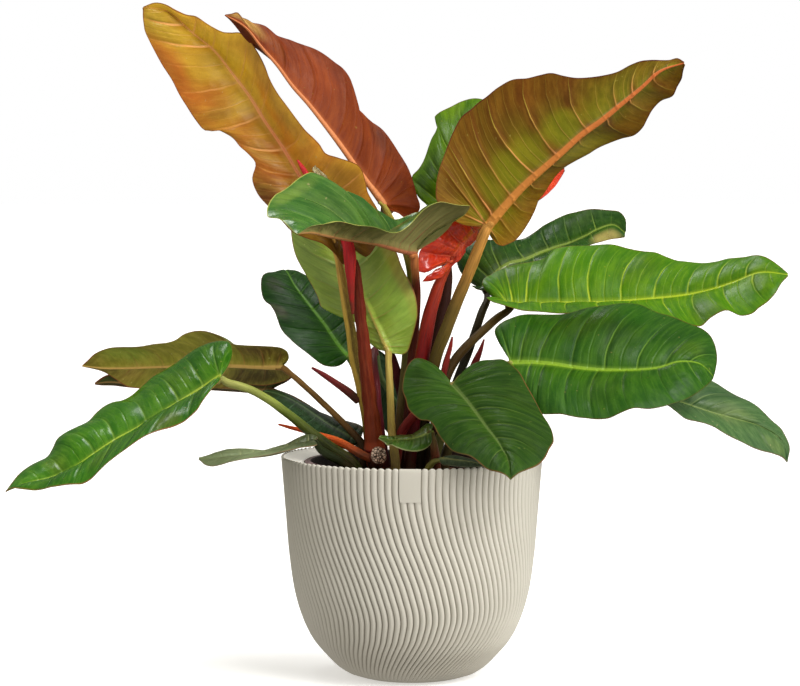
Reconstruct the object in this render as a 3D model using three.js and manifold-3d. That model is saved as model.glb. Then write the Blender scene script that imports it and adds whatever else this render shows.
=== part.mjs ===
// Potted orange-leaved philodendron: a rosette of large arrowhead leaves on long
// stalks, growing in a soft plastic nursery pot that stands inside a ribbed bowl
// planter. Millimetres, +Z up. The origin is on the pot's axis at the floor; -Y is
// the side that faces the viewer.
import * as THREE from "three";
import { mergeVertices } from "three/addons/utils/BufferGeometryUtils.js";
import Module from "manifold-3d";

const wasm = await Module();
wasm.setup();

// ---- driving dimensions -------------------------------------------------------
const GAP = 0.35; // clearance between pieces that touch
const PLANTER_HEIGHT = 212;
const PLANTER_WALL = 3.6;
const PLANTER_LEDGE_RADIUS = 103.6; // inner edge of the flat inward rim
const PLANTER_LEDGE_THICKNESS = 3.4;
const PLANTER_FLOOR = 4; // thickness of the floor
// outer profile of the planter, [radius, height]
const PLANTER_PROFILE = [
  [54.9, 0], [61.6, 4.2], [71.3, 10.6], [82, 21.2], [94.4, 36], [104, 55],
  [111.8, 80.5], [117.2, 116.6], [120.7, 159], [125, PLANTER_HEIGHT],
];
const PLANTER_FACETS = 56;

const NURSERY_BOTTOM = PLANTER_FLOOR + GAP;
const NURSERY_BOTTOM_RADIUS = 58;
const NURSERY_TOP = 209.5;
const NURSERY_RIM_RADIUS = 102.6;
const NURSERY_RIM_WIDTH = 6.6; // across the rolled rim
const NURSERY_RIM_DEPTH = 13; // how far the rolled rim hangs down
const NURSERY_WALL = 2;
const NURSERY_FLOOR = 2.6;
const NURSERY_FACETS = 48;
const DRAIN_HOLE_RADIUS = 6;
const DRAIN_HOLE_CIRCLE = 34;
const DRAIN_HOLES = 4;

const SOIL_TOP = 189;
const SOIL_CROWN = 2; // the soil is a little higher in the middle

const CROWN_RADIUS_X = 42; // the short thick stem that the stalks rise from
const CROWN_RADIUS_Y = 40;
const CROWN_HEIGHT = 9;
const CROWN_CENTER = [-12, -4];

const BLADE_THICKNESS = 1.3;
const STALK_SIDES = 8;
const STALK_STEP = 24; // longest straight piece along a stalk

// ---- plant layout -------------------------------------------------------------
// Each blade: the midrib from where the stalk meets it to the tip, and its two
// edges from the notch between the base lobes round to the tip. left is the side on
// the left when the upper face is seen with the tip pointing away. share is the part
// of the rows that fans round the base lobes.
const LEAVES = {
  leaf_01: {
    color: 0xc98a32, share: 0.22, bulge: 0.10, rows: 14, cols: 6,
    mid: [[-79.1,5,431.3],[-92.2,8.2,457.3],[-108.1,12.3,481.6],[-123,17.4,506.4],[-139.2,23.4,530],[-154.5,29.9,554.2],[-171.8,36.8,576.8],[-189.8,42.4,599.2],[-212.2,47.7,617.4],[-233.4,53.6,636.7],[-260.3,60,642.7]],
    left: [[-77.2,5,431.3],[-63.6,-6.2,408.3],[-73.3,-12,405.1],[-99.6,-10.8,419.8],[-124.8,-7.9,437.7],[-146.4,-3.2,461.3],[-149.1,5.4,490.5],[-164.2,10,506.9],[-178.8,14.2,519.7],[-198.7,18.3,523.4],[-215.8,24.5,545.2],[-231.1,32.8,571.5],[-248.3,43.1,599.2],[-258.5,51.2,619.2],[-260.7,56.2,632.1],[-261.2,58.8,638.8],[-261.3,60,641.7]],
    right: [[-77.2,3,433.2],[-43.6,-8,403],[-29.3,-24.2,432.7],[-37.2,-31.6,456.1],[-43.8,-33.5,475.2],[-68.7,-29,496.5],[-87,-20.7,508.8],[-100.6,-16.9,522.1],[-117,-10.8,544.3],[-134.5,-2.7,570.1],[-147.7,6.9,597.8],[-164.3,16,615.6],[-181.6,25.6,616.9],[-198.9,33,626.8],[-218.2,41.8,634.4],[-237.9,50.3,644.7],[-259.8,60,643.2]],
  },
  leaf_02: {
    color: 0x8a4630, share: 0.22, bulge: 0.12, rows: 14, cols: 6,
    mid: [[-27.5,6,451.3],[-41.4,2.9,470.4],[-55.2,-1.6,489.2],[-68.7,-5.7,508.3],[-82.9,-7.5,527.2],[-97.5,-8,546],[-113.2,-8,563.8],[-127.1,-7,583],[-142.6,-5,600.9],[-157.4,-2.7,619.3],[-177.4,0,631.5]],
    left: [[-25.7,10,449.4],[-13.5,18.3,443.1],[2.5,28.2,439.4],[4.4,34.9,460.4],[-6.8,36,493.3],[-38.3,30.3,531.6],[-54.9,26.3,547.3],[-59.5,22.7,571.5],[-74.7,17.6,587.8],[-92.5,13.1,599.7],[-109,9.6,606],[-122.3,7.4,610.3],[-133.4,5.7,617.5],[-145.6,2.9,623.2],[-156.8,0.5,627.6],[-166.1,0,633.8],[-176.9,0,631.9]],
    right: [[-29.5,10,450.3],[-29.9,21.7,443.3],[-26,36.1,441.2],[-19.5,50.9,444.5],[-15.1,63,455.5],[-20.4,66.7,473.1],[-31.6,64.4,490.7],[-45.3,60.2,507.6],[-58.3,56.3,522.8],[-70.8,51.9,536.9],[-86.8,46.2,554.5],[-105.8,36.5,571.9],[-128.2,24.7,583.2],[-145.4,16.6,597.7],[-157.9,9.2,610.8],[-168.7,4.3,622.8],[-177.8,0,631]],
  },
  leaf_03: {
    color: 0x4f8a34, share: 0.22, bulge: 0.10, rows: 14, cols: 6,
    mid: [[1.9,-32,407.5],[-9.9,-46.5,409.9],[-21.5,-61,413.6],[-32.6,-75.8,417.2],[-43.1,-91.4,419.3],[-53.7,-106.9,421.1],[-63.3,-123.1,422.8],[-72.2,-139.7,424.6],[-80.8,-156.4,426.5],[-90.4,-172.6,428.6],[-101.1,-188,427.9]],
    left: [[2.8,-34,408],[13.3,-38,414.4],[26.8,-42.6,423.8],[39.6,-47.7,438.8],[54.1,-53.9,450.7],[35.1,-68.6,453.4],[17.6,-81.9,454.2],[5.6,-93.1,443.1],[-9,-105.4,431.6],[-23.1,-116.9,429.8],[-35.1,-127.1,432.2],[-46.3,-136.3,434.3],[-57,-144.9,436.3],[-68.2,-154.6,437.5],[-79.8,-165.1,437.4],[-92,-175,434],[-100.6,-188,428.3]],
    right: [[1.9,-30,409.3],[5.7,-27.1,411.8],[14.2,-19.6,420.2],[15.9,-12.1,438.2],[-4.1,-18.6,442],[-33.7,-36.6,448.8],[-58.1,-58.7,465.4],[-81,-80,475.8],[-103.6,-104.5,477.2],[-118.4,-124.3,465.5],[-126.3,-133.6,459.7],[-130,-140.3,453.5],[-131.1,-149.7,446.1],[-125.2,-161.1,442.1],[-115.9,-170.6,439.6],[-108.7,-179,432.7],[-101.5,-188,427.6]],
  },
  leaf_04: {
    color: 0xc8321e, share: 0.22, bulge: 0.06, rows: 12, cols: 6,
    mid: [[37.4,4,398.8],[46.7,6.6,411.2],[57.2,11.1,422],[68.2,16.6,431.8],[78.7,23.2,441.4],[90.1,30,449.7],[102.2,37.3,456.7],[114.6,44.9,462.4],[126.6,52.6,469],[138.1,60.3,476.5],[149,68,484.8]],
    left: [[34.5,2,398.9],[29.3,-1.9,396],[18.6,-9.3,391.5],[4.7,-14.2,390.1],[8.4,-9.6,409.7],[33.3,-4,427.5],[45.5,0.6,444.2],[56.3,5.1,453.2],[64.7,8.8,458.4],[73.7,13.6,463.5],[83.8,19.6,468.6],[94.4,26.2,473.3],[105.3,33.2,477.5],[116.4,40.7,481.2],[127.7,48.6,484.3],[138.5,58,486.8],[149.5,68,486.3]],
    right: [[38.4,6,396.9],[24.5,0.6,386.5],[9.7,-5.9,378.8],[25.3,-0.8,382.2],[37.7,5.1,392.4],[47.5,10.5,404.7],[57.7,16.6,417],[66.8,22.8,428.2],[74.9,27.2,433.5],[82.8,30.8,437.4],[92.9,35.8,441.5],[104.2,41.6,445.8],[115.5,47.2,450.7],[126.1,52.7,456.5],[135.6,58,464.1],[143.5,63.4,473.5],[150,68,484.3]],
  },
  leaf_05: {
    color: 0x8c6e2e, share: 0.22, bulge: 0.10, rows: 14, cols: 6,
    mid: [[71.5,-34,432],[86.9,-36,450.4],[103,-37.6,468],[120.8,-39.8,484.1],[138.8,-42.2,499.8],[156.5,-44.1,515.9],[175.9,-46.7,529.9],[194.3,-49.6,545.1],[212.7,-51.9,560.4],[230.6,-54.3,576.2],[252.7,-56,583.8]],
    left: [[73.5,-31,431],[75.4,-14.7,422.6],[81.5,-2.4,413.9],[90.5,6.6,413.4],[98.6,14.6,417.4],[113.8,26.1,435.2],[122.9,31.1,455.1],[133.5,32,471],[147.7,31.4,486.6],[163.1,28.3,496.2],[178.4,24.1,506.5],[200.9,16.5,515.8],[219.7,7.3,525.5],[228.3,-4.2,543.3],[245.8,-19.5,554],[252.6,-36.9,569.5],[253.6,-56,582]],
    right: [[69.6,-35,432.1],[31.7,-28.8,442.6],[22.4,-20.5,470.3],[28.4,-16.6,493],[34.3,-14.9,508.7],[46.9,-14,534.7],[60.2,-14.3,546],[70.7,-15.1,554.1],[94.5,-17.7,569.7],[119.9,-21.7,573.8],[141.9,-26.6,573.2],[166.8,-32.5,571.5],[192.1,-38.9,576.4],[212.7,-44.9,585.9],[226.1,-48.2,587],[239.5,-52,587],[253.1,-56,584.8]],
  },
  leaf_06: {
    color: 0x3f9a34, share: 0.22, bulge: 0.08, rows: 12, cols: 6,
    mid: [[24.7,56,442],[28.6,60,454.5],[32.2,64.2,467],[35.7,68.7,479.5],[39.3,73.4,491.8],[43.4,78.4,503.9],[48.5,83.8,515.5],[54.5,89.9,526.1],[61.6,96.7,535.6],[69.9,104.2,543.6],[79,112,550.2]],
    left: [[22.8,54,442],[17.7,54,444.2],[14.2,54,451.5],[7.1,55.1,458.5],[1.3,57.6,468],[1,61.7,479.8],[10.9,66.3,492.8],[16.7,71.6,508.4],[23.6,77.7,522.5],[22.2,84.4,535.5],[32.9,90.6,544.2],[44.3,95.4,550.6],[53.4,99,554.3],[62.1,102.6,555.9],[69.5,106.3,555.1],[74.9,109.6,552.9],[78.5,112,551.2]],
    right: [[26.7,54,442],[32.2,50.8,443.2],[39,49.4,446.7],[46.3,50,452],[53.4,52.1,458.6],[60.1,55.3,466.5],[66.6,59.9,476.9],[71.6,65.1,488.5],[75.4,71.1,500.4],[77.9,77.8,511.9],[79.4,84.7,522.1],[80.6,92.2,531.8],[81.6,98.9,539.2],[81.5,103.5,543.3],[80.6,107.7,546.3],[79.8,110.8,548.4],[79.5,112,549.2]],
  },
  leaf_07: {
    color: 0x2f6a33, share: 0.22, bulge: 0.08, rows: 12, cols: 6,
    mid: [[73.4,111,365.6],[83.1,116,380.9],[97.3,122.3,391.2],[114,129.9,395.3],[129.1,139.4,401.3],[144.7,148.7,406.5],[160.7,157.5,411.1],[176.3,165.8,417.6],[191.3,174.4,425.3],[206.8,184.1,429],[219.5,195,420.5]],
    left: [[71.4,113,366.5],[67.9,115.1,367.8],[58.9,120.5,372.7],[48.2,126.1,384],[46.4,131.5,402.3],[70.3,137.2,414.9],[88.6,139.9,414.2],[98.7,141.5,414.2],[112.7,144.9,415.4],[126.9,150.6,423.5],[140.3,155.5,432.4],[154,160.7,439.3],[166.1,165.3,442.7],[178.2,170.2,444.9],[193.9,177,444.8],[212.8,185.3,442.5],[220.5,195,423.6]],
    right: [[74.2,107,364.8],[72.9,105.2,365.1],[68.9,101,366.1],[61.4,102.6,369.4],[64.1,98.4,367],[77.7,98.4,365.5],[96.5,101.5,369.8],[112.5,105.6,374.9],[127.7,110.9,380.8],[142.4,117.6,388.7],[156.9,122.9,397.7],[168.8,131.8,404.4],[179.1,142.3,409.1],[189.6,153.5,412.5],[200,165.8,414.4],[209.8,179,415.1],[218.8,193,416]],
  },
  leaf_08: {
    color: 0x4aa02e, share: 0.22, bulge: 0.10, rows: 14, cols: 6,
    mid: [[94.3,62,353],[122.2,63.6,352.9],[150.1,65.1,353.8],[178,66.2,354.1],[205.8,66.9,355.8],[233.6,67,358.5],[261.4,66.8,361.4],[288.7,64.4,366.7],[314.7,60.1,375.4],[339.3,52.4,385],[365.1,42,383.1]],
    left: [[92.4,63,353.9],[77.4,68.3,361.8],[69.7,77.4,374.1],[78.3,86,381.4],[103.5,98,391.5],[141.2,105.1,405.4],[162.2,106.4,410],[185.3,107,411],[215.1,105.8,406.4],[241.9,102.8,403],[262.9,98.5,395.3],[281.2,94.9,394.3],[302,88.5,394],[321.6,80.8,399.6],[336.5,73,400.9],[352.1,60.6,395.8],[365.4,44,384.5]],
    right: [[93.1,56,351.3],[80.2,41.6,359.3],[72.1,26,361.5],[83.8,18,354.6],[97.9,13.7,351.9],[120.3,9.8,349.6],[142,9.1,348.1],[164.9,9.1,347.8],[190.5,10,347.8],[219.1,11.5,344.5],[249.3,12.9,338.8],[270.4,14.3,335.2],[287.7,17.1,343.8],[315.8,19.6,344],[335.3,23,352],[351.6,29.5,366.1],[365.4,41,382.2]],
  },
  leaf_09: {
    color: 0x3c8c2c, share: 0.22, bulge: 0.10, rows: 14, cols: 6,
    mid: [[93,-46,303.7],[112.6,-48.7,304.3],[132.2,-51,302.9],[151.7,-53,300.1],[171.3,-54.6,298.1],[191.1,-55.7,297.6],[210.9,-55.9,298.1],[230.6,-55.3,300.1],[249.5,-53.7,305.6],[268.8,-51.2,303.5],[283.1,-48,290.6]],
    left: [[92.1,-45,305.5],[84.6,-36.7,319],[78.7,-26.6,333.5],[94.2,-20.2,343.4],[115.1,-15.1,348.6],[143.4,-12.1,348.5],[161.8,-11.2,350.7],[177.3,-10.6,353.4],[197.1,-10,357.6],[218.5,-10.7,357],[235.5,-12.3,349.1],[252.3,-15.2,343.7],[267.8,-19.8,337.5],[281.9,-25.9,328.8],[287.5,-33.2,312.8],[286.3,-40.3,300.1],[283.6,-48,291.6]],
    right: [[92.9,-48,301.9],[87.5,-57.2,296],[85.8,-66.8,288.3],[89.3,-74.2,278.2],[97.7,-79.8,269.2],[108.7,-83.3,262.7],[121.6,-86.9,258.8],[138.1,-90.2,258.9],[153.5,-92.7,256.5],[170.8,-95,255.3],[193,-92.6,260.5],[218.1,-89.2,263.3],[243.1,-82,269],[261.6,-74.3,275.7],[273.1,-64.7,282.1],[279.2,-56.1,286.4],[282.4,-50,289.3]],
  },
  leaf_10: {
    color: 0x3f7436, share: 0.22, bulge: 0.10, rows: 14, cols: 6,
    mid: [[37,-74,285.6],[44.5,-82.4,278],[51.5,-91.7,270.9],[57.5,-101.3,263.6],[63.4,-110.9,256],[69.5,-120.2,248.2],[75.8,-129.5,240.6],[81.1,-139.2,232.7],[85.6,-149.1,224.7],[87.5,-159.6,216.3],[88.2,-170,207.6]],
    left: [[38.9,-74,287],[55.3,-66.5,302.6],[75.1,-62,307.6],[90.9,-66.4,305.5],[100.4,-75.4,294.6],[112.6,-94.5,273.5],[121.5,-109.3,259.5],[126,-119.7,250.3],[128.3,-126.8,243.5],[128.5,-132.9,237.8],[124.2,-140,231.9],[119.5,-147.4,224.2],[110,-155.4,217.5],[101.9,-160.9,215],[95.4,-165.1,212.9],[91.1,-168.4,210.1],[89.1,-170,208.5]],
    right: [[35.2,-73,286.4],[25.1,-61.6,297.9],[11.4,-55.3,307.9],[-2.9,-59.1,303.3],[-7.7,-67.4,290],[-8.1,-76.1,278.2],[-3.4,-86.7,263.9],[7.7,-98.7,254.8],[19.1,-108.9,251.2],[26.4,-119.7,239.4],[36.9,-132.5,228.8],[51.5,-145.1,225.8],[64.3,-157.3,218.1],[72.9,-163.4,214.6],[80.6,-166.8,212.1],[85.7,-169,209.1],[87.3,-170,207.6]],
  },
  leaf_11: {
    color: 0x2f6038, share: 0.22, bulge: 0.10, rows: 12, cols: 6,
    mid: [[145.1,-24,291.7],[168.7,-22.6,287],[192.1,-21.3,281.6],[215.3,-20.1,275.5],[238.5,-18.9,269.4],[261.4,-17.6,262.1],[284.2,-16.3,254.6],[307.4,-14.8,248.4],[330.5,-14,241.7],[350.4,-14,229.1],[357.4,-16,206.5]],
    left: [[144.3,-22,293.4],[140.9,-16.7,295.4],[136.2,-6.2,300.5],[139.5,6.6,309.7],[156.1,14.5,314.4],[184.5,19.8,313.7],[212.5,21,309.6],[239.6,20,300.9],[266.5,16.2,291.2],[291.1,11.5,281],[312.2,7.2,268.9],[329.5,3.9,259.5],[344.3,-0.4,245.6],[357.7,-6.6,230.2],[361.2,-10.6,219],[358.8,-14.3,210.5],[357.9,-16,207]],
    right: [[142.8,-30,291.2],[140.4,-32.1,291],[134,-37.8,289.9],[129.9,-47.1,282.9],[140.1,-55.4,274.4],[170.7,-62,268.3],[197.1,-61.9,265.3],[222.6,-59.3,265.8],[247.4,-52.9,258.3],[267.1,-47.5,248.4],[285.8,-44.5,242.8],[303.1,-41.3,232.6],[321.5,-36.5,223.4],[340.4,-29.4,217.3],[350.1,-24,213.5],[355.4,-18.5,209.1],[356.9,-16,207]],
  },
  leaf_12: {
    color: 0x2f8c26, share: 0.22, bulge: 0.10, rows: 14, cols: 6,
    mid: [[-180.1,-52,290.9],[-199,-56.1,279.1],[-217.9,-61.2,267.6],[-237.1,-66,256.4],[-255.7,-71.1,244.5],[-275.5,-75.8,234.4],[-294.1,-80.7,222.3],[-312.5,-85.3,209.9],[-332.9,-89.2,200.8],[-354.9,-92.2,195.8],[-375.7,-96,188.1]],
    left: [[-179.7,-58,289.5],[-180.9,-70.6,286.5],[-185,-82.9,282.5],[-190.9,-93.4,275.1],[-197.7,-101.1,264.8],[-210.4,-106.8,254.3],[-231.6,-111.9,246.5],[-249.1,-115.5,238.5],[-262.7,-118.4,229.1],[-277.6,-120.8,216.6],[-291.4,-122,203.7],[-302.5,-121.4,197.9],[-316.2,-119.5,197.7],[-333,-114.2,195.5],[-347.5,-107.3,190.8],[-362.6,-101.5,191.2],[-375.7,-96,187.2]],
    right: [[-179.3,-50,292.6],[-170.8,-30.5,312],[-182.7,-16.4,322.6],[-199.4,-11.8,318.3],[-211.5,-11,311],[-227.2,-11.6,299.8],[-247.4,-14.3,287.8],[-261,-18.2,276.4],[-275.3,-22.5,267.5],[-291.7,-28.4,260.5],[-305.3,-36.1,246.9],[-325.7,-43.7,237.8],[-338.2,-51.5,224.1],[-350,-60.7,213.5],[-362.1,-71.1,205.4],[-370.1,-83,196.3],[-375.2,-96,189.1]],
  },
  leaf_13: {
    color: 0x7c7436, share: 0.22, bulge: 0.10, rows: 12, cols: 6,
    mid: [[-127.1,44,293.5],[-146.5,47,294],[-165.9,50.2,294.6],[-185.3,53.2,294.9],[-204.7,55.8,294.6],[-224.3,57.1,294.1],[-243.9,58,293.4],[-263.5,59,292.4],[-283.2,59.1,291.6],[-302.8,58.8,291.6],[-322.3,58,293.5]],
    left: [[-126,42,295.6],[-124.4,41.5,296.6],[-120,39.9,299.7],[-119.3,34.7,307.2],[-128.6,27,314.3],[-161.6,18.8,315.6],[-183.3,15.9,324.4],[-201.6,15,329.8],[-219.3,16.3,326.3],[-235,19,318.8],[-250,22.7,316.2],[-264.2,27.2,314.5],[-280.8,32.6,313.8],[-295,39,312.8],[-306.4,45.7,307.9],[-314.8,52.2,300.7],[-321.8,58,294.4]],
    right: [[-127.3,50,291.1],[-125.7,51.6,290.6],[-121,56.3,289.3],[-118.1,65.5,284.4],[-125.6,78.8,276.8],[-157.8,93.5,271.7],[-177.5,96.7,270.1],[-197.1,98.8,268],[-215.2,99.2,266],[-231.3,97.9,265.2],[-247.1,95.5,266.1],[-262.6,91.8,268.3],[-278.6,87,271.1],[-291.3,80.4,278.9],[-301.7,72.3,285.7],[-312.1,64.6,290.1],[-322.1,58,292.8]],
  },
  leaf_14: {
    color: 0x2c5050, share: 0.22, bulge: 0.08, rows: 9, cols: 4,
    mid: [[-52.9,22,223.4],[-61.9,22,228.6],[-70.9,21.9,234],[-79.8,22.1,239.4],[-88.5,23.2,245.1],[-97.1,24.6,250.9],[-105.7,25.9,256.7],[-114.5,27.5,262],[-124,29,266.2],[-133.9,30.5,269.1],[-144.1,32,271]],
    left: [[-52.8,20,221.6],[-53.5,18.8,221.1],[-55.2,15.7,219.8],[-58.1,11.1,218.3],[-62.2,5.8,217.5],[-68.8,0.1,218.3],[-81,-4.9,223.4],[-90.9,-6.9,228.7],[-99.1,-7.9,233.7],[-106.5,-7.8,238.7],[-113.2,-6.8,243.9],[-119.5,-5,248.5],[-126.2,-2.1,253.2],[-133.2,3.1,257.7],[-139.8,10.2,262.5],[-144.3,19.9,266.8],[-145.5,32,269.6]],
    right: [[-51,26,223.9],[-49.9,29.1,225.4],[-48.4,33.4,227.6],[-46.8,37.6,231.7],[-48.3,42.5,235.9],[-54.3,47.2,238.3],[-63.9,50.5,240.1],[-73.1,51.8,242],[-81.3,52.7,244.9],[-89.1,53,248.5],[-96.8,52.6,252.4],[-104.1,51.3,256.4],[-111.5,48.9,260.7],[-119,45.6,265.1],[-126.9,41.6,269.1],[-135.5,37.1,271.8],[-144.5,32,272]],
  },
  leaf_15: {
    color: 0x6c7a52, share: 0.22, bulge: 0.08, rows: 9, cols: 4,
    mid: [[-92,-54,230.8],[-102.4,-56.4,228.5],[-112.7,-58.7,225.4],[-123.1,-60.7,222.3],[-133.6,-62.1,219.8],[-144.5,-63.3,218.3],[-155.4,-64.3,217.6],[-166.3,-64.8,217.6],[-177.2,-65.5,216.5],[-188.1,-66,215.1],[-199.1,-66,215.6]],
    left: [[-91.8,-60,230],[-89.6,-66.2,229.4],[-89,-73.6,228.8],[-93,-81,228.5],[-100,-86.8,228.3],[-109.1,-91.6,226.9],[-120,-95.1,224.6],[-130.1,-96.9,222.3],[-139.6,-97.8,220.7],[-148.9,-97.9,219.3],[-157.8,-97,218],[-166.4,-95.5,216.3],[-174.7,-92.5,213.7],[-182.9,-88.6,211.3],[-190.2,-82.7,211.1],[-195.5,-74.7,212.8],[-199.7,-66,214.7]],
    right: [[-91.1,-53,231.7],[-90.3,-51.3,231.9],[-88.6,-47.3,232.6],[-90.9,-42.3,234.7],[-96.9,-38.4,235.7],[-105.6,-34.4,232.9],[-117,-29.9,226.3],[-127.9,-28.1,221.7],[-138.1,-27.6,218],[-148.1,-28.9,217.1],[-157.3,-31.8,219],[-166.3,-34,220.8],[-175,-37.6,221.3],[-182.7,-43.1,219.7],[-189.4,-49.8,218.1],[-195.1,-57.5,216.8],[-199.5,-66,216.6]],
  },
  leaf_16: {
    color: 0x286430, share: 0.22, bulge: 0.08, rows: 12, cols: 6,
    mid: [[-60.5,24,304.6],[-68.9,37.2,312.7],[-76.7,49.8,322.4],[-84.6,61.6,333],[-93.3,73,343.2],[-101.7,85.3,352.8],[-109.5,98.3,361.9],[-116.7,111.7,370.8],[-122.1,126.3,379.3],[-126.3,142.7,383.8],[-128.4,160,381.3]],
    left: [[-61.5,22,303.8],[-62,20.1,302.8],[-64.8,15.2,300],[-72.9,10.4,296.6],[-87.4,12.6,298.7],[-112.5,35.4,316.2],[-124.4,51.6,326.1],[-131.1,65.5,337.7],[-136.5,78.8,348.6],[-144.2,91.9,355.3],[-149,104.1,363.6],[-150,115.5,372.4],[-148.6,127,379.5],[-143.8,138.1,382.4],[-138.7,147,382.8],[-133.5,154.2,382.4],[-129.4,160,380.8]],
    right: [[-59.6,28,304.3],[-59.2,28.8,304.6],[-58,31.3,305.6],[-56,35.4,307.2],[-53.9,42,311.1],[-55.2,60.5,327],[-58.8,70.4,336.3],[-63.8,80.4,345.5],[-70.5,90.9,354.8],[-78.3,101.7,363.6],[-87.6,113.1,371.5],[-97.6,124.3,377.2],[-106.4,134.3,380.2],[-113.4,143.6,382.4],[-118.8,150.6,383.2],[-123.5,156.2,382.4],[-126.9,160,381]],
  },
  leaf_17: {
    color: 0x7c9a3c, share: 0.22, bulge: -0.08, rows: 14, cols: 6,
    mid: [[-22.8,0,312],[-28.7,4.1,325.5],[-34.8,8.1,339],[-41,12.3,352.3],[-47.5,17.7,365.1],[-53.8,24.9,377.1],[-59.6,32.1,389.3],[-65.1,39.5,401.6],[-70.3,47,413.8],[-75.5,54,426.4],[-81.6,62,438]],
    left: [[-20.9,0,312],[-19.7,0.2,311.4],[-15.8,0.8,309.5],[-8.2,1.9,308.7],[-1.2,2.1,318.5],[5.3,-3.4,352.1],[3,-4,366.8],[-4.6,-0.8,382.8],[-11.4,8,396.9],[-15.2,16,407.6],[-19.8,23.8,416.3],[-28.1,31.9,424.9],[-40.8,41.5,433],[-53,48.9,437.7],[-63.7,54.4,440],[-73.2,58.8,439.6],[-80.6,62,438.5]],
    right: [[-24.7,1,311.9],[-26.5,1.7,311.7],[-31.3,4.1,312.2],[-37.4,9,315.7],[-44.2,15.2,322.5],[-58.5,29.8,342.9],[-80.1,41.1,349.2],[-91.3,47.8,360.8],[-100.3,53.3,377.6],[-107.6,57.6,392.9],[-113.4,61.3,406.4],[-116.9,63.9,418.7],[-117.7,65.2,429],[-113.9,64.8,437.4],[-104.7,63.8,442.7],[-93.5,62.9,443.7],[-82.6,62,439]],
  },
  leaf_18: {
    color: 0x1c4a38, share: 0.22, bulge: 0.06, rows: 9, cols: 4,
    mid: [[-35.7,56,309.3],[-34.3,57.5,300.2],[-32.6,59.1,291.1],[-30,60.1,282.2],[-25.7,60.1,273.9],[-20.8,59.2,266],[-15.6,57.6,258.4],[-11.1,55.3,250.5],[-7.6,52.4,242.4],[-4.8,49,234.1],[-2.5,45,226]],
    left: [[-36.7,56,308.3],[-37.4,56.3,307.4],[-39.5,57.3,305.1],[-41.3,58.9,301.1],[-41.7,61,295.8],[-41.3,63.5,289.1],[-39.1,66.8,278.3],[-36.6,69.1,268.2],[-34.3,70,258.6],[-31.7,69.5,249.2],[-29.7,67.1,239.4],[-26.5,62.6,231.4],[-22.1,58.3,226.5],[-17,54,223.5],[-11.9,50.1,222.2],[-7.2,47.1,223],[-3.5,45,224.5]],
    right: [[-33.8,57,309.2],[-32.1,58.5,308.4],[-28.9,61.1,306.7],[-25.4,64.4,303.2],[-22.3,67.8,298],[-20,70.8,290.6],[-18.1,73.7,279.2],[-11.9,73.5,271.1],[-5.8,71.8,264.3],[-3.1,69.2,256.3],[-0.6,65.1,248.8],[1.4,60.7,242.2],[2,57,237.3],[1.8,53.1,233.3],[0.8,49.6,230],[-0.7,46.9,227.6],[-1.8,45,226]],
  },
  leaf_19: {
    color: 0x4a5a2c, share: 0.22, bulge: 0.08, rows: 9, cols: 4,
    mid: [[-140.5,100,266.6],[-158,101.7,268.2],[-175.4,103.5,269.4],[-192.9,105.2,270.3],[-210.4,107.1,270.7],[-227.9,108.6,271],[-245.5,109.7,271.2],[-263,110.5,271.6],[-280.6,111,272.2],[-298.1,111.1,273.7],[-315.6,110,272.3]],
    left: [[-139.4,98,267.7],[-137.1,95.8,269],[-130.8,89.7,272.5],[-121.2,81.4,277.5],[-119.3,73.1,289.2],[-148.8,74.2,292.3],[-176.3,78.4,290.7],[-192.1,81.6,289.9],[-207.4,84.6,289.1],[-224.2,88.2,288.2],[-240.7,92.1,287.3],[-256.8,96.4,285.9],[-271.7,100.5,284.3],[-284.9,103.8,282.7],[-297.3,106.6,281.8],[-308,109.2,278.7],[-316.1,110,272.8]],
    right: [[-140.7,104,265.3],[-139,105.9,264.9],[-134.5,111.1,263.9],[-134.7,120.1,259.6],[-142.9,128.3,258],[-161.5,133.9,260.7],[-182.1,136,262.2],[-197.9,136.1,263.3],[-213,135.6,264.3],[-228.2,134.6,265],[-243.4,132.9,265.5],[-259.5,130.6,266.1],[-274.3,126.6,266.7],[-286.7,122.4,267.7],[-297.9,118.2,269.1],[-307.8,114,269.8],[-316.1,110,271.3]],
  },
  leaf_20: {
    color: 0x3c6a1a, share: 0.22, bulge: 0.06, rows: 9, cols: 4,
    mid: [[17.6,-68,241.6],[13.2,-68.1,239],[8.6,-67.9,236.8],[3.8,-67.3,235.2],[-1.2,-66.8,234.1],[-6.2,-66.4,233.3],[-11.2,-65.7,232.8],[-16.2,-64.6,232.7],[-21.2,-63.3,233.1],[-26,-61.9,234.1],[-30.9,-61,234.8]],
    left: [[17.6,-72,239.6],[18.1,-74.7,237.5],[18.6,-77.7,235.2],[18.1,-81,232.7],[16.6,-84.4,230.2],[14,-87.7,227.9],[9.7,-90.8,225.9],[4.1,-93.1,224.9],[-1.4,-94,225.5],[-5.7,-94,226.4],[-9.2,-93.5,227.2],[-12.6,-92.6,228.1],[-16.5,-90.6,229.5],[-20.9,-86.5,230],[-24.6,-79.7,230.4],[-28,-71,232.4],[-31.4,-61,233.6]],
    right: [[18.6,-65,243.2],[19,-62.7,244.3],[19.4,-59.8,245.6],[18.3,-56.4,246.7],[15.5,-53.3,247],[12.1,-50.5,245.6],[7.8,-48.1,242.3],[2.8,-46.1,238.4],[-2.5,-44.7,235.6],[-7.5,-44,234.7],[-12.1,-44.2,234.5],[-16.4,-45.1,234.6],[-20.4,-46.8,235],[-23.9,-49.4,235.8],[-26.9,-52.8,236.4],[-28.8,-56.8,236.4],[-30.5,-61,236.2]],
  },
  leaf_21: {
    color: 0x5a7060, share: 0.22, bulge: 0.05, rows: 9, cols: 4,
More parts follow.
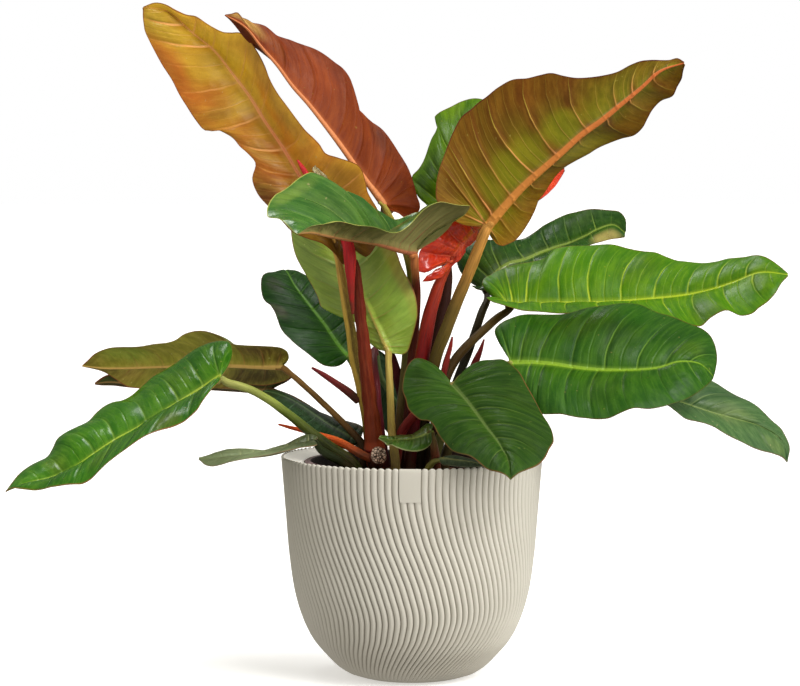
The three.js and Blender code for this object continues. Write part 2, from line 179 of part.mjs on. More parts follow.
    mid: [[25.9,-76,215.3],[30.4,-79,215.3],[34.8,-82.1,215.3],[39.2,-85.3,215.1],[43.5,-88.5,215],[47.8,-91.8,214.9],[52,-95.2,214.8],[56.1,-98.7,214.6],[60,-102.4,214.3],[63.9,-106.2,213.8],[67.6,-110,213.3]],
    left: [[25.9,-80,213.8],[26.8,-83.9,213],[27.9,-88,212.3],[29.3,-92.3,212.1],[30.9,-96.8,212.6],[32.8,-101.3,213.2],[35.4,-106.1,213.6],[39.2,-110.4,213.5],[43.1,-114.2,213.4],[46.5,-117.4,213.4],[50.3,-119.5,213.4],[54.3,-120.1,213.4],[58.3,-119.8,213.5],[61.9,-118.6,213.6],[64.5,-116.1,213.5],[66.1,-113,213.3],[67.6,-110,213]],
    right: [[25.9,-74,216],[26.8,-72.5,216.6],[27.9,-70.5,217.3],[29.4,-68.3,218.1],[32,-66.7,218.6],[35.2,-66,218.9],[38.9,-66.7,218.8],[42.9,-68.6,218.6],[46.9,-71.6,218.1],[50.9,-76.1,217.7],[54.9,-82,217.2],[58.4,-87.9,216.6],[61.1,-93,215.9],[63.3,-97.7,215.3],[65.1,-102.2,214.8],[66.5,-106.3,214.5],[67.6,-110,214.2]],
  },
};
// Leaf stalks and shoots: [x, y, z, radius] from the crown outwards.
const STALKS = {
  leaf_01_petiole: { color: 0xa07a46, path: [[-36.4,14,190.3,6.2],[-38.8,13,213.6,6],[-42.6,11,244.7,5.6],[-47.8,9,273.8,5.4],[-54.6,6,302.9,5.2],[-58.2,3,330,5],[-63.3,-1,360.8,4.6],[-67.5,-4,384.8,4],[-70.8,-5,402.9,3.4],[-76.1,-2,420,3],[-78.6,3,429.4,2.6]] },
  leaf_02_petiole: { color: 0x7c7a38, path: [[-16.1,26,190.9,4.8],[-13.7,15,220.2,4.8],[-10.8,15,252.1,4.6],[-7,20,282.6,4.6],[-4.3,25,313.2,4.5],[-2.1,27,342.1,4.2],[-0.4,24,367.4,4],[-1.4,20,388.7,3.8],[-7.5,14,411,3.4],[-18,8,434.1,3],[-24.2,4,445.6,2.8],[-27.1,5,450.4,2.4]] },
  leaf_03_petiole: { color: 0x844a34, path: [[-10.3,6,191.1,5],[-5.5,3,226.2,4.8],[-2.2,7,264.4,4.6],[0.2,11,302.6,4.5],[2.1,12,326.6,4.4],[3.6,9,346,4.3],[4.3,6,365.3,4.2],[3.9,-8,379.2,4],[2.4,-27,395.1,3.6],[0.5,-32,403.8,3.2]] },
  leaf_04_petiole: { color: 0xc85028, path: [[-2.7,-8,192.7,5.4],[0.2,-9,227.4,5.4],[3,-8,256,5.4],[6.8,-6,289.4,5.4],[11.6,-4,318,5.2],[15.9,0,341.6,5],[21.2,5,360.5,4.6],[28,10,379.5,4],[33.7,10.5,391,3.4],[35.6,9.4,394.1,3]] },
  leaf_05_petiole: { color: 0x96803c, path: [[6,4,191.4,6.2],[9.3,4,226.1,6],[14.1,1,260.1,5.8],[18.7,-8,289.5,5.8],[24.8,-17,314,5.9],[34.1,-25,338.2,6],[43,-29,362.1,5.8],[52.8,-32,385.8,5.6],[61.2,-34,407.6,5.2],[68.7,-35,426.4,4.6],[71.5,-35,431.1,4]] },
  leaf_06_petiole: { color: 0x7c3030, path: [[-3.6,20,189.6,5],[2.2,21,224.4,5],[9,23,258.2,5.1],[15.8,26,291.9,5.1],[21.6,29,315.9,5],[27.4,32,339.9,4.8],[32.8,37,363.9,4.6],[34.3,43,387.9,4.2],[31.5,49,412,3.6],[27.6,53,430.4,3],[25.2,55,440.1,2.6]] },
  leaf_07_petiole: { color: 0x4c5a2c, path: [[19.6,16,192,4.8],[27.4,26,223.9,4.6],[36.3,38,256.9,4.5],[45.2,49,282.4,4.4],[54.3,60,304.1,4.3],[62.4,72,326,4.2],[69.6,84,345,4],[74.8,94,356.4,3.4],[74.6,103,363,2.8]] },
  leaf_08_petiole: { color: 0x7a7a3c, path: [[17.4,-6,192.5,5.2],[19.8,-4,226.9,5],[26.5,0,260.1,5],[32.8,7,285.5,4.8],[42.6,15,303.3,4.6],[56.2,24,318.1,4.4],[71,34,331.1,4.2],[83.9,44,341.7,3.9],[92.9,51,347.2,3.4],[97,56,350.4,2.8]] },
  leaf_09_petiole: { color: 0x647a34, path: [[18.2,-20,194.1,5],[26.7,-22,228.6,4.9],[39,-25,257.5,4.7],[54.9,-30,278.8,4.5],[70.8,-35,291.5,4.2],[82.8,-41,298.6,3.8],[92,-46,302.2,3.2]] },
  leaf_10_petiole: { color: 0x9c3028, path: [[-18,-17,193.7,4.8],[-14.2,-20,214.1,4.8],[-9.4,-27,236.8,4.7],[0,-36,250.9,4.6],[11.3,-48,263.3,4.4],[24.2,-62,275.7,4],[34.3,-71,283,3.4]] },
  leaf_11_petiole: { color: 0x5a6434, path: [[29.1,6,191.1,4.9],[35.7,4,220.3,4.8],[49.9,-2,247.8,4.6],[74.5,-10,269.6,4.4],[102.8,-17,283.5,4],[129.1,-22,290.6,3.6],[142.3,-24,291.2,3]] },
  leaf_12_petiole: { color: 0x7c9a38, path: [[-49.4,-18,191.9,6],[-56.9,-21,206.6,6],[-70.2,-24,216.4,5.8],[-85.3,-27,228.2,5.2],[-100.3,-29,240.3,4.6],[-118.1,-33,255.4,4.2],[-135.8,-39,268.7,3.9],[-150.5,-44,277.6,3.8],[-163.5,-48,282.6,3.8],[-173.7,-50,285.6,3.4],[-179.6,-52,289,2.8]] },
  leaf_13_petiole: { color: 0xa88450, path: [[-48.7,-2,194,4.4],[-46.7,-1,219.9,4],[-62.2,8,238.2,3.3],[-80.7,19,255.6,3],[-100.4,30,273.1,2.8],[-116.2,38,286.1,2.8],[-125.1,43,292.6,2.6]] },
  leaf_14_petiole: { color: 0x50503c, path: [[-44.3,29,190.5,3.9],[-46.2,27,209.2,3.6],[-49.5,23,218.9,3.2],[-51.9,22,222.9,2.6]] },
  leaf_15_petiole: { color: 0x3c4434, path: [[-51.1,-33,191.7,4.6],[-58.5,-41,202.1,4.6],[-67.8,-48,211.4,4.4],[-78,-51,217.3,4.2],[-86.4,-53,223.2,3.6],[-91.1,-54,229,2.6]] },
  leaf_16_petiole: { color: 0x50602c, path: [[-33.6,27,190.8,4.4],[-36.5,27,223.8,4.2],[-41.8,26,253.1,4],[-49,25,277.4,3.8],[-55.7,24,294.9,3.2],[-59.6,24,302.6,2.6]] },
  leaf_17_petiole: { color: 0xb09a48, path: [[-15.1,-34,193.7,4.6],[-16,-33,210.7,4.4],[-18.9,-29,235,3.8],[-20.2,-23,264,3.5],[-21.3,-15,286.7,3.3],[-22.3,-8,302,3.2],[-22.8,-2,310.6,3]] },
  leaf_18_petiole: { color: 0x96304c, path: [[-24.8,13,190.4,4.8],[-27.2,13,210.7,4.8],[-30.6,15,234.7,4.6],[-33,18,258.6,4.4],[-35,26,282.2,4.2],[-37,38,298.8,3.8],[-36.6,50,307.7,3]] },
  leaf_19_petiole: { color: 0x6a5a34, path: [[-25.9,38,189.5,4.2],[-44.4,44,212.4,3.8],[-70,55,230.9,3.4],[-94.9,70,247.3,3],[-118,84,259.9,2.8],[-136.2,93,266.1,2.6]] },
  leaf_20_petiole: { color: 0x7c4630, path: [[24.4,-54,196,4.2],[22.4,-60,211.7,4.1],[20.5,-66,226.4,3.9],[18.6,-68,236.9,3],[18.1,-68,240.7,2.4]] },
  leaf_21_petiole: { color: 0xb0a850, path: [[11.2,-60,196.6,3.4],[14.9,-64,206.5,3.2],[20.4,-70,213.2,2.8],[25,-75,215.3,2.2]] },
  shoot_sheath: { color: 0x8a3a26, path: [[-34.2,-8,192.7,9.5],[-35.2,-9,213,9],[-37.5,-11,237.1,7.8],[-40.4,-13,266,6.8],[-43.6,-15,294.8,6.2],[-46.5,-16,323.5,5.8],[-49.3,-17,352.1,5.2],[-51.6,-17,375.8,4.6],[-53.5,-17,391.9,3.8],[-54.1,-17,399.5,2.4]] },
  new_shoot: { color: 0xc0281c, path: [[-55.8,-25,348.7,1.4],[-56.9,-25.5,361.9,2.6],[-57.8,-26,376.2,3.6],[-58.5,-26,392.2,5.2],[-59,-25,401.7,6],[-60.4,-24,413,5.8],[-65.2,-22,426.1,5.2],[-73.7,-20,441.2,4.6],[-85.1,-18,458.2,4],[-95.6,-16,474.3,3.2],[-104.1,-14,487.5,2.2],[-108.4,-13,494.1,0.8]] },
  cataphyll_1: { color: 0xb84a48, path: [[-51.2,9,263.2,3.8],[-62.1,6,273.1,3.8],[-74.5,2,282.1,3.2],[-85.9,-2,290,2.4],[-95.3,-6,296.1,1.2]] },
  cataphyll_2: { color: 0xc87034, path: [[-38.9,-22,210.5,4],[-49.3,-22,215.8,4.1],[-61.7,-19,222.6,3.9],[-74.2,-16,228.1,3.3],[-89.4,-15,233.2,2.9],[-108.3,-18,238.3,2.2],[-126.7,-21,243.3,0.9]] },
  cataphyll_3: { color: 0xb02c22, path: [[20.7,-5,234.7,4],[23.5,-11,248.6,4.3],[26.8,-14,266.1,4.2],[29.1,-14,285.2,3.8],[32.5,-14,302.4,3.3],[36.3,-14,315.7,2.4],[38.4,-14,326.2,1]] },
  cataphyll_4: { color: 0x7c2420, path: [[37.6,2,228.2,4.2],[42.4,5,247.2,4.2],[47.2,6,264.4,4.1],[53.9,7,282.6,4],[60.7,9,299.8,3.5],[66,11,312.2,2.6],[69.4,13,322.2,1]] },
  cataphyll_5: { color: 0xa02a2a, path: [[-9.4,36,189.8,4.6],[-8.4,31,223.4,4.8],[-7.4,30,247.9,5],[-9.8,31,270.1,5.2],[-16.1,30,294.5,4.8],[-22.9,29,315.9,3.6],[-28.7,27,334.4,1.2]] },
  cut_stub: { color: 0x6a5238, path: [[-34.7,-12,206.6,7.6],[-33.7,-18,209.1,7.8],[-32.4,-25,212.3,7.9],[-31.4,-30,214.4,7.7]] },
};

// ---- helpers ------------------------------------------------------------------
const vec = (p) => new THREE.Vector3(p[0], p[1], p[2]);

// uniform Catmull-Rom through a table of points, t from 0 to 1
function through(table, t) {
  const n = table.length - 1;
  const x = Math.min(Math.max(t, 0), 1) * n;
  const i = Math.min(Math.floor(x), n - 1);
  const f = x - i;
  const p1 = table[i], p2 = table[i + 1];
  const p0 = i > 0 ? table[i - 1] : p1.map((a, k) => 2 * a - p2[k]);
  const p3 = i + 2 <= n ? table[i + 2] : p2.map((a, k) => 2 * a - p1[k]);
  return p1.map((a, k) =>
    0.5 * (2 * a + (p2[k] - p0[k]) * f +
      (2 * p0[k] - 5 * a + 4 * p2[k] - p3[k]) * f * f +
      (3 * a - p0[k] - 3 * p2[k] + p3[k]) * f * f * f));
}

// a point of a blade's middle surface: r runs from notch to tip, v from the left
// edge (-1) over the midrib (0) to the right edge (1)
function bladePoint(leaf, r, v) {
  const m = Math.min(Math.max((r - leaf.share) / (1 - leaf.share), 0), 1);
  const M = vec(through(leaf.mid, m));
  const E = vec(through(v < 0 ? leaf.left : leaf.right, r));
  const f = vec(through(leaf.mid, Math.min(m + 0.02, 1)))
    .sub(vec(through(leaf.mid, Math.max(m - 0.02, 0)))).normalize();
  const rw = Math.min(Math.max(r, leaf.share + 0.06), 0.97);
  const W = vec(through(leaf.left, rw)).sub(vec(through(leaf.right, rw)));
  const n = f.clone().cross(W).normalize();
  const a = Math.abs(v);
  const h = E.distanceTo(M);
  const arch = 4 * a * (1 - a);
  return M.clone().lerp(E, a)
    .addScaledVector(n, leaf.bulge * h * arch * 0.9)
    .addScaledVector(f, -0.1 * h * arch * Math.min(4 * m, 1));
}

function plainGeometry(geometry) {
  geometry.deleteAttribute("normal");
  geometry.deleteAttribute("uv");
  return mergeVertices(geometry, 1e-3);
}

function solidOf(geometry) {
  const g = plainGeometry(geometry);
  const p = g.attributes.position.array;
  const index = [];
  const old = g.index.array;
  for (let i = 0; i < old.length; i += 3) {
    const [a, b, c] = [old[i], old[i + 1], old[i + 2]];
    if (a !== b && b !== c && c !== a) index.push(a, b, c);
  }
  const make = (list) => new wasm.Manifold(new wasm.Mesh({
    numProp: 3, vertProperties: new Float32Array(p), triVerts: new Uint32Array(list),
  }));
  const solid = make(index);
  if (solid.volume() >= 0) return solid;
  const turned = [];
  for (let i = 0; i < index.length; i += 3) turned.push(index[i], index[i + 2], index[i + 1]);
  return make(turned);
}

function geometryOf(solid) {
  const mesh = solid.getMesh();
  const n = mesh.numProp;
  const v = new Float32Array(mesh.numVert * 3);
  for (let i = 0; i < mesh.numVert; i++) {
    for (let k = 0; k < 3; k++) v[3 * i + k] = mesh.vertProperties[n * i + k];
  }
  const g = new THREE.BufferGeometry();
  g.setAttribute("position", new THREE.BufferAttribute(v, 3));
  g.setIndex(new THREE.BufferAttribute(new Uint32Array(mesh.triVerts), 1));
  return g;
}

// the largest body of a solid
function mainBody(solid) {
  return solid.decompose().reduce((a, b) => (b.volume() > a.volume() ? b : a));
}

function boxesMeet(a, b) {
  const p = a.boundingBox(), q = b.boundingBox();
  return [0, 1, 2].every((k) => p.min[k] <= q.max[k] && q.min[k] <= p.max[k]);
}

// A blade is a box with rows and columns of facets, bent on to the blade's surface.
function bladeSolid(leaf, thickness) {
  const { rows, cols } = leaf;
  const points = [];
  for (let i = 0; i <= rows; i++) {
    for (let j = 0; j <= cols; j++) {
      const k = 2 * j / cols - 1;
      const v = Math.sign(k) * Math.pow(Math.abs(k), 0.9);
      points.push(bladePoint(leaf, i / rows, v));
    }
  }
  const at = (i, j) => i * (cols + 1) + j;
  // rows of the fan share the point where the stalk meets the blade
  const same = points.map((p, a) => {
    for (let b = 0; b < a; b++) if (points[b].distanceTo(p) < 1e-3) return b;
    return a;
  });
  const normals = points.map(() => new THREE.Vector3());
  const face = new THREE.Triangle();
  const add = (a, b, c) => {
    face.set(points[a], points[b], points[c]);
    if (face.getArea() < 1e-6) return;
    const n = face.getNormal(new THREE.Vector3());
    for (const k of [a, b, c]) normals[same[k]].add(n);
  };
  for (let i = 0; i < rows; i++) {
    for (let j = 0; j < cols; j++) {
      add(at(i, j), at(i, j + 1), at(i + 1, j + 1));
      add(at(i, j), at(i + 1, j + 1), at(i + 1, j));
    }
  }
  const box = new THREE.BoxGeometry(2, 1, 1, cols, rows, 1);
  const p = box.attributes.position;
  for (let k = 0; k < p.count; k++) {
    const j = Math.round((p.getX(k) + 1) / 2 * cols);
    const i = Math.round((p.getY(k) + 0.5) * rows);
    const id = same[at(i, j)];
    const q = points[id].clone()
      .addScaledVector(normals[id].clone().normalize(), p.getZ(k) * thickness);
    p.setXYZ(k, q.x, q.y, q.z);
  }
  return solidOf(box);
}

// A stalk is a regular outline swept along its curve, then tapered.
function stalkSolid(stalk, extra) {
  const curve = new THREE.CatmullRomCurve3(stalk.path.map(vec), false, "centripetal");
  const steps = Math.max(3, Math.ceil(curve.getLength() / STALK_STEP));
  const outline = [];
  for (let k = 0; k < STALK_SIDES; k++) {
    const a = 2 * Math.PI * k / STALK_SIDES;
    outline.push(new THREE.Vector2(Math.cos(a), Math.sin(a)));
  }
  const g = new THREE.ExtrudeGeometry(new THREE.Shape(outline), {
    steps, bevelEnabled: false, extrudePath: curve,
  });
  const centres = curve.getSpacedPoints(steps);
  // share of the length at each given point, to look the radius up
  const dense = curve.getSpacedPoints(400);
  const given = stalk.path.map((q) => {
    const w = vec(q);
    let best = 0;
    dense.forEach((d, i) => { if (d.distanceTo(w) < dense[best].distanceTo(w)) best = i; });
    return best / 400;
  });
  const radius = (t) => {
    let i = 0;
    while (i < given.length - 2 && given[i + 1] < t) i++;
    const s = (t - given[i]) / Math.max(given[i + 1] - given[i], 1e-6);
    const f = Math.min(Math.max(s, 0), 1);
    return stalk.path[i][3] * (1 - f) + stalk.path[i + 1][3] * f;
  };
  const p = g.attributes.position;
  const v = new THREE.Vector3();
  for (let k = 0; k < p.count; k++) {
    v.fromBufferAttribute(p, k);
    let best = 0;
    centres.forEach((c, i) => { if (c.distanceTo(v) < centres[best].distanceTo(v)) best = i; });
    const c = centres[best];
    v.sub(c).multiplyScalar(radius(best / steps) + extra).add(c);
    p.setXYZ(k, v.x, v.y, v.z);
  }
  return solidOf(g);
}

// a solid of revolution about the Z axis from a closed [radius, height] outline
function turned(profile, facets) {
  const g = new THREE.LatheGeometry(profile.map(([r, z]) => new THREE.Vector2(r, z)), facets);
  g.rotateX(Math.PI / 2);
  return g;
}

const root = new THREE.Group();
function addPiece(name, geometry, color, roughness) {
  const mesh = new THREE.Mesh(geometry, new THREE.MeshStandardMaterial({
    color, roughness, metalness: 0, name: name + "_finish",
  }));
  mesh.name = name;
  root.add(mesh);
  return mesh;
}

// ---- pot, nursery pot, soil and crown -----------------------------------------
const inner = PLANTER_PROFILE.slice(0, -1)
  .filter(([, z]) => z > PLANTER_FLOOR + 2)
  .map(([r, z]) => [r - PLANTER_WALL - (z < 40 ? 2 : 0), z]);
const wallTop = PLANTER_HEIGHT - PLANTER_LEDGE_THICKNESS;
const planterOutline = [
  [0, 0], ...PLANTER_PROFILE,
  [PLANTER_LEDGE_RADIUS, PLANTER_HEIGHT],
  [PLANTER_LEDGE_RADIUS, wallTop],
  [125 - PLANTER_WALL - 0.4, wallTop],
  ...inner.reverse(),
  [58.6, PLANTER_FLOOR], [0, PLANTER_FLOOR],
];
addPiece("planter", geometryOf(solidOf(turned(planterOutline, PLANTER_FACETS))), 0xcdc6b6, 0.6);

const rimInner = NURSERY_RIM_RADIUS - NURSERY_RIM_WIDTH;
const nurseryRadius = (z) => NURSERY_BOTTOM_RADIUS +
  (rimInner + NURSERY_WALL - NURSERY_BOTTOM_RADIUS) * (z - NURSERY_BOTTOM) / (NURSERY_TOP - NURSERY_BOTTOM);
const skirt = NURSERY_TOP - NURSERY_RIM_DEPTH;
const nurseryOutline = [
  [0, NURSERY_BOTTOM], [NURSERY_BOTTOM_RADIUS, NURSERY_BOTTOM],
  [nurseryRadius(skirt + 6), skirt + 6],
  [NURSERY_RIM_RADIUS - 2, skirt + 6],
  [NURSERY_RIM_RADIUS - 2.2, skirt],
  [NURSERY_RIM_RADIUS - 0.6, skirt],
  [NURSERY_RIM_RADIUS, NURSERY_TOP - 1.2],
  [NURSERY_RIM_RADIUS - 1.2, NURSERY_TOP],
  [rimInner + 1, NURSERY_TOP],
  [rimInner, NURSERY_TOP - 1.2],
  [nurseryRadius(skirt) - NURSERY_WALL, skirt],
  [NURSERY_BOTTOM_RADIUS - NURSERY_WALL, NURSERY_BOTTOM + NURSERY_FLOOR],
  [0, NURSERY_BOTTOM + NURSERY_FLOOR],
];
let nursery = solidOf(turned(nurseryOutline, NURSERY_FACETS));
for (let k = 0; k < DRAIN_HOLES; k++) {
  const a = 2 * Math.PI * (k + 0.5) / DRAIN_HOLES;
  const drill = new THREE.CylinderGeometry(DRAIN_HOLE_RADIUS, DRAIN_HOLE_RADIUS, 10, 10);
  drill.rotateX(Math.PI / 2);
  drill.translate(DRAIN_HOLE_CIRCLE * Math.cos(a), DRAIN_HOLE_CIRCLE * Math.sin(a), NURSERY_BOTTOM);
  nursery = nursery.subtract(solidOf(drill));
}
addPiece("nursery_pot", geometryOf(nursery), 0x5c4c46, 0.55);

const soilOutline = (rise) => {
  const low = NURSERY_BOTTOM + NURSERY_FLOOR + GAP;
  const r = (z) => nurseryRadius(z) - NURSERY_WALL - 1.1;
  return [
    [0, low], [r(low) , low], [r(SOIL_TOP - 2), SOIL_TOP - 2 + rise],
    [r(SOIL_TOP) - 6, SOIL_TOP + rise],
    [50, SOIL_TOP + SOIL_CROWN * 0.6 + rise], [0, SOIL_TOP + SOIL_CROWN + rise],
  ];
};
addPiece("soil", geometryOf(solidOf(turned(soilOutline(0), 36))), 0x1f1a16, 0.95);
const ground = solidOf(turned(soilOutline(GAP), 36));

const crownGeometry = (extra) => {
  const g = turned([
    [0, 0], [1, 0], [0.97, 0.25], [0.8, 0.62], [0.5, 0.88], [0, 1],
  ], 24);
  g.scale(CROWN_RADIUS_X + extra, CROWN_RADIUS_Y + extra, CROWN_HEIGHT + extra);
  g.translate(CROWN_CENTER[0], CROWN_CENTER[1], SOIL_TOP + SOIL_CROWN + GAP - extra / 2);
  return g;
};
addPiece("stem_crown", geometryOf(solidOf(crownGeometry(0))), 0x4a3a2a, 0.8);
const crown = solidOf(crownGeometry(GAP));

// ---- blades -------------------------------------------------------------------
const blades = [];
for (const [name, leaf] of Object.entries(LEAVES)) {
  const fat = bladeSolid(leaf, BLADE_THICKNESS + 2 * GAP);
  blades.push({ name, leaf, solid: bladeSolid(leaf, BLADE_THICKNESS), fat });
}

// ---- stalks and shoots, each cut clear of the pieces that it grows against -----
const stalks = [];
for (const [name, stalk] of Object.entries(STALKS)) {
  let solid = stalkSolid(stalk, 0);
  solid = solid.subtract(ground).subtract(crown);
  const own = blades.find((b) => name === b.name + "_petiole");
  if (own) solid = solid.subtract(own.fat);
  for (const other of stalks) {
    if (boxesMeet(solid, other.fat)) solid = solid.subtract(other.fat);
  }
  solid = mainBody(solid);
  stalks.push({ name, solid, fat: stalkSolid(stalk, GAP), stalk });
}
for (const b of blades) addPiece(b.name + "_blade", geometryOf(b.solid), b.leaf.color, 0.35);
for (const s of stalks) addPiece(s.name, geometryOf(s.solid), s.stalk.color, 0.45);

export default root;
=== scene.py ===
import bpy, bmesh, math
import numpy as np
from mathutils import Vector, Matrix


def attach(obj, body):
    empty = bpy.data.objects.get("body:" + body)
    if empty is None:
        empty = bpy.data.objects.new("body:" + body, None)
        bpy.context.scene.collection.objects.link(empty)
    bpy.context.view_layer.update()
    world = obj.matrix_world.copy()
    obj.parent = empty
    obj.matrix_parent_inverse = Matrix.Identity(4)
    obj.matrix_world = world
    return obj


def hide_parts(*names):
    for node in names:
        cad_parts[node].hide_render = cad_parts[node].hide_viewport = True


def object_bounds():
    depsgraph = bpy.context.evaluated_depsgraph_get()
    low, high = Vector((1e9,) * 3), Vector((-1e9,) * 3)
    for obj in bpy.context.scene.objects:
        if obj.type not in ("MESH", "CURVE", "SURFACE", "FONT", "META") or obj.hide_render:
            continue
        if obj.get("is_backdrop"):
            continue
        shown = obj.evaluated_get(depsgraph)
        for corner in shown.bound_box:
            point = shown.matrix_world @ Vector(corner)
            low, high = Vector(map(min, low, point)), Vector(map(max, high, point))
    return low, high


# Potted orange-leaved philodendron, looks. Metres; the origin is on the pot's axis at the floor, -Y faces the viewer.
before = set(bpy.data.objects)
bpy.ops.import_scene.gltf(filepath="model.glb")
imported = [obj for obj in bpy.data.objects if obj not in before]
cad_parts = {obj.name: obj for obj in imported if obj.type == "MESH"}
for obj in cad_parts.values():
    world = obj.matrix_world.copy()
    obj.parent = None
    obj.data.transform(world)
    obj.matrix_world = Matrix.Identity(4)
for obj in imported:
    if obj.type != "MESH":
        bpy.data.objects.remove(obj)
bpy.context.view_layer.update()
rng = np.random.RandomState(7)
scene = bpy.context.scene

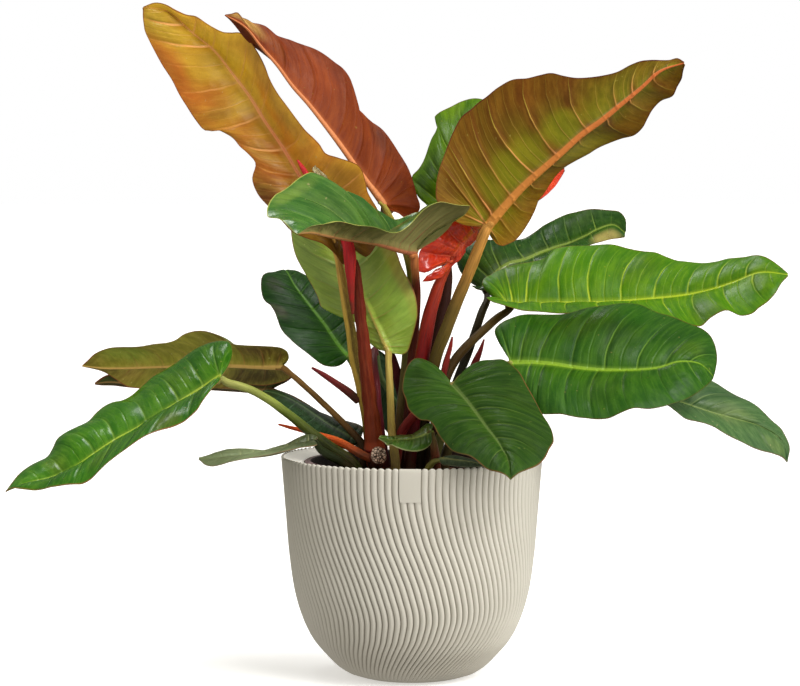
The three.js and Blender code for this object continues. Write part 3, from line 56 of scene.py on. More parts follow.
# ------------------------------------------------------------------ shape data
# Blades (millimetres): midrib from the stalk to the tip, both edges from the notch to the tip,
# the side-vein count that has gone by at each row of the left and right edge.
LEAVES = {
 'leaf_01': dict(share=0.220, bulge=0.100, ridge=2.60, _n=np.array([-0.298,-0.954,-0.031]),
  mid=[[-79.1,5.0,431.3],[-92.2,8.2,457.3],[-108.1,12.3,481.6],[-123.0,17.4,506.4],[-139.2,23.4,530.0],[-154.5,29.9,554.2],[-171.8,36.8,576.8],[-189.8,42.4,599.2],[-212.2,47.7,617.4],[-233.4,53.6,636.7],[-260.3,60.0,642.7]],
  left=[[-77.2,5.0,431.3],[-69.6,-0.6,420.4],[-63.6,-6.2,408.3],[-65.2,-11.6,394.8],[-73.3,-12.0,405.1],[-85.0,-12.0,414.8],[-99.6,-10.8,419.8],[-113.9,-9.3,426.2],[-124.8,-7.9,437.7],[-135.7,-6.3,449.3],[-146.4,-3.2,461.3],[-152.2,2.3,476.1],[-149.1,5.4,490.5],[-156.2,7.7,499.9],[-164.2,10.0,506.9],[-170.8,12.2,514.6],[-178.8,14.2,519.7],[-187.7,16.2,523.2],[-198.7,18.3,523.4],[-207.5,21.1,533.0],[-215.8,24.5,545.2],[-223.9,28.4,557.7],[-231.1,32.8,571.5],[-240.4,37.9,585.4],[-248.3,43.1,599.2],[-254.4,47.7,610.6],[-258.5,51.2,619.2],[-260.0,54.2,627.0],[-260.7,56.2,632.1],[-261.1,57.6,635.8],[-261.2,58.8,638.8],[-261.3,59.7,640.9],[-261.3,60.0,641.7]],
  right=[[-77.2,3.0,433.2],[-59.4,-2.2,417.4],[-43.6,-8.0,403.0],[-32.8,-17.5,416.6],[-29.3,-24.2,432.7],[-31.7,-29.1,446.5],[-37.2,-31.6,456.1],[-41.6,-32.8,464.7],[-43.8,-33.5,475.2],[-49.9,-34.0,489.2],[-68.7,-29.0,496.5],[-80.7,-22.7,500.4],[-87.0,-20.7,508.8],[-93.4,-19.0,515.3],[-100.6,-16.9,522.1],[-108.3,-14.2,532.2],[-117.0,-10.8,544.3],[-126.5,-7.0,556.9],[-134.5,-2.7,570.1],[-140.4,1.9,584.2],[-147.7,6.9,597.8],[-155.9,11.2,609.2],[-164.3,16.0,615.6],[-173.0,21.4,616.0],[-181.6,25.6,616.9],[-190.0,29.6,621.2],[-198.9,33.0,626.8],[-208.1,36.7,632.4],[-218.2,41.8,634.4],[-228.2,45.8,639.2],[-237.9,50.3,644.7],[-248.8,55.4,646.7],[-259.8,60.0,643.2]],
  wl=[0.00,0.01,0.05,0.11,0.18,0.28,0.41,0.54,0.70,0.88,1.10,1.57,2.06,2.48,2.87,3.20,3.49,3.76,4.04,4.35,4.66,4.95,5.21,5.45,5.68,5.95,6.28,6.68,7.02,7.31,7.57,7.80,8.00],
  wr=[0.00,0.20,0.40,0.62,0.84,1.07,1.28,1.51,1.78,2.16,2.82,3.21,3.47,3.69,3.91,4.16,4.43,4.69,4.97,5.28,5.60,5.92,6.20,6.45,6.72,7.05,7.57,8.01,8.31,8.57,8.80,8.94,9.00]),
 'leaf_02': dict(share=0.220, bulge=0.120, ridge=2.40, _n=np.array([0.582,0.624,0.521]),
  mid=[[-27.5,6.0,451.3],[-41.4,2.9,470.4],[-55.2,-1.6,489.2],[-68.7,-5.7,508.3],[-82.9,-7.5,527.2],[-97.5,-8.0,546.0],[-113.2,-8.0,563.8],[-127.1,-7.0,583.0],[-142.6,-5.0,600.9],[-157.4,-2.7,619.3],[-177.4,0.0,631.5]],
  left=[[-25.7,10.0,449.4],[-20.4,13.6,445.8],[-13.5,18.3,443.1],[-6.1,23.3,438.3],[2.5,28.2,439.4],[8.0,32.3,448.9],[4.4,34.9,460.4],[0.4,36.0,474.7],[-6.8,36.0,493.3],[-25.6,32.7,521.2],[-38.3,30.3,531.6],[-46.9,28.2,539.6],[-54.9,26.3,547.3],[-56.6,24.8,559.8],[-59.5,22.7,571.5],[-65.7,19.7,581.1],[-74.7,17.6,587.8],[-83.6,15.5,594.3],[-92.5,13.1,599.7],[-101.3,11.1,603.3],[-109.0,9.6,606.0],[-115.8,8.4,608.5],[-122.3,7.4,610.3],[-128.5,6.7,612.7],[-133.4,5.7,617.5],[-139.0,4.3,621.4],[-145.6,2.9,623.2],[-151.9,1.6,624.2],[-156.8,0.5,627.6],[-162.2,-0.0,629.6],[-166.1,0.0,633.8],[-171.6,0.0,632.7],[-176.9,0.0,631.9]],
  right=[[-29.5,10.0,450.3],[-29.8,15.6,446.8],[-29.9,21.7,443.3],[-28.5,28.7,441.5],[-26.0,36.1,441.2],[-23.1,43.7,442.1],[-19.5,50.9,444.5],[-16.0,57.7,448.6],[-15.1,63.0,455.5],[-16.8,65.7,464.0],[-20.4,66.7,473.1],[-25.5,66.1,482.2],[-31.6,64.4,490.7],[-38.4,62.1,499.1],[-45.3,60.2,507.6],[-52.1,58.3,515.6],[-58.3,56.3,522.8],[-64.4,54.1,529.6],[-70.8,51.9,536.9],[-78.1,49.4,545.2],[-86.8,46.2,554.5],[-96.3,42.0,563.8],[-105.8,36.5,571.9],[-116.7,30.5,577.8],[-128.2,24.7,583.2],[-137.6,20.0,590.7],[-145.4,16.6,597.7],[-152.1,13.1,604.3],[-157.9,9.2,610.8],[-163.5,6.5,617.1],[-168.7,4.3,622.8],[-173.4,1.9,627.5],[-177.8,0.0,631.0]],
  wl=[0.00,0.17,0.37,0.59,0.83,1.08,1.31,1.61,2.05,3.03,3.44,3.71,3.98,4.29,4.58,4.87,5.15,5.41,5.67,5.92,6.17,6.41,6.64,6.89,7.15,7.45,7.75,8.02,8.25,8.46,8.66,8.84,9.00],
  wr=[0.00,0.02,0.07,0.15,0.26,0.39,0.55,0.71,0.90,1.11,1.46,1.86,2.19,2.49,2.78,3.06,3.32,3.58,3.84,4.13,4.43,4.75,5.04,5.32,5.60,5.85,6.06,6.25,6.44,6.61,6.76,6.89,7.00]),
 'leaf_03': dict(share=0.220, bulge=0.100, ridge=3.20, _n=np.array([-0.031,0.187,0.982]),
  mid=[[1.9,-32.0,407.5],[-9.9,-46.5,409.9],[-21.5,-61.0,413.6],[-32.6,-75.8,417.2],[-43.1,-91.4,419.3],[-53.7,-106.9,421.1],[-63.3,-123.1,422.8],[-72.2,-139.7,424.6],[-80.8,-156.4,426.5],[-90.4,-172.6,428.6],[-101.1,-188.0,427.9]],
  left=[[2.8,-34.0,408.0],[7.7,-35.9,410.6],[13.3,-38.0,414.4],[19.9,-40.3,418.5],[26.8,-42.6,423.8],[33.6,-45.1,430.5],[39.6,-47.7,438.8],[49.4,-49.0,443.8],[54.1,-53.9,450.7],[47.2,-61.5,452.4],[35.1,-68.6,453.4],[25.0,-76.2,455.3],[17.6,-81.9,454.2],[11.6,-87.3,449.8],[5.6,-93.1,443.1],[-1.3,-98.9,436.1],[-9.0,-105.4,431.6],[-16.3,-111.4,429.6],[-23.1,-116.9,429.8],[-29.2,-122.1,430.9],[-35.1,-127.1,432.2],[-40.8,-131.9,433.4],[-46.3,-136.3,434.3],[-51.6,-140.6,435.2],[-57.0,-144.9,436.3],[-62.6,-149.6,437.1],[-68.2,-154.6,437.5],[-74.0,-159.8,437.6],[-79.8,-165.1,437.4],[-86.0,-170.0,436.1],[-92.0,-175.0,434.0],[-97.0,-180.8,430.9],[-100.6,-188.0,428.3]],
  right=[[1.9,-30.0,409.3],[2.9,-29.3,410.0],[5.7,-27.1,411.8],[9.7,-23.8,415.1],[14.2,-19.6,420.2],[17.4,-15.1,428.0],[15.9,-12.1,438.2],[6.7,-13.7,444.7],[-4.1,-18.6,442.0],[-17.0,-27.4,439.4],[-33.7,-36.6,448.8],[-46.8,-47.2,456.6],[-58.1,-58.7,465.4],[-72.4,-69.8,465.1],[-81.0,-80.0,475.8],[-92.8,-91.7,481.8],[-103.6,-104.5,477.2],[-111.8,-115.7,470.2],[-118.4,-124.3,465.5],[-123.2,-129.7,463.0],[-126.3,-133.6,459.7],[-128.4,-137.0,456.7],[-130.0,-140.3,453.5],[-131.0,-144.4,450.0],[-131.1,-149.7,446.1],[-129.7,-155.6,442.6],[-125.2,-161.1,442.1],[-120.2,-166.0,441.8],[-115.9,-170.6,439.6],[-112.2,-174.8,436.1],[-108.7,-179.0,432.7],[-105.1,-183.3,429.7],[-101.5,-188.0,427.6]],
  wl=[0.00,0.01,0.05,0.12,0.21,0.33,0.47,0.63,0.82,1.05,1.64,2.18,2.59,2.95,3.27,3.56,3.84,4.12,4.39,4.66,4.92,5.16,5.39,5.61,5.83,6.08,6.37,6.66,6.95,7.22,7.49,7.75,8.00],
  wr=[0.00,0.02,0.07,0.15,0.25,0.39,0.55,0.74,0.95,1.33,1.91,2.28,2.57,2.84,3.09,3.32,3.54,3.75,3.96,4.17,4.37,4.56,4.76,4.98,5.21,5.46,5.71,5.95,6.17,6.39,6.60,6.80,7.00]),
 'leaf_04': dict(share=0.220, bulge=0.060, ridge=2.80, _n=np.array([0.501,-0.842,-0.200]),
  mid=[[37.4,4.0,398.8],[46.7,6.6,411.2],[57.2,11.1,422.0],[68.2,16.6,431.8],[78.7,23.2,441.4],[90.1,30.0,449.7],[102.2,37.3,456.7],[114.6,44.9,462.4],[126.6,52.6,469.0],[138.1,60.3,476.5],[149.0,68.0,484.8]],
  left=[[34.5,2.0,398.9],[32.6,0.6,397.8],[29.3,-1.9,396.0],[24.4,-5.2,394.1],[18.6,-9.3,391.5],[12.0,-13.1,387.4],[4.7,-14.2,390.1],[5.9,-11.9,399.8],[8.4,-9.6,409.7],[21.5,-8.0,418.2],[33.3,-4.0,427.5],[39.6,-1.8,436.7],[45.5,0.6,444.2],[51.2,3.0,449.6],[56.3,5.1,453.2],[60.6,6.9,456.0],[64.7,8.8,458.4],[68.9,10.9,460.9],[73.7,13.6,463.5],[78.7,16.5,466.1],[83.8,19.6,468.6],[89.0,22.9,471.0],[94.4,26.2,473.3],[99.8,29.7,475.4],[105.3,33.2,477.5],[110.8,36.9,479.4],[116.4,40.7,481.2],[122.1,44.5,482.9],[127.7,48.6,484.3],[133.2,53.2,485.7],[138.5,58.0,486.8],[143.9,63.0,487.2],[149.5,68.0,486.3]],
  right=[[38.4,6.0,396.9],[31.5,3.6,391.3],[24.5,0.6,386.5],[17.2,-2.7,382.4],[9.7,-5.9,378.8],[17.9,-4.1,379.0],[25.3,-0.8,382.2],[31.8,2.3,386.9],[37.7,5.1,392.4],[43.0,7.8,398.4],[47.5,10.5,404.7],[52.4,13.3,410.8],[57.7,16.6,417.0],[62.2,19.6,423.7],[66.8,22.8,428.2],[71.0,25.2,431.2],[74.9,27.2,433.5],[78.7,28.9,435.5],[82.8,30.8,437.4],[87.6,33.2,439.5],[92.9,35.8,441.5],[98.5,38.7,443.5],[104.2,41.6,445.8],[109.9,44.5,448.2],[115.5,47.2,450.7],[120.9,50.0,453.4],[126.1,52.7,456.5],[131.0,55.4,460.1],[135.6,58.0,464.1],[139.9,60.7,468.5],[143.5,63.4,473.5],[146.8,65.9,478.7],[150.0,68.0,484.3]],
  wl=[0.00,0.02,0.08,0.18,0.31,0.46,0.64,0.84,1.07,1.50,1.96,2.34,2.68,2.99,3.25,3.49,3.71,3.93,4.14,4.36,4.57,4.77,4.94,5.08,5.22,5.35,5.47,5.59,5.70,5.79,5.88,5.95,6.00],
  wr=[0.00,0.02,0.09,0.20,0.33,0.49,0.67,0.86,1.06,1.34,1.69,2.04,2.39,2.74,3.03,3.28,3.49,3.70,3.89,4.10,4.31,4.52,4.72,4.90,5.06,5.20,5.34,5.48,5.61,5.72,5.83,5.92,6.00]),
 'leaf_05': dict(share=0.220, bulge=0.100, ridge=4.00, _n=np.array([-0.172,0.953,0.250]),
  mid=[[71.5,-34.0,432.0],[86.9,-36.0,450.4],[103.0,-37.6,468.0],[120.8,-39.8,484.1],[138.8,-42.2,499.8],[156.5,-44.1,515.9],[175.9,-46.7,529.9],[194.3,-49.6,545.1],[212.7,-51.9,560.4],[230.6,-54.3,576.2],[252.7,-56.0,583.8]],
  left=[[73.5,-31.0,431.0],[74.0,-22.5,426.8],[75.4,-14.7,422.6],[77.8,-8.0,417.9],[81.5,-2.4,413.9],[86.6,2.5,412.3],[90.5,6.6,413.4],[94.2,10.3,415.0],[98.6,14.6,417.4],[104.7,20.4,423.3],[113.8,26.1,435.2],[119.8,29.0,446.2],[122.9,31.1,455.1],[128.1,32.0,462.4],[133.5,32.0,471.0],[139.9,32.0,479.6],[147.7,31.4,486.6],[155.7,29.9,491.7],[163.1,28.3,496.2],[170.5,26.5,500.8],[178.4,24.1,506.5],[189.0,20.7,511.5],[200.9,16.5,515.8],[212.3,12.1,518.6],[219.7,7.3,525.5],[223.7,1.9,534.3],[228.3,-4.2,543.3],[236.0,-11.2,550.9],[245.8,-19.5,554.0],[249.5,-28.0,562.2],[252.6,-36.9,569.5],[252.9,-46.4,576.3],[253.6,-56.0,582.0]],
  right=[[69.6,-35.0,432.1],[48.2,-33.2,433.5],[31.7,-28.8,442.6],[22.7,-25.2,456.2],[22.4,-20.5,470.3],[24.9,-18.0,483.0],[28.4,-16.6,493.0],[31.3,-15.7,500.5],[34.3,-14.9,508.7],[39.4,-14.2,521.2],[46.9,-14.0,534.7],[55.5,-14.1,541.6],[60.2,-14.3,546.0],[64.5,-14.6,549.7],[70.7,-15.1,554.1],[80.7,-16.0,562.2],[94.5,-17.7,569.7],[108.3,-19.7,571.0],[119.9,-21.7,573.8],[130.9,-24.0,575.8],[141.9,-26.6,573.2],[153.8,-29.5,571.1],[166.8,-32.5,571.5],[180.0,-35.7,573.3],[192.1,-38.9,576.4],[202.8,-42.2,582.1],[212.7,-44.9,585.9],[220.1,-46.6,586.8],[226.1,-48.2,587.0],[232.5,-50.0,586.8],[239.5,-52.0,587.0],[246.6,-54.1,588.5],[253.1,-56.0,584.8]],
  wl=[0.00,0.19,0.40,0.61,0.84,1.07,1.31,1.55,1.84,2.22,2.73,3.17,3.52,3.85,4.20,4.55,4.89,5.20,5.48,5.75,6.05,6.37,6.70,7.04,7.39,7.75,8.10,8.45,8.80,9.12,9.43,9.72,10.00],
  wr=[0.00,0.36,0.71,1.07,1.41,1.77,2.14,2.56,2.98,3.37,3.74,4.09,4.41,4.71,5.03,5.39,5.76,6.08,6.35,6.60,6.85,7.12,7.37,7.64,7.96,8.43,8.95,9.36,9.73,10.08,10.41,10.72,11.00]),
 'leaf_06': dict(share=0.220, bulge=0.080, ridge=2.60, _n=np.array([-0.035,-0.949,0.312]),
  mid=[[24.7,56.0,442.0],[28.6,60.0,454.5],[32.2,64.2,467.0],[35.7,68.7,479.5],[39.3,73.4,491.8],[43.4,78.4,503.9],[48.5,83.8,515.5],[54.5,89.9,526.1],[61.6,96.7,535.6],[69.9,104.2,543.6],[79.0,112.0,550.2]],
  left=[[22.8,54.0,442.0],[20.4,54.0,442.7],[17.7,54.0,444.2],[16.0,53.9,447.5],[14.2,54.0,451.5],[10.9,54.4,455.0],[7.1,55.1,458.5],[3.9,56.2,463.0],[1.3,57.6,468.0],[-0.1,59.5,473.7],[1.0,61.7,479.8],[6.4,64.0,485.5],[10.9,66.3,492.8],[14.1,68.8,500.8],[16.7,71.6,508.4],[19.6,74.6,515.8],[23.6,77.7,522.5],[25.2,81.1,529.2],[22.2,84.4,535.5],[26.9,87.4,540.6],[32.9,90.6,544.2],[38.9,93.3,547.4],[44.3,95.4,550.6],[48.9,97.3,552.8],[53.4,99.0,554.3],[57.8,100.7,555.4],[62.1,102.6,555.9],[66.0,104.4,555.7],[69.5,106.3,555.1],[72.4,108.1,554.1],[74.9,109.6,552.9],[76.9,111.0,551.9],[78.5,112.0,551.2]],
  right=[[26.7,54.0,442.0],[29.2,52.5,442.6],[32.2,50.8,443.2],[35.5,49.8,444.6],[39.0,49.4,446.7],[42.6,49.6,449.2],[46.3,50.0,452.0],[49.9,50.9,455.2],[53.4,52.1,458.6],[56.8,53.6,462.3],[60.1,55.3,466.5],[63.5,57.5,471.4],[66.6,59.9,476.9],[69.3,62.5,482.7],[71.6,65.1,488.5],[73.7,67.9,494.4],[75.4,71.1,500.4],[76.7,74.4,506.3],[77.9,77.8,511.9],[78.7,81.2,517.1],[79.4,84.7,522.1],[80.0,88.5,527.1],[80.6,92.2,531.8],[81.2,95.8,535.8],[81.6,98.9,539.2],[81.6,101.4,541.5],[81.5,103.5,543.3],[81.1,105.7,544.9],[80.6,107.7,546.3],[80.1,109.4,547.5],[79.8,110.8,548.4],[79.6,111.7,549.0],[79.5,112.0,549.2]],
  wl=[0.00,0.03,0.08,0.16,0.26,0.38,0.51,0.65,0.80,0.96,1.13,1.37,1.64,1.91,2.13,2.35,2.55,2.76,2.97,3.19,3.43,3.66,3.87,4.04,4.19,4.33,4.46,4.59,4.70,4.80,4.89,4.95,5.00],
  wr=[0.00,0.04,0.10,0.19,0.29,0.40,0.53,0.66,0.81,0.96,1.13,1.34,1.59,1.83,2.05,2.25,2.45,2.65,2.84,3.02,3.20,3.37,3.54,3.71,3.87,4.03,4.18,4.32,4.47,4.61,4.74,4.87,5.00]),
 'leaf_07': dict(share=0.220, bulge=0.080, ridge=2.80, _n=np.array([-0.413,-0.755,0.509]),
  mid=[[73.4,111.0,365.6],[83.1,116.0,380.9],[97.3,122.3,391.2],[114.0,129.9,395.3],[129.1,139.4,401.3],[144.7,148.7,406.5],[160.7,157.5,411.1],[176.3,165.8,417.6],[191.3,174.4,425.3],[206.8,184.1,429.0],[219.5,195.0,420.5]],
  left=[[71.4,113.0,366.5],[70.5,113.5,366.9],[67.9,115.1,367.8],[63.8,117.4,369.7],[58.9,120.5,372.7],[53.4,123.7,377.4],[48.2,126.1,384.0],[45.4,128.7,392.8],[46.4,131.5,402.3],[53.4,134.8,410.4],[70.3,137.2,414.9],[82.1,138.9,414.5],[88.6,139.9,414.2],[93.7,140.7,414.2],[98.7,141.5,414.2],[105.2,142.7,414.5],[112.7,144.9,415.4],[120.1,147.8,418.8],[126.9,150.6,423.5],[133.2,153.0,428.5],[140.3,155.5,432.4],[147.3,158.1,436.0],[154.0,160.7,439.3],[160.2,163.1,441.5],[166.1,165.3,442.7],[171.8,167.6,443.7],[178.2,170.2,444.9],[185.6,173.3,445.4],[193.9,177.0,444.8],[203.1,180.9,444.0],[212.8,185.3,442.5],[219.5,190.0,434.7],[220.5,195.0,423.6]],
  right=[[74.2,107.0,364.8],[73.9,106.5,364.9],[72.9,105.2,365.1],[71.4,103.1,365.4],[68.9,101.0,366.1],[65.4,102.2,367.4],[61.4,102.6,369.4],[60.1,100.0,370.0],[64.1,98.4,367.0],[69.5,97.8,365.5],[77.7,98.4,365.5],[87.3,99.7,367.0],[96.5,101.5,369.8],[104.6,103.4,372.4],[112.5,105.6,374.9],[120.3,108.0,377.5],[127.7,110.9,380.8],[135.0,114.2,384.6],[142.4,117.6,388.7],[149.8,120.3,393.2],[156.9,122.9,397.7],[163.3,126.8,401.4],[168.8,131.8,404.4],[173.9,137.0,406.9],[179.1,142.3,409.1],[184.3,147.7,411.0],[189.6,153.5,412.5],[194.8,159.5,413.6],[200.0,165.8,414.4],[205.0,172.3,414.9],[209.8,179.0,415.1],[214.4,185.9,415.5],[218.8,193.0,416.0]],
  wl=[0.00,0.02,0.06,0.13,0.23,0.36,0.51,0.68,0.87,1.13,1.69,2.12,2.39,2.62,2.84,3.09,3.34,3.59,3.85,4.12,4.40,4.70,4.97,5.22,5.46,5.68,5.90,6.10,6.30,6.49,6.67,6.84,7.00],
  wr=[0.00,0.02,0.07,0.16,0.27,0.41,0.56,0.72,0.89,1.08,1.34,1.65,1.95,2.22,2.49,2.74,2.98,3.22,3.44,3.66,3.88,4.09,4.30,4.52,4.72,4.92,5.09,5.26,5.43,5.58,5.73,5.87,6.00]),
 'leaf_08': dict(share=0.220, bulge=0.100, ridge=2.80, _n=np.array([0.033,-0.490,0.871]),
  mid=[[94.3,62.0,353.0],[122.2,63.6,352.9],[150.1,65.1,353.8],[178.0,66.2,354.1],[205.8,66.9,355.8],[233.6,67.0,358.5],[261.4,66.8,361.4],[288.7,64.4,366.7],[314.7,60.1,375.4],[339.3,52.4,385.0],[365.1,42.0,383.1]],
  left=[[92.4,63.0,353.9],[84.2,65.2,356.9],[77.4,68.3,361.8],[71.9,72.1,367.6],[69.7,77.4,374.1],[73.3,82.8,379.3],[78.3,86.0,381.4],[84.2,89.6,385.1],[103.5,98.0,391.5],[131.2,103.7,396.8],[141.2,105.1,405.4],[150.8,105.9,408.2],[162.2,106.4,410.0],[173.5,106.8,410.8],[185.3,107.0,411.0],[199.5,106.7,410.5],[215.1,105.8,406.4],[229.4,104.7,404.1],[241.9,102.8,403.0],[252.7,100.4,398.5],[262.9,98.5,395.3],[272.4,96.9,395.1],[281.2,94.9,394.3],[290.7,92.1,393.1],[302.0,88.5,394.0],[312.5,84.6,397.6],[321.6,80.8,399.6],[329.1,77.2,400.3],[336.5,73.0,400.9],[344.6,67.3,399.7],[352.1,60.6,395.8],[359.0,52.8,390.5],[365.4,44.0,384.5]],
  right=[[93.1,56.0,351.3],[86.9,48.3,355.5],[80.2,41.6,359.3],[74.3,34.3,362.0],[72.1,26.0,361.5],[77.3,20.7,357.2],[83.8,18.0,354.6],[90.3,15.8,352.9],[97.9,13.7,351.9],[107.9,11.6,350.7],[120.3,9.8,349.6],[131.5,9.4,348.7],[142.0,9.1,348.1],[153.1,9.0,347.9],[164.9,9.1,347.8],[177.2,9.5,347.9],[190.5,10.0,347.8],[204.7,10.7,346.4],[219.1,11.5,344.5],[234.3,12.3,341.8],[249.3,12.9,338.8],[261.5,13.6,337.0],[270.4,14.3,335.2],[278.8,15.6,335.4],[287.7,17.1,343.8],[302.3,18.5,350.3],[315.8,19.6,344.0],[327.4,21.0,345.7],[335.3,23.0,352.0],[343.9,25.7,358.1],[351.6,29.5,366.1],[357.6,34.7,375.1],[365.4,41.0,382.2]],
  wl=[0.00,0.16,0.35,0.57,0.82,1.08,1.31,1.64,2.46,3.32,3.61,3.83,4.14,4.51,4.89,5.27,5.66,6.03,6.37,6.70,7.03,7.36,7.70,8.05,8.42,8.80,9.19,9.58,9.94,10.25,10.53,10.78,11.00],
  wr=[0.00,0.19,0.39,0.61,0.84,1.07,1.31,1.57,1.88,2.29,2.82,3.29,3.72,4.12,4.50,4.86,5.24,5.62,6.00,6.38,6.75,7.11,7.47,7.84,8.21,8.59,8.97,9.35,9.71,10.06,10.39,10.70,11.00]),
 'leaf_09': dict(share=0.220, bulge=0.100, ridge=3.20, _n=np.array([-0.122,-0.742,0.659]),
  mid=[[93.0,-46.0,303.7],[112.6,-48.7,304.3],[132.2,-51.0,302.9],[151.7,-53.0,300.1],[171.3,-54.6,298.1],[191.1,-55.7,297.6],[210.9,-55.9,298.1],[230.6,-55.3,300.1],[249.5,-53.7,305.6],[268.8,-51.2,303.5],[283.1,-48.0,290.6]],
  left=[[92.1,-45.0,305.5],[89.0,-41.1,312.5],[84.6,-36.7,319.0],[80.1,-31.5,325.5],[78.7,-26.6,333.5],[85.3,-23.0,339.6],[94.2,-20.2,343.4],[103.9,-17.5,346.9],[115.1,-15.1,348.6],[129.2,-13.2,349.1],[143.4,-12.1,348.5],[153.7,-11.6,349.1],[161.8,-11.2,350.7],[169.2,-10.9,352.2],[177.3,-10.6,353.4],[186.7,-10.2,355.0],[197.1,-10.0,357.6],[208.1,-10.2,358.4],[218.5,-10.7,357.0],[227.2,-11.4,352.8],[235.5,-12.3,349.1],[244.1,-13.6,346.7],[252.3,-15.2,343.7],[260.1,-17.2,340.3],[267.8,-19.8,337.5],[275.4,-22.6,334.3],[281.9,-25.9,328.8],[285.9,-29.5,320.9],[287.5,-33.2,312.8],[287.5,-36.8,306.0],[286.3,-40.3,300.1],[284.9,-44.2,295.3],[283.6,-48.0,291.6]],
  right=[[92.9,-48.0,301.9],[89.9,-52.5,299.2],[87.5,-57.2,296.0],[86.0,-62.1,292.5],[85.8,-66.8,288.3],[86.9,-70.7,283.3],[89.3,-74.2,278.2],[93.1,-77.3,273.5],[97.7,-79.8,269.2],[103.0,-81.8,265.6],[108.7,-83.3,262.7],[114.5,-85.0,260.4],[121.6,-86.9,258.8],[129.8,-88.6,258.8],[138.1,-90.2,258.9],[146.0,-91.5,257.4],[153.5,-92.7,256.5],[161.4,-94.0,256.1],[170.8,-95.0,255.3],[181.9,-94.3,256.0],[193.0,-92.6,260.5],[204.6,-91.1,264.2],[218.1,-89.2,263.3],[231.4,-85.8,265.5],[243.1,-82.0,269.0],[253.0,-78.4,272.0],[261.6,-74.3,275.7],[268.4,-69.7,279.4],[273.1,-64.7,282.1],[276.4,-60.2,284.4],[279.2,-56.1,286.4],[281.1,-52.6,288.1],[282.4,-50.0,289.3]],
  wl=[0.00,0.17,0.37,0.59,0.83,1.08,1.35,1.66,2.00,2.45,2.91,3.22,3.47,3.69,3.92,4.17,4.43,4.70,4.96,5.23,5.49,5.76,6.04,6.32,6.62,6.92,7.23,7.57,7.89,8.19,8.47,8.75,9.00],
  wr=[0.00,0.21,0.43,0.64,0.85,1.06,1.24,1.42,1.61,1.86,2.29,2.93,3.30,3.58,3.84,4.14,4.48,4.82,5.16,5.49,5.81,6.11,6.39,6.66,6.93,7.20,7.47,7.73,8.00,8.25,8.51,8.76,9.00]),
 'leaf_10': dict(share=0.220, bulge=0.100, ridge=3.40, _n=np.array([-0.078,-0.703,0.707]),
  mid=[[37.0,-74.0,285.6],[44.5,-82.4,278.0],[51.5,-91.7,270.9],[57.5,-101.3,263.6],[63.4,-110.9,256.0],[69.5,-120.2,248.2],[75.8,-129.5,240.6],[81.1,-139.2,232.7],[85.6,-149.1,224.7],[87.5,-159.6,216.3],[88.2,-170.0,207.6]],
  left=[[38.9,-74.0,287.0],[47.0,-71.2,295.9],[55.3,-66.5,302.6],[65.0,-63.4,306.5],[75.1,-62.0,307.6],[84.4,-63.2,308.5],[90.9,-66.4,305.5],[95.7,-70.2,300.9],[100.4,-75.4,294.6],[105.6,-84.0,284.3],[112.6,-94.5,273.5],[117.9,-102.9,265.3],[121.5,-109.3,259.5],[124.2,-114.9,254.6],[126.0,-119.7,250.3],[127.4,-123.6,246.6],[128.3,-126.8,243.5],[128.8,-129.8,240.6],[128.5,-132.9,237.8],[126.6,-136.4,235.1],[124.2,-140.0,231.9],[122.1,-143.6,228.1],[119.5,-147.4,224.2],[115.3,-151.3,220.3],[110.0,-155.4,217.5],[105.4,-158.6,216.1],[101.9,-160.9,215.0],[98.5,-163.1,214.1],[95.4,-165.1,212.9],[93.0,-166.9,211.4],[91.1,-168.4,210.1],[89.8,-169.4,209.1],[89.1,-170.0,208.5]],
  right=[[35.2,-73.0,286.4],[29.8,-67.1,291.8],[25.1,-61.6,297.9],[19.0,-57.5,303.6],[11.4,-55.3,307.9],[2.9,-55.6,308.6],[-2.9,-59.1,303.3],[-6.0,-63.1,296.7],[-7.7,-67.4,290.0],[-8.6,-71.7,284.0],[-8.1,-76.1,278.2],[-5.4,-81.1,271.9],[-3.4,-86.7,263.9],[2.2,-92.6,258.1],[7.7,-98.7,254.8],[14.5,-103.3,254.5],[19.1,-108.9,251.2],[22.5,-113.6,245.1],[26.4,-119.7,239.4],[31.4,-125.8,233.6],[36.9,-132.5,228.8],[43.5,-139.3,226.9],[51.5,-145.1,225.8],[58.4,-151.9,222.4],[64.3,-157.3,218.1],[68.9,-160.7,215.6],[72.9,-163.4,214.6],[76.9,-165.5,213.5],[80.6,-166.8,212.1],[83.6,-168.0,210.6],[85.7,-169.0,209.1],[86.8,-169.7,208.0],[87.3,-170.0,207.6]],
  wl=[0.00,0.17,0.37,0.59,0.83,1.08,1.38,1.70,2.03,2.37,2.72,3.04,3.35,3.64,3.91,4.16,4.39,4.61,4.84,5.10,5.40,5.71,6.03,6.38,6.73,7.00,7.21,7.41,7.59,7.75,7.87,7.96,8.00],
  wr=[0.00,0.17,0.37,0.59,0.83,1.08,1.37,1.69,2.03,2.40,2.79,3.17,3.57,3.93,4.22,4.48,4.71,4.95,5.20,5.45,5.70,5.95,6.24,6.54,6.83,7.05,7.24,7.41,7.58,7.72,7.85,7.94,8.00]),
 'leaf_11': dict(share=0.220, bulge=0.100, ridge=3.00, _n=np.array([0.198,-0.507,0.839]),
  mid=[[145.1,-24.0,291.7],[168.7,-22.6,287.0],[192.1,-21.3,281.6],[215.3,-20.1,275.5],[238.5,-18.9,269.4],[261.4,-17.6,262.1],[284.2,-16.3,254.6],[307.4,-14.8,248.4],[330.5,-14.0,241.7],[350.4,-14.0,229.1],[357.4,-16.0,206.5]],
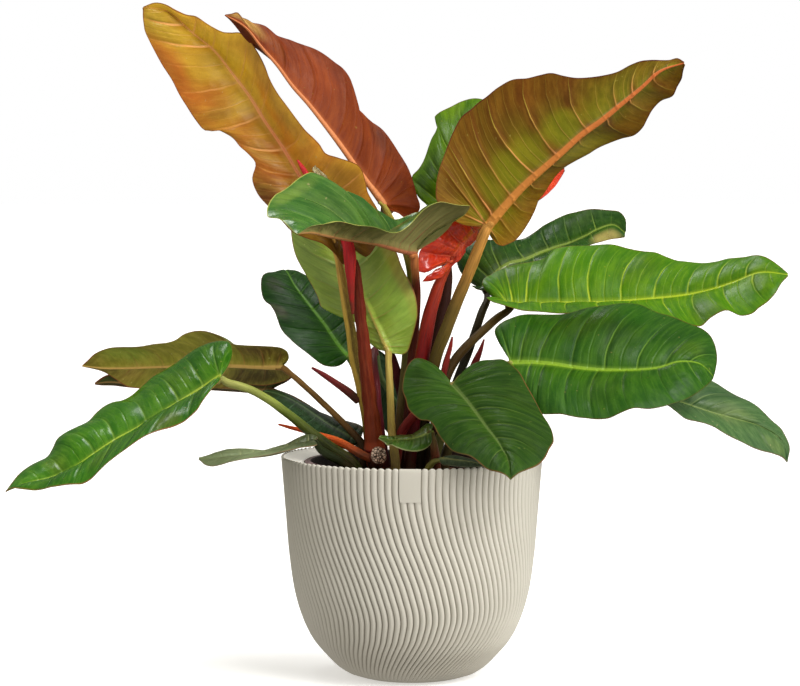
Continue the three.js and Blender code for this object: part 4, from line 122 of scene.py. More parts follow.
  left=[[144.3,-22.0,293.4],[143.1,-20.1,294.2],[140.9,-16.7,295.4],[138.2,-12.0,297.3],[136.2,-6.2,300.5],[135.7,0.4,305.0],[139.5,6.6,309.7],[146.8,11.3,313.1],[156.1,14.5,314.4],[169.5,17.6,314.8],[184.5,19.8,313.7],[198.5,20.8,312.1],[212.5,21.0,309.6],[226.2,20.8,305.5],[239.6,20.0,300.9],[253.2,18.3,296.1],[266.5,16.2,291.2],[279.1,13.9,286.3],[291.1,11.5,281.0],[302.0,9.2,274.4],[312.2,7.2,268.9],[321.5,5.5,264.6],[329.5,3.9,259.5],[336.7,2.0,253.2],[344.3,-0.4,245.6],[352.9,-3.7,238.3],[357.7,-6.6,230.2],[360.2,-8.6,224.5],[361.2,-10.6,219.0],[360.1,-12.6,214.2],[358.8,-14.3,210.5],[358.2,-15.5,208.0],[357.9,-16.0,207.0]],
  right=[[142.8,-30.0,291.2],[142.2,-30.5,291.1],[140.4,-32.1,291.0],[137.5,-34.4,290.8],[134.0,-37.8,289.9],[130.9,-42.1,287.2],[129.9,-47.1,282.9],[133.3,-51.7,278.2],[140.1,-55.4,274.4],[154.2,-59.1,270.7],[170.7,-62.0,268.3],[184.4,-62.4,266.3],[197.1,-61.9,265.3],[209.6,-60.9,265.6],[222.6,-59.3,265.8],[236.5,-56.8,265.6],[247.4,-52.9,258.3],[256.8,-49.4,251.1],[267.1,-47.5,248.4],[276.6,-46.0,246.1],[285.8,-44.5,242.8],[294.5,-43.0,237.7],[303.1,-41.3,232.6],[312.0,-39.2,228.2],[321.5,-36.5,223.4],[331.8,-33.0,219.6],[340.4,-29.4,217.3],[345.6,-26.8,215.4],[350.1,-24.0,213.5],[353.5,-21.2,211.3],[355.4,-18.5,209.1],[356.5,-16.7,207.6],[356.9,-16.0,207.0]],
  wl=[0.00,0.02,0.09,0.19,0.33,0.49,0.67,0.87,1.10,1.48,1.90,2.23,2.52,2.81,3.11,3.42,3.73,4.05,4.37,4.70,5.02,5.33,5.63,5.94,6.27,6.61,6.92,7.15,7.37,7.57,7.75,7.89,8.00],
  wr=[0.00,0.02,0.09,0.19,0.33,0.49,0.67,0.87,1.10,1.48,1.90,2.23,2.52,2.81,3.11,3.42,3.73,4.05,4.36,4.67,4.98,5.30,5.62,5.94,6.27,6.61,6.92,7.15,7.37,7.57,7.75,7.89,8.00]),
 'leaf_12': dict(share=0.220, bulge=0.100, ridge=2.80, _n=np.array([-0.397,-0.456,0.797]),
  mid=[[-180.1,-52.0,290.9],[-199.0,-56.1,279.1],[-217.9,-61.2,267.6],[-237.1,-66.0,256.4],[-255.7,-71.1,244.5],[-275.5,-75.8,234.4],[-294.1,-80.7,222.3],[-312.5,-85.3,209.9],[-332.9,-89.2,200.8],[-354.9,-92.2,195.8],[-375.7,-96.0,188.1]],
  left=[[-179.7,-58.0,289.5],[-180.1,-64.2,288.1],[-180.9,-70.6,286.5],[-182.7,-76.8,284.8],[-185.0,-82.9,282.5],[-187.8,-88.5,279.1],[-190.9,-93.4,275.1],[-194.2,-97.6,270.4],[-197.7,-101.1,264.8],[-203.3,-104.1,259.7],[-210.4,-106.8,254.3],[-220.4,-109.5,249.8],[-231.6,-111.9,246.5],[-241.3,-113.8,242.7],[-249.1,-115.5,238.5],[-256.0,-117.0,234.0],[-262.7,-118.4,229.1],[-269.9,-119.7,223.4],[-277.6,-120.8,216.6],[-285.0,-121.6,209.6],[-291.4,-122.0,203.7],[-297.0,-121.9,200.1],[-302.5,-121.4,197.9],[-308.7,-120.9,197.8],[-316.2,-119.5,197.7],[-324.6,-117.1,196.9],[-333.0,-114.2,195.5],[-340.3,-110.8,192.8],[-347.5,-107.3,190.8],[-355.1,-104.4,190.8],[-362.6,-101.5,191.2],[-370.0,-98.5,191.5],[-375.7,-96.0,187.2]],
  right=[[-179.3,-50.0,292.6],[-173.9,-39.7,302.0],[-170.8,-30.5,312.0],[-173.3,-22.2,320.9],[-182.7,-16.4,322.6],[-192.0,-13.4,321.0],[-199.4,-11.8,318.3],[-205.6,-11.0,315.0],[-211.5,-11.0,311.0],[-218.3,-11.3,306.0],[-227.2,-11.6,299.8],[-237.7,-12.6,293.4],[-247.4,-14.3,287.8],[-254.5,-16.3,281.8],[-261.0,-18.2,276.4],[-267.6,-20.2,271.5],[-275.3,-22.5,267.5],[-283.9,-25.2,265.2],[-291.7,-28.4,260.5],[-298.4,-32.1,254.1],[-305.3,-36.1,246.9],[-315.6,-39.9,242.4],[-325.7,-43.7,237.8],[-333.9,-47.4,232.1],[-338.2,-51.5,224.1],[-342.9,-56.0,217.2],[-350.0,-60.7,213.5],[-356.5,-65.8,209.8],[-362.1,-71.1,205.4],[-366.6,-76.9,200.9],[-370.1,-83.0,196.3],[-373.0,-89.2,192.1],[-375.2,-96.0,189.1]],
  wl=[0.00,0.22,0.43,0.64,0.85,1.06,1.26,1.45,1.65,1.87,2.12,2.43,2.75,3.05,3.32,3.58,3.84,4.13,4.43,4.74,5.05,5.34,5.62,5.91,6.22,6.53,6.83,7.08,7.31,7.51,7.70,7.87,8.00],
  wr=[0.00,0.21,0.41,0.63,0.85,1.07,1.29,1.51,1.74,2.00,2.32,2.67,3.00,3.27,3.52,3.77,4.02,4.28,4.53,4.81,5.13,5.54,5.93,6.26,6.55,6.81,7.04,7.24,7.43,7.61,7.76,7.89,8.00]),
 'leaf_13': dict(share=0.220, bulge=0.100, ridge=2.60, _n=np.array([0.102,0.508,0.855]),
  mid=[[-127.1,44.0,293.5],[-146.5,47.0,294.0],[-165.9,50.2,294.6],[-185.3,53.2,294.9],[-204.7,55.8,294.6],[-224.3,57.1,294.1],[-243.9,58.0,293.4],[-263.5,59.0,292.4],[-283.2,59.1,291.6],[-302.8,58.8,291.6],[-322.3,58.0,293.5]],
  left=[[-126.0,42.0,295.6],[-125.6,41.9,295.8],[-124.4,41.5,296.6],[-122.3,41.0,297.7],[-120.0,39.9,299.7],[-118.9,37.8,303.2],[-119.3,34.7,307.2],[-121.7,30.9,311.0],[-128.6,27.0,314.3],[-146.8,21.5,315.9],[-161.6,18.8,315.6],[-174.4,17.0,317.3],[-183.3,15.9,324.4],[-192.4,15.2,328.4],[-201.6,15.0,329.8],[-210.6,15.4,328.8],[-219.3,16.3,326.3],[-227.0,17.5,321.6],[-235.0,19.0,318.8],[-242.8,20.8,317.3],[-250.0,22.7,316.2],[-256.9,24.9,315.3],[-264.2,27.2,314.5],[-272.4,29.7,313.9],[-280.8,32.6,313.8],[-288.5,35.7,313.8],[-295.0,39.0,312.8],[-301.0,42.4,310.6],[-306.4,45.7,307.9],[-311.0,49.0,304.5],[-314.8,52.2,300.7],[-318.4,55.2,297.4],[-321.8,58.0,294.4]],
  right=[[-127.3,50.0,291.1],[-126.9,50.4,291.0],[-125.7,51.6,290.6],[-123.6,53.5,290.1],[-121.0,56.3,289.3],[-118.9,60.4,287.4],[-118.1,65.5,284.4],[-119.6,71.4,280.9],[-125.6,78.8,276.8],[-144.7,89.9,272.8],[-157.8,93.5,271.7],[-167.9,95.4,270.9],[-177.5,96.7,270.1],[-187.4,97.9,269.0],[-197.1,98.8,268.0],[-206.4,99.2,267.0],[-215.2,99.2,266.0],[-223.4,98.8,265.5],[-231.3,97.9,265.2],[-239.3,96.8,265.4],[-247.1,95.5,266.1],[-254.9,93.9,267.1],[-262.6,91.8,268.3],[-270.4,89.5,269.6],[-278.6,87.0,271.1],[-285.8,84.1,274.7],[-291.3,80.4,278.9],[-296.5,76.3,282.5],[-301.7,72.3,285.7],[-306.9,68.3,288.2],[-312.1,64.6,290.1],[-317.2,61.2,291.6],[-322.1,58.0,292.8]],
  wl=[0.00,0.02,0.07,0.16,0.29,0.45,0.64,0.86,1.18,1.88,2.38,2.80,3.15,3.44,3.71,3.98,4.26,4.54,4.83,5.12,5.42,5.72,6.03,6.37,6.72,7.00,7.20,7.40,7.58,7.74,7.87,7.95,8.00],
  wr=[0.00,0.02,0.07,0.16,0.29,0.45,0.64,0.86,1.18,1.89,2.32,2.66,2.97,3.28,3.59,3.88,4.17,4.45,4.73,5.00,5.28,5.56,5.85,6.16,6.50,6.82,7.07,7.28,7.48,7.66,7.81,7.92,8.00]),
 'leaf_14': dict(share=0.220, bulge=0.080, ridge=2.60, _n=np.array([0.444,-0.476,0.759]),
  mid=[[-52.9,22.0,223.4],[-61.9,22.0,228.6],[-70.9,21.9,234.0],[-79.8,22.1,239.4],[-88.5,23.2,245.1],[-97.1,24.6,250.9],[-105.7,25.9,256.7],[-114.5,27.5,262.0],[-124.0,29.0,266.2],[-133.9,30.5,269.1],[-144.1,32.0,271.0]],
  left=[[-52.8,20.0,221.6],[-53.0,19.7,221.5],[-53.5,18.8,221.1],[-54.2,17.5,220.6],[-55.2,15.7,219.8],[-56.5,13.5,219.0],[-58.1,11.1,218.3],[-60.0,8.5,217.8],[-62.2,5.8,217.5],[-64.7,3.1,217.5],[-68.8,0.1,218.3],[-74.7,-2.7,220.5],[-81.0,-4.9,223.4],[-86.4,-6.1,226.2],[-90.9,-6.9,228.7],[-95.2,-7.5,231.2],[-99.1,-7.9,233.7],[-102.9,-8.0,236.1],[-106.5,-7.8,238.7],[-110.0,-7.4,241.4],[-113.2,-6.8,243.9],[-116.3,-6.0,246.2],[-119.5,-5.0,248.5],[-122.7,-3.8,250.8],[-126.2,-2.1,253.2],[-129.7,0.1,255.5],[-133.2,3.1,257.7],[-136.5,6.5,260.0],[-139.8,10.2,262.5],[-142.6,14.5,264.9],[-144.3,19.9,266.8],[-144.9,25.8,268.2],[-145.5,32.0,269.6]],
  right=[[-51.0,26.0,223.9],[-50.5,27.4,224.6],[-49.9,29.1,225.4],[-49.1,31.1,226.3],[-48.4,33.4,227.6],[-47.6,35.5,229.4],[-46.8,37.6,231.7],[-46.8,39.9,234.2],[-48.3,42.5,235.9],[-50.8,44.9,237.1],[-54.3,47.2,238.3],[-59.0,49.1,239.1],[-63.9,50.5,240.1],[-68.7,51.3,241.0],[-73.1,51.8,242.0],[-77.3,52.3,243.3],[-81.3,52.7,244.9],[-85.2,52.9,246.7],[-89.1,53.0,248.5],[-93.0,52.9,250.4],[-96.8,52.6,252.4],[-100.5,52.1,254.4],[-104.1,51.3,256.4],[-107.8,50.2,258.5],[-111.5,48.9,260.7],[-115.3,47.3,262.8],[-119.0,45.6,265.1],[-122.9,43.6,267.2],[-126.9,41.6,269.1],[-131.1,39.4,270.6],[-135.5,37.1,271.8],[-140.0,34.6,272.3],[-144.5,32.0,272.0]],
  wl=[0.00,0.03,0.10,0.18,0.29,0.41,0.55,0.70,0.86,1.02,1.23,1.50,1.78,2.02,2.22,2.40,2.57,2.75,2.92,3.10,3.29,3.47,3.66,3.83,3.99,4.14,4.28,4.42,4.55,4.68,4.79,4.90,5.00],
  wr=[0.00,0.03,0.10,0.18,0.29,0.41,0.55,0.70,0.86,1.02,1.23,1.50,1.78,2.02,2.22,2.40,2.57,2.75,2.92,3.10,3.29,3.47,3.66,3.83,3.99,4.14,4.28,4.42,4.55,4.68,4.79,4.90,5.00]),
 'leaf_15': dict(share=0.220, bulge=0.080, ridge=2.60, _n=np.array([-0.194,-0.104,0.975]),
  mid=[[-92.0,-54.0,230.8],[-102.4,-56.4,228.5],[-112.7,-58.7,225.4],[-123.1,-60.7,222.3],[-133.6,-62.1,219.8],[-144.5,-63.3,218.3],[-155.4,-64.3,217.6],[-166.3,-64.8,217.6],[-177.2,-65.5,216.5],[-188.1,-66.0,215.1],[-199.1,-66.0,215.6]],
  left=[[-91.8,-60.0,230.0],[-90.8,-63.0,229.7],[-89.6,-66.2,229.4],[-88.7,-69.7,229.1],[-89.0,-73.6,228.8],[-90.6,-77.4,228.6],[-93.0,-81.0,228.5],[-96.2,-84.2,228.4],[-100.0,-86.8,228.3],[-104.2,-89.2,227.9],[-109.1,-91.6,226.9],[-114.5,-93.6,225.8],[-120.0,-95.1,224.6],[-125.2,-96.2,223.4],[-130.1,-96.9,222.3],[-134.9,-97.4,221.5],[-139.6,-97.8,220.7],[-144.2,-98.0,220.0],[-148.9,-97.9,219.3],[-153.4,-97.5,218.7],[-157.8,-97.0,218.0],[-162.2,-96.4,217.2],[-166.4,-95.5,216.3],[-170.6,-94.2,215.2],[-174.7,-92.5,213.7],[-178.7,-90.6,212.4],[-182.9,-88.6,211.3],[-186.8,-86.0,210.8],[-190.2,-82.7,211.1],[-193.2,-78.9,211.7],[-195.5,-74.7,212.8],[-197.6,-70.4,213.8],[-199.7,-66.0,214.7]],
  right=[[-91.1,-53.0,231.7],[-90.9,-52.5,231.8],[-90.3,-51.3,231.9],[-89.4,-49.6,232.2],[-88.6,-47.3,232.6],[-89.0,-44.6,233.5],[-90.9,-42.3,234.7],[-93.6,-40.1,235.5],[-96.9,-38.4,235.7],[-100.7,-36.7,235.2],[-105.6,-34.4,232.9],[-111.2,-31.9,229.7],[-117.0,-29.9,226.3],[-122.7,-28.8,223.7],[-127.9,-28.1,221.7],[-133.0,-27.7,219.8],[-138.1,-27.6,218.0],[-143.1,-27.9,216.9],[-148.1,-28.9,217.1],[-152.8,-30.3,218.0],[-157.3,-31.8,219.0],[-161.8,-33.0,219.9],[-166.3,-34.0,220.8],[-170.7,-35.5,221.4],[-175.0,-37.6,221.3],[-179.0,-40.2,220.6],[-182.7,-43.1,219.7],[-186.2,-46.4,218.9],[-189.4,-49.8,218.1],[-192.4,-53.5,217.3],[-195.1,-57.5,216.8],[-197.4,-61.7,216.6],[-199.5,-66.0,216.6]],
  wl=[0.00,0.07,0.16,0.26,0.38,0.51,0.65,0.79,0.95,1.12,1.32,1.55,1.78,2.00,2.21,2.42,2.63,2.83,3.02,3.21,3.39,3.57,3.75,3.91,4.05,4.19,4.33,4.46,4.58,4.70,4.81,4.91,5.00],
  wr=[0.00,0.07,0.16,0.26,0.38,0.51,0.65,0.79,0.95,1.12,1.32,1.55,1.78,2.00,2.21,2.42,2.62,2.83,3.02,3.22,3.42,3.61,3.80,3.96,4.10,4.24,4.38,4.50,4.62,4.73,4.83,4.92,5.00]),
 'leaf_16': dict(share=0.220, bulge=0.080, ridge=2.60, _n=np.array([0.068,-0.492,0.868]),
  mid=[[-60.5,24.0,304.6],[-68.9,37.2,312.7],[-76.7,49.8,322.4],[-84.6,61.6,333.0],[-93.3,73.0,343.2],[-101.7,85.3,352.8],[-109.5,98.3,361.9],[-116.7,111.7,370.8],[-122.1,126.3,379.3],[-126.3,142.7,383.8],[-128.4,160.0,381.3]],
  left=[[-61.5,22.0,303.8],[-61.6,21.5,303.5],[-62.0,20.1,302.8],[-62.8,17.8,301.7],[-64.8,15.2,300.0],[-68.0,12.6,298.1],[-72.9,10.4,296.6],[-79.3,10.2,296.6],[-87.4,12.6,298.7],[-101.8,24.2,308.9],[-112.5,35.4,316.2],[-119.1,43.9,321.7],[-124.4,51.6,326.1],[-128.4,58.8,331.3],[-131.1,65.5,337.7],[-133.6,72.0,343.7],[-136.5,78.8,348.6],[-139.8,85.5,352.6],[-144.2,91.9,355.3],[-147.4,98.2,358.8],[-149.0,104.1,363.6],[-149.8,109.8,368.1],[-150.0,115.5,372.4],[-149.8,121.1,376.4],[-148.6,127.0,379.5],[-146.4,132.8,381.4],[-143.8,138.1,382.4],[-141.3,142.8,382.7],[-138.7,147.0,382.8],[-136.0,150.8,382.8],[-133.5,154.2,382.4],[-131.3,157.3,381.6],[-129.4,160.0,380.8]],
  right=[[-59.6,28.0,304.3],[-59.5,28.2,304.4],[-59.2,28.8,304.6],[-58.7,29.8,305.0],[-58.0,31.3,305.6],[-57.0,33.1,306.2],[-56.0,35.4,307.2],[-54.9,38.1,308.5],[-53.9,42.0,311.1],[-53.4,52.5,319.6],[-55.2,60.5,327.0],[-57.0,65.8,332.0],[-58.8,70.4,336.3],[-61.0,75.2,340.8],[-63.8,80.4,345.5],[-67.0,85.6,350.2],[-70.5,90.9,354.8],[-74.3,96.3,359.3],[-78.3,101.7,363.6],[-82.7,107.3,367.8],[-87.6,113.1,371.5],[-92.7,118.8,374.7],[-97.6,124.3,377.2],[-102.1,129.3,378.9],[-106.4,134.3,380.2],[-110.2,139.2,381.4],[-113.4,143.6,382.4],[-116.2,147.3,382.9],[-118.8,150.6,383.2],[-121.2,153.6,383.0],[-123.5,156.2,382.4],[-125.4,158.3,381.6],[-126.9,160.0,381.0]],
  wl=[0.00,0.02,0.08,0.17,0.30,0.46,0.64,0.85,1.12,1.68,2.13,2.46,2.73,2.98,3.20,3.40,3.59,3.78,3.99,4.21,4.44,4.68,4.92,5.16,5.40,5.64,5.86,6.08,6.28,6.47,6.66,6.83,7.00],
  wr=[0.00,0.02,0.08,0.17,0.30,0.46,0.64,0.85,1.12,1.68,2.13,2.46,2.73,2.98,3.20,3.40,3.59,3.78,3.99,4.21,4.44,4.68,4.92,5.16,5.40,5.64,5.86,6.08,6.28,6.47,6.66,6.83,7.00]),
 'leaf_17': dict(share=0.220, bulge=-0.080, ridge=3.00, _n=np.array([0.445,0.892,-0.076]),
  mid=[[-22.8,0.0,312.0],[-28.7,4.1,325.5],[-34.8,8.1,339.0],[-41.0,12.3,352.3],[-47.5,17.7,365.1],[-53.8,24.9,377.1],[-59.6,32.1,389.3],[-65.1,39.5,401.6],[-70.3,47.0,413.8],[-75.5,54.0,426.4],[-81.6,62.0,438.0]],
  left=[[-20.9,0.0,312.0],[-20.6,0.0,311.8],[-19.7,0.2,311.4],[-18.1,0.4,310.6],[-15.8,0.8,309.5],[-12.5,1.3,308.7],[-8.2,1.9,308.7],[-3.9,2.1,311.7],[-1.2,2.1,318.5],[4.9,-1.3,341.4],[5.3,-3.4,352.1],[4.4,-4.2,359.8],[3.0,-4.0,366.8],[-0.1,-3.3,374.7],[-4.6,-0.8,382.8],[-8.6,3.4,390.3],[-11.4,8.0,396.9],[-13.2,12.1,402.7],[-15.2,16.0,407.6],[-17.2,19.9,412.0],[-19.8,23.8,416.3],[-23.4,27.7,420.5],[-28.1,31.9,424.9],[-34.1,36.7,429.3],[-40.8,41.5,433.0],[-47.3,45.7,435.8],[-53.0,48.9,437.7],[-58.4,51.8,439.1],[-63.7,54.4,440.0],[-68.7,56.8,440.1],[-73.2,58.8,439.6],[-77.2,60.5,438.9],[-80.6,62.0,438.5]],
  right=[[-24.7,1.0,311.9],[-25.1,1.2,311.9],[-26.5,1.7,311.7],[-28.6,2.5,311.7],[-31.3,4.1,312.2],[-34.2,6.4,313.5],[-37.4,9.0,315.7],[-40.8,11.9,318.7],[-44.2,15.2,322.5],[-49.2,20.9,329.8],[-58.5,29.8,342.9],[-70.5,36.6,348.2],[-80.1,41.1,349.2],[-87.8,44.8,352.6],[-91.3,47.8,360.8],[-95.9,50.7,369.2],[-100.3,53.3,377.6],[-104.1,55.5,385.7],[-107.6,57.6,392.9],[-110.8,59.7,399.7],[-113.4,61.3,406.4],[-115.4,62.6,412.8],[-116.9,63.9,418.7],[-117.8,64.9,424.0],[-117.7,65.2,429.0],[-116.6,65.1,433.5],[-113.9,64.8,437.4],[-109.7,64.3,440.5],[-104.7,63.8,442.7],[-99.2,63.4,443.9],[-93.5,62.9,443.7],[-88.0,62.5,441.7],[-82.6,62.0,439.0]],
  wl=[0.00,0.01,0.05,0.13,0.23,0.38,0.56,0.78,1.09,2.07,2.42,2.65,2.85,3.11,3.43,3.74,4.01,4.22,4.40,4.58,4.75,4.93,5.15,5.40,5.65,5.88,6.08,6.26,6.44,6.60,6.75,6.88,7.00],
  wr=[0.00,0.02,0.07,0.16,0.27,0.41,0.58,0.76,0.95,1.24,1.68,2.08,2.42,2.75,3.06,3.37,3.67,3.94,4.18,4.40,4.61,4.81,5.02,5.23,5.45,5.66,5.87,6.07,6.26,6.45,6.64,6.82,7.00]),
 'leaf_18': dict(share=0.220, bulge=0.060, ridge=3.00, _n=np.array([-0.334,0.936,0.106]),
  mid=[[-35.7,56.0,309.3],[-34.3,57.5,300.2],[-32.6,59.1,291.1],[-30.0,60.1,282.2],[-25.7,60.1,273.9],[-20.8,59.2,266.0],[-15.6,57.6,258.4],[-11.1,55.3,250.5],[-7.6,52.4,242.4],[-4.8,49.0,234.1],[-2.5,45.0,226.0]],
  left=[[-36.7,56.0,308.3],[-36.9,56.1,308.1],[-37.4,56.3,307.4],[-38.4,56.7,306.4],[-39.5,57.3,305.1],[-40.6,58.0,303.3],[-41.3,58.9,301.1],[-41.6,59.9,298.5],[-41.7,61.0,295.8],[-41.7,62.1,293.0],[-41.3,63.5,289.1],[-40.3,65.2,283.9],[-39.1,66.8,278.3],[-37.8,68.2,273.0],[-36.6,69.1,268.2],[-35.5,69.7,263.4],[-34.3,70.0,258.6],[-33.0,69.9,253.9],[-31.7,69.5,249.2],[-30.5,68.5,244.3],[-29.7,67.1,239.4],[-28.3,65.0,235.0],[-26.5,62.6,231.4],[-24.4,60.4,228.7],[-22.1,58.3,226.5],[-19.5,56.1,224.8],[-17.0,54.0,223.5],[-14.4,52.0,222.6],[-11.9,50.1,222.2],[-9.5,48.4,222.3],[-7.2,47.1,223.0],[-5.2,46.0,223.8],[-3.5,45.0,224.5]],
  right=[[-33.8,57.0,309.2],[-33.1,57.5,308.9],[-32.1,58.5,308.4],[-30.6,59.7,307.7],[-28.9,61.1,306.7],[-27.2,62.7,305.2],[-25.4,64.4,303.2],[-23.8,66.2,300.8],[-22.3,67.8,298.0],[-21.1,69.3,294.9],[-20.0,70.8,290.6],[-18.9,72.4,285.1],[-18.1,73.7,279.2],[-15.5,74.0,274.4],[-11.9,73.5,271.1],[-8.5,72.8,267.8],[-5.8,71.8,264.3],[-3.9,70.5,260.5],[-3.1,69.2,256.3],[-2.1,67.5,252.4],[-0.6,65.1,248.8],[0.6,62.7,245.5],[1.4,60.7,242.2],[1.8,58.9,239.6],[2.0,57.0,237.3],[2.0,55.0,235.2],[1.8,53.1,233.3],[1.5,51.3,231.5],[0.8,49.6,230.0],[0.0,48.1,228.7],[-0.7,46.9,227.6],[-1.4,45.8,226.7],[-1.8,45.0,226.0]],
  wl=[0.00,0.03,0.10,0.18,0.29,0.41,0.55,0.69,0.85,1.01,1.22,1.48,1.76,2.00,2.21,2.41,2.60,2.79,2.99,3.21,3.45,3.68,3.88,4.04,4.19,4.33,4.46,4.59,4.70,4.80,4.89,4.95,5.00],
  wr=[0.00,0.03,0.10,0.18,0.29,0.41,0.55,0.69,0.85,1.01,1.22,1.48,1.76,2.00,2.21,2.41,2.60,2.79,2.99,3.21,3.45,3.68,3.88,4.04,4.19,4.33,4.46,4.59,4.70,4.80,4.89,4.95,5.00]),
 'leaf_19': dict(share=0.220, bulge=0.080, ridge=2.60, _n=np.array([0.130,0.501,0.855]),
  mid=[[-140.5,100.0,266.6],[-158.0,101.7,268.2],[-175.4,103.5,269.4],[-192.9,105.2,270.3],[-210.4,107.1,270.7],[-227.9,108.6,271.0],[-245.5,109.7,271.2],[-263.0,110.5,271.6],[-280.6,111.0,272.2],[-298.1,111.1,273.7],[-315.6,110.0,272.3]],
  left=[[-139.4,98.0,267.7],[-138.8,97.4,268.1],[-137.1,95.8,269.0],[-134.5,93.1,270.5],[-130.8,89.7,272.5],[-126.2,85.8,274.5],[-121.2,81.4,277.5],[-116.9,76.7,282.3],[-119.3,73.1,289.2],[-130.7,72.0,292.6],[-148.8,74.2,292.3],[-165.6,76.5,291.3],[-176.3,78.4,290.7],[-184.7,80.1,290.3],[-192.1,81.6,289.9],[-199.4,83.1,289.5],[-207.4,84.6,289.1],[-215.8,86.3,288.6],[-224.2,88.2,288.2],[-232.5,90.1,287.7],[-240.7,92.1,287.3],[-248.8,94.2,286.6],[-256.8,96.4,285.9],[-264.5,98.6,285.1],[-271.7,100.5,284.3],[-278.4,102.2,283.5],[-284.9,103.8,282.7],[-291.2,105.3,282.1],[-297.3,106.6,281.8],[-303.0,107.9,281.0],[-308.0,109.2,278.7],[-312.3,110.1,275.8],[-316.1,110.0,272.8]],
  right=[[-140.7,104.0,265.3],[-140.3,104.5,265.2],[-139.0,105.9,264.9],[-136.8,108.0,264.6],[-134.5,111.1,263.9],[-133.7,115.4,262.0],[-134.7,120.1,259.6],[-137.9,124.7,258.2],[-142.9,128.3,258.0],[-150.2,131.6,258.7],[-161.5,133.9,260.7],[-173.1,135.4,261.7],[-182.1,136.0,262.2],[-190.2,136.2,262.8],[-197.9,136.1,263.3],[-205.4,136.0,263.8],[-213.0,135.6,264.3],[-220.7,135.2,264.7],[-228.2,134.6,265.0],[-235.8,133.8,265.2],[-243.4,132.9,265.5],[-251.4,131.9,265.8],[-259.5,130.6,266.1],[-267.3,128.8,266.4],[-274.3,126.6,266.7],[-280.6,124.5,267.1],[-286.7,122.4,267.7],[-292.4,120.3,268.4],[-297.9,118.2,269.1],[-303.1,116.1,269.5],[-307.8,114.0,269.8],[-312.2,111.9,270.4],[-316.1,110.0,271.3]],
  wl=[0.00,0.02,0.08,0.17,0.29,0.43,0.60,0.77,0.96,1.21,1.57,1.92,2.19,2.42,2.64,2.86,3.09,3.32,3.55,3.79,4.02,4.26,4.52,4.76,4.96,5.13,5.29,5.45,5.59,5.72,5.83,5.93,6.00],
  wr=[0.00,0.02,0.08,0.17,0.29,0.43,0.60,0.77,0.96,1.21,1.57,1.92,2.19,2.42,2.64,2.86,3.09,3.32,3.55,3.79,4.02,4.26,4.52,4.76,4.96,5.13,5.29,5.45,5.59,5.72,5.83,5.93,6.00]),
 'leaf_20': dict(share=0.220, bulge=0.060, ridge=2.40, _n=np.array([-0.465,-0.410,0.785]),
  mid=[[17.6,-68.0,241.6],[13.2,-68.1,239.0],[8.6,-67.9,236.8],[3.8,-67.3,235.2],[-1.2,-66.8,234.1],[-6.2,-66.4,233.3],[-11.2,-65.7,232.8],[-16.2,-64.6,232.7],[-21.2,-63.3,233.1],[-26.0,-61.9,234.1],[-30.9,-61.0,234.8]],
  left=[[17.6,-72.0,239.6],[17.8,-73.3,238.6],[18.1,-74.7,237.5],[18.3,-76.1,236.4],[18.6,-77.7,235.2],[18.5,-79.3,233.9],[18.1,-81.0,232.7],[17.5,-82.7,231.4],[16.6,-84.4,230.2],[15.4,-86.1,229.0],[14.0,-87.7,227.9],[12.0,-89.3,226.8],[9.7,-90.8,225.9],[7.0,-92.1,225.3],[4.1,-93.1,224.9],[1.3,-93.7,225.1],[-1.4,-94.0,225.5],[-3.7,-94.1,226.0],[-5.7,-94.0,226.4],[-7.5,-93.8,226.8],[-9.2,-93.5,227.2],[-10.9,-93.1,227.7],[-12.6,-92.6,228.1],[-14.5,-91.8,228.7],[-16.5,-90.6,229.5],[-18.7,-88.9,230.3],[-20.9,-86.5,230.0],[-22.8,-83.3,229.2],[-24.6,-79.7,230.4],[-26.3,-75.6,231.7],[-28.0,-71.0,232.4],[-29.7,-66.1,232.9],[-31.4,-61.0,233.6]],
  right=[[18.6,-65.0,243.2],[18.7,-63.9,243.7],[19.0,-62.7,244.3],[19.2,-61.3,245.0],[19.4,-59.8,245.6],[19.2,-58.1,246.3],[18.3,-56.4,246.7],[17.0,-54.8,246.9],[15.5,-53.3,247.0],[13.8,-51.8,246.6],[12.1,-50.5,245.6],[10.1,-49.3,244.1],[7.8,-48.1,242.3],[5.3,-47.0,240.4],[2.8,-46.1,238.4],[0.2,-45.3,236.6],[-2.5,-44.7,235.6],[-5.1,-44.2,235.0],[-7.5,-44.0,234.7],[-9.9,-44.0,234.6],[-12.1,-44.2,234.5],[-14.3,-44.6,234.5],[-16.4,-45.1,234.6],[-18.4,-45.8,234.7],[-20.4,-46.8,235.0],[-22.2,-48.0,235.4],[-23.9,-49.4,235.8],[-25.5,-51.0,236.2],[-26.9,-52.8,236.4],[-28.0,-54.8,236.4],[-28.8,-56.8,236.4],[-29.6,-58.9,236.3],[-30.5,-61.0,236.2]],
  wl=[0.00,0.09,0.18,0.28,0.38,0.48,0.59,0.71,0.82,0.94,1.07,1.20,1.35,1.50,1.65,1.80,1.94,2.07,2.21,2.33,2.46,2.59,2.71,2.84,2.96,3.09,3.22,3.35,3.48,3.61,3.74,3.87,4.00],
  wr=[0.00,0.09,0.18,0.28,0.38,0.48,0.59,0.71,0.82,0.94,1.07,1.20,1.35,1.50,1.65,1.80,1.94,2.07,2.21,2.33,2.46,2.59,2.71,2.84,2.96,3.09,3.22,3.35,3.48,3.61,3.74,3.87,4.00]),
 'leaf_21': dict(share=0.220, bulge=0.050, ridge=2.20, _n=np.array([0.120,0.158,-0.980]),
  mid=[[25.9,-76.0,215.3],[30.4,-79.0,215.3],[34.8,-82.1,215.3],[39.2,-85.3,215.1],[43.5,-88.5,215.0],[47.8,-91.8,214.9],[52.0,-95.2,214.8],[56.1,-98.7,214.6],[60.0,-102.4,214.3],[63.9,-106.2,213.8],[67.6,-110.0,213.3]],
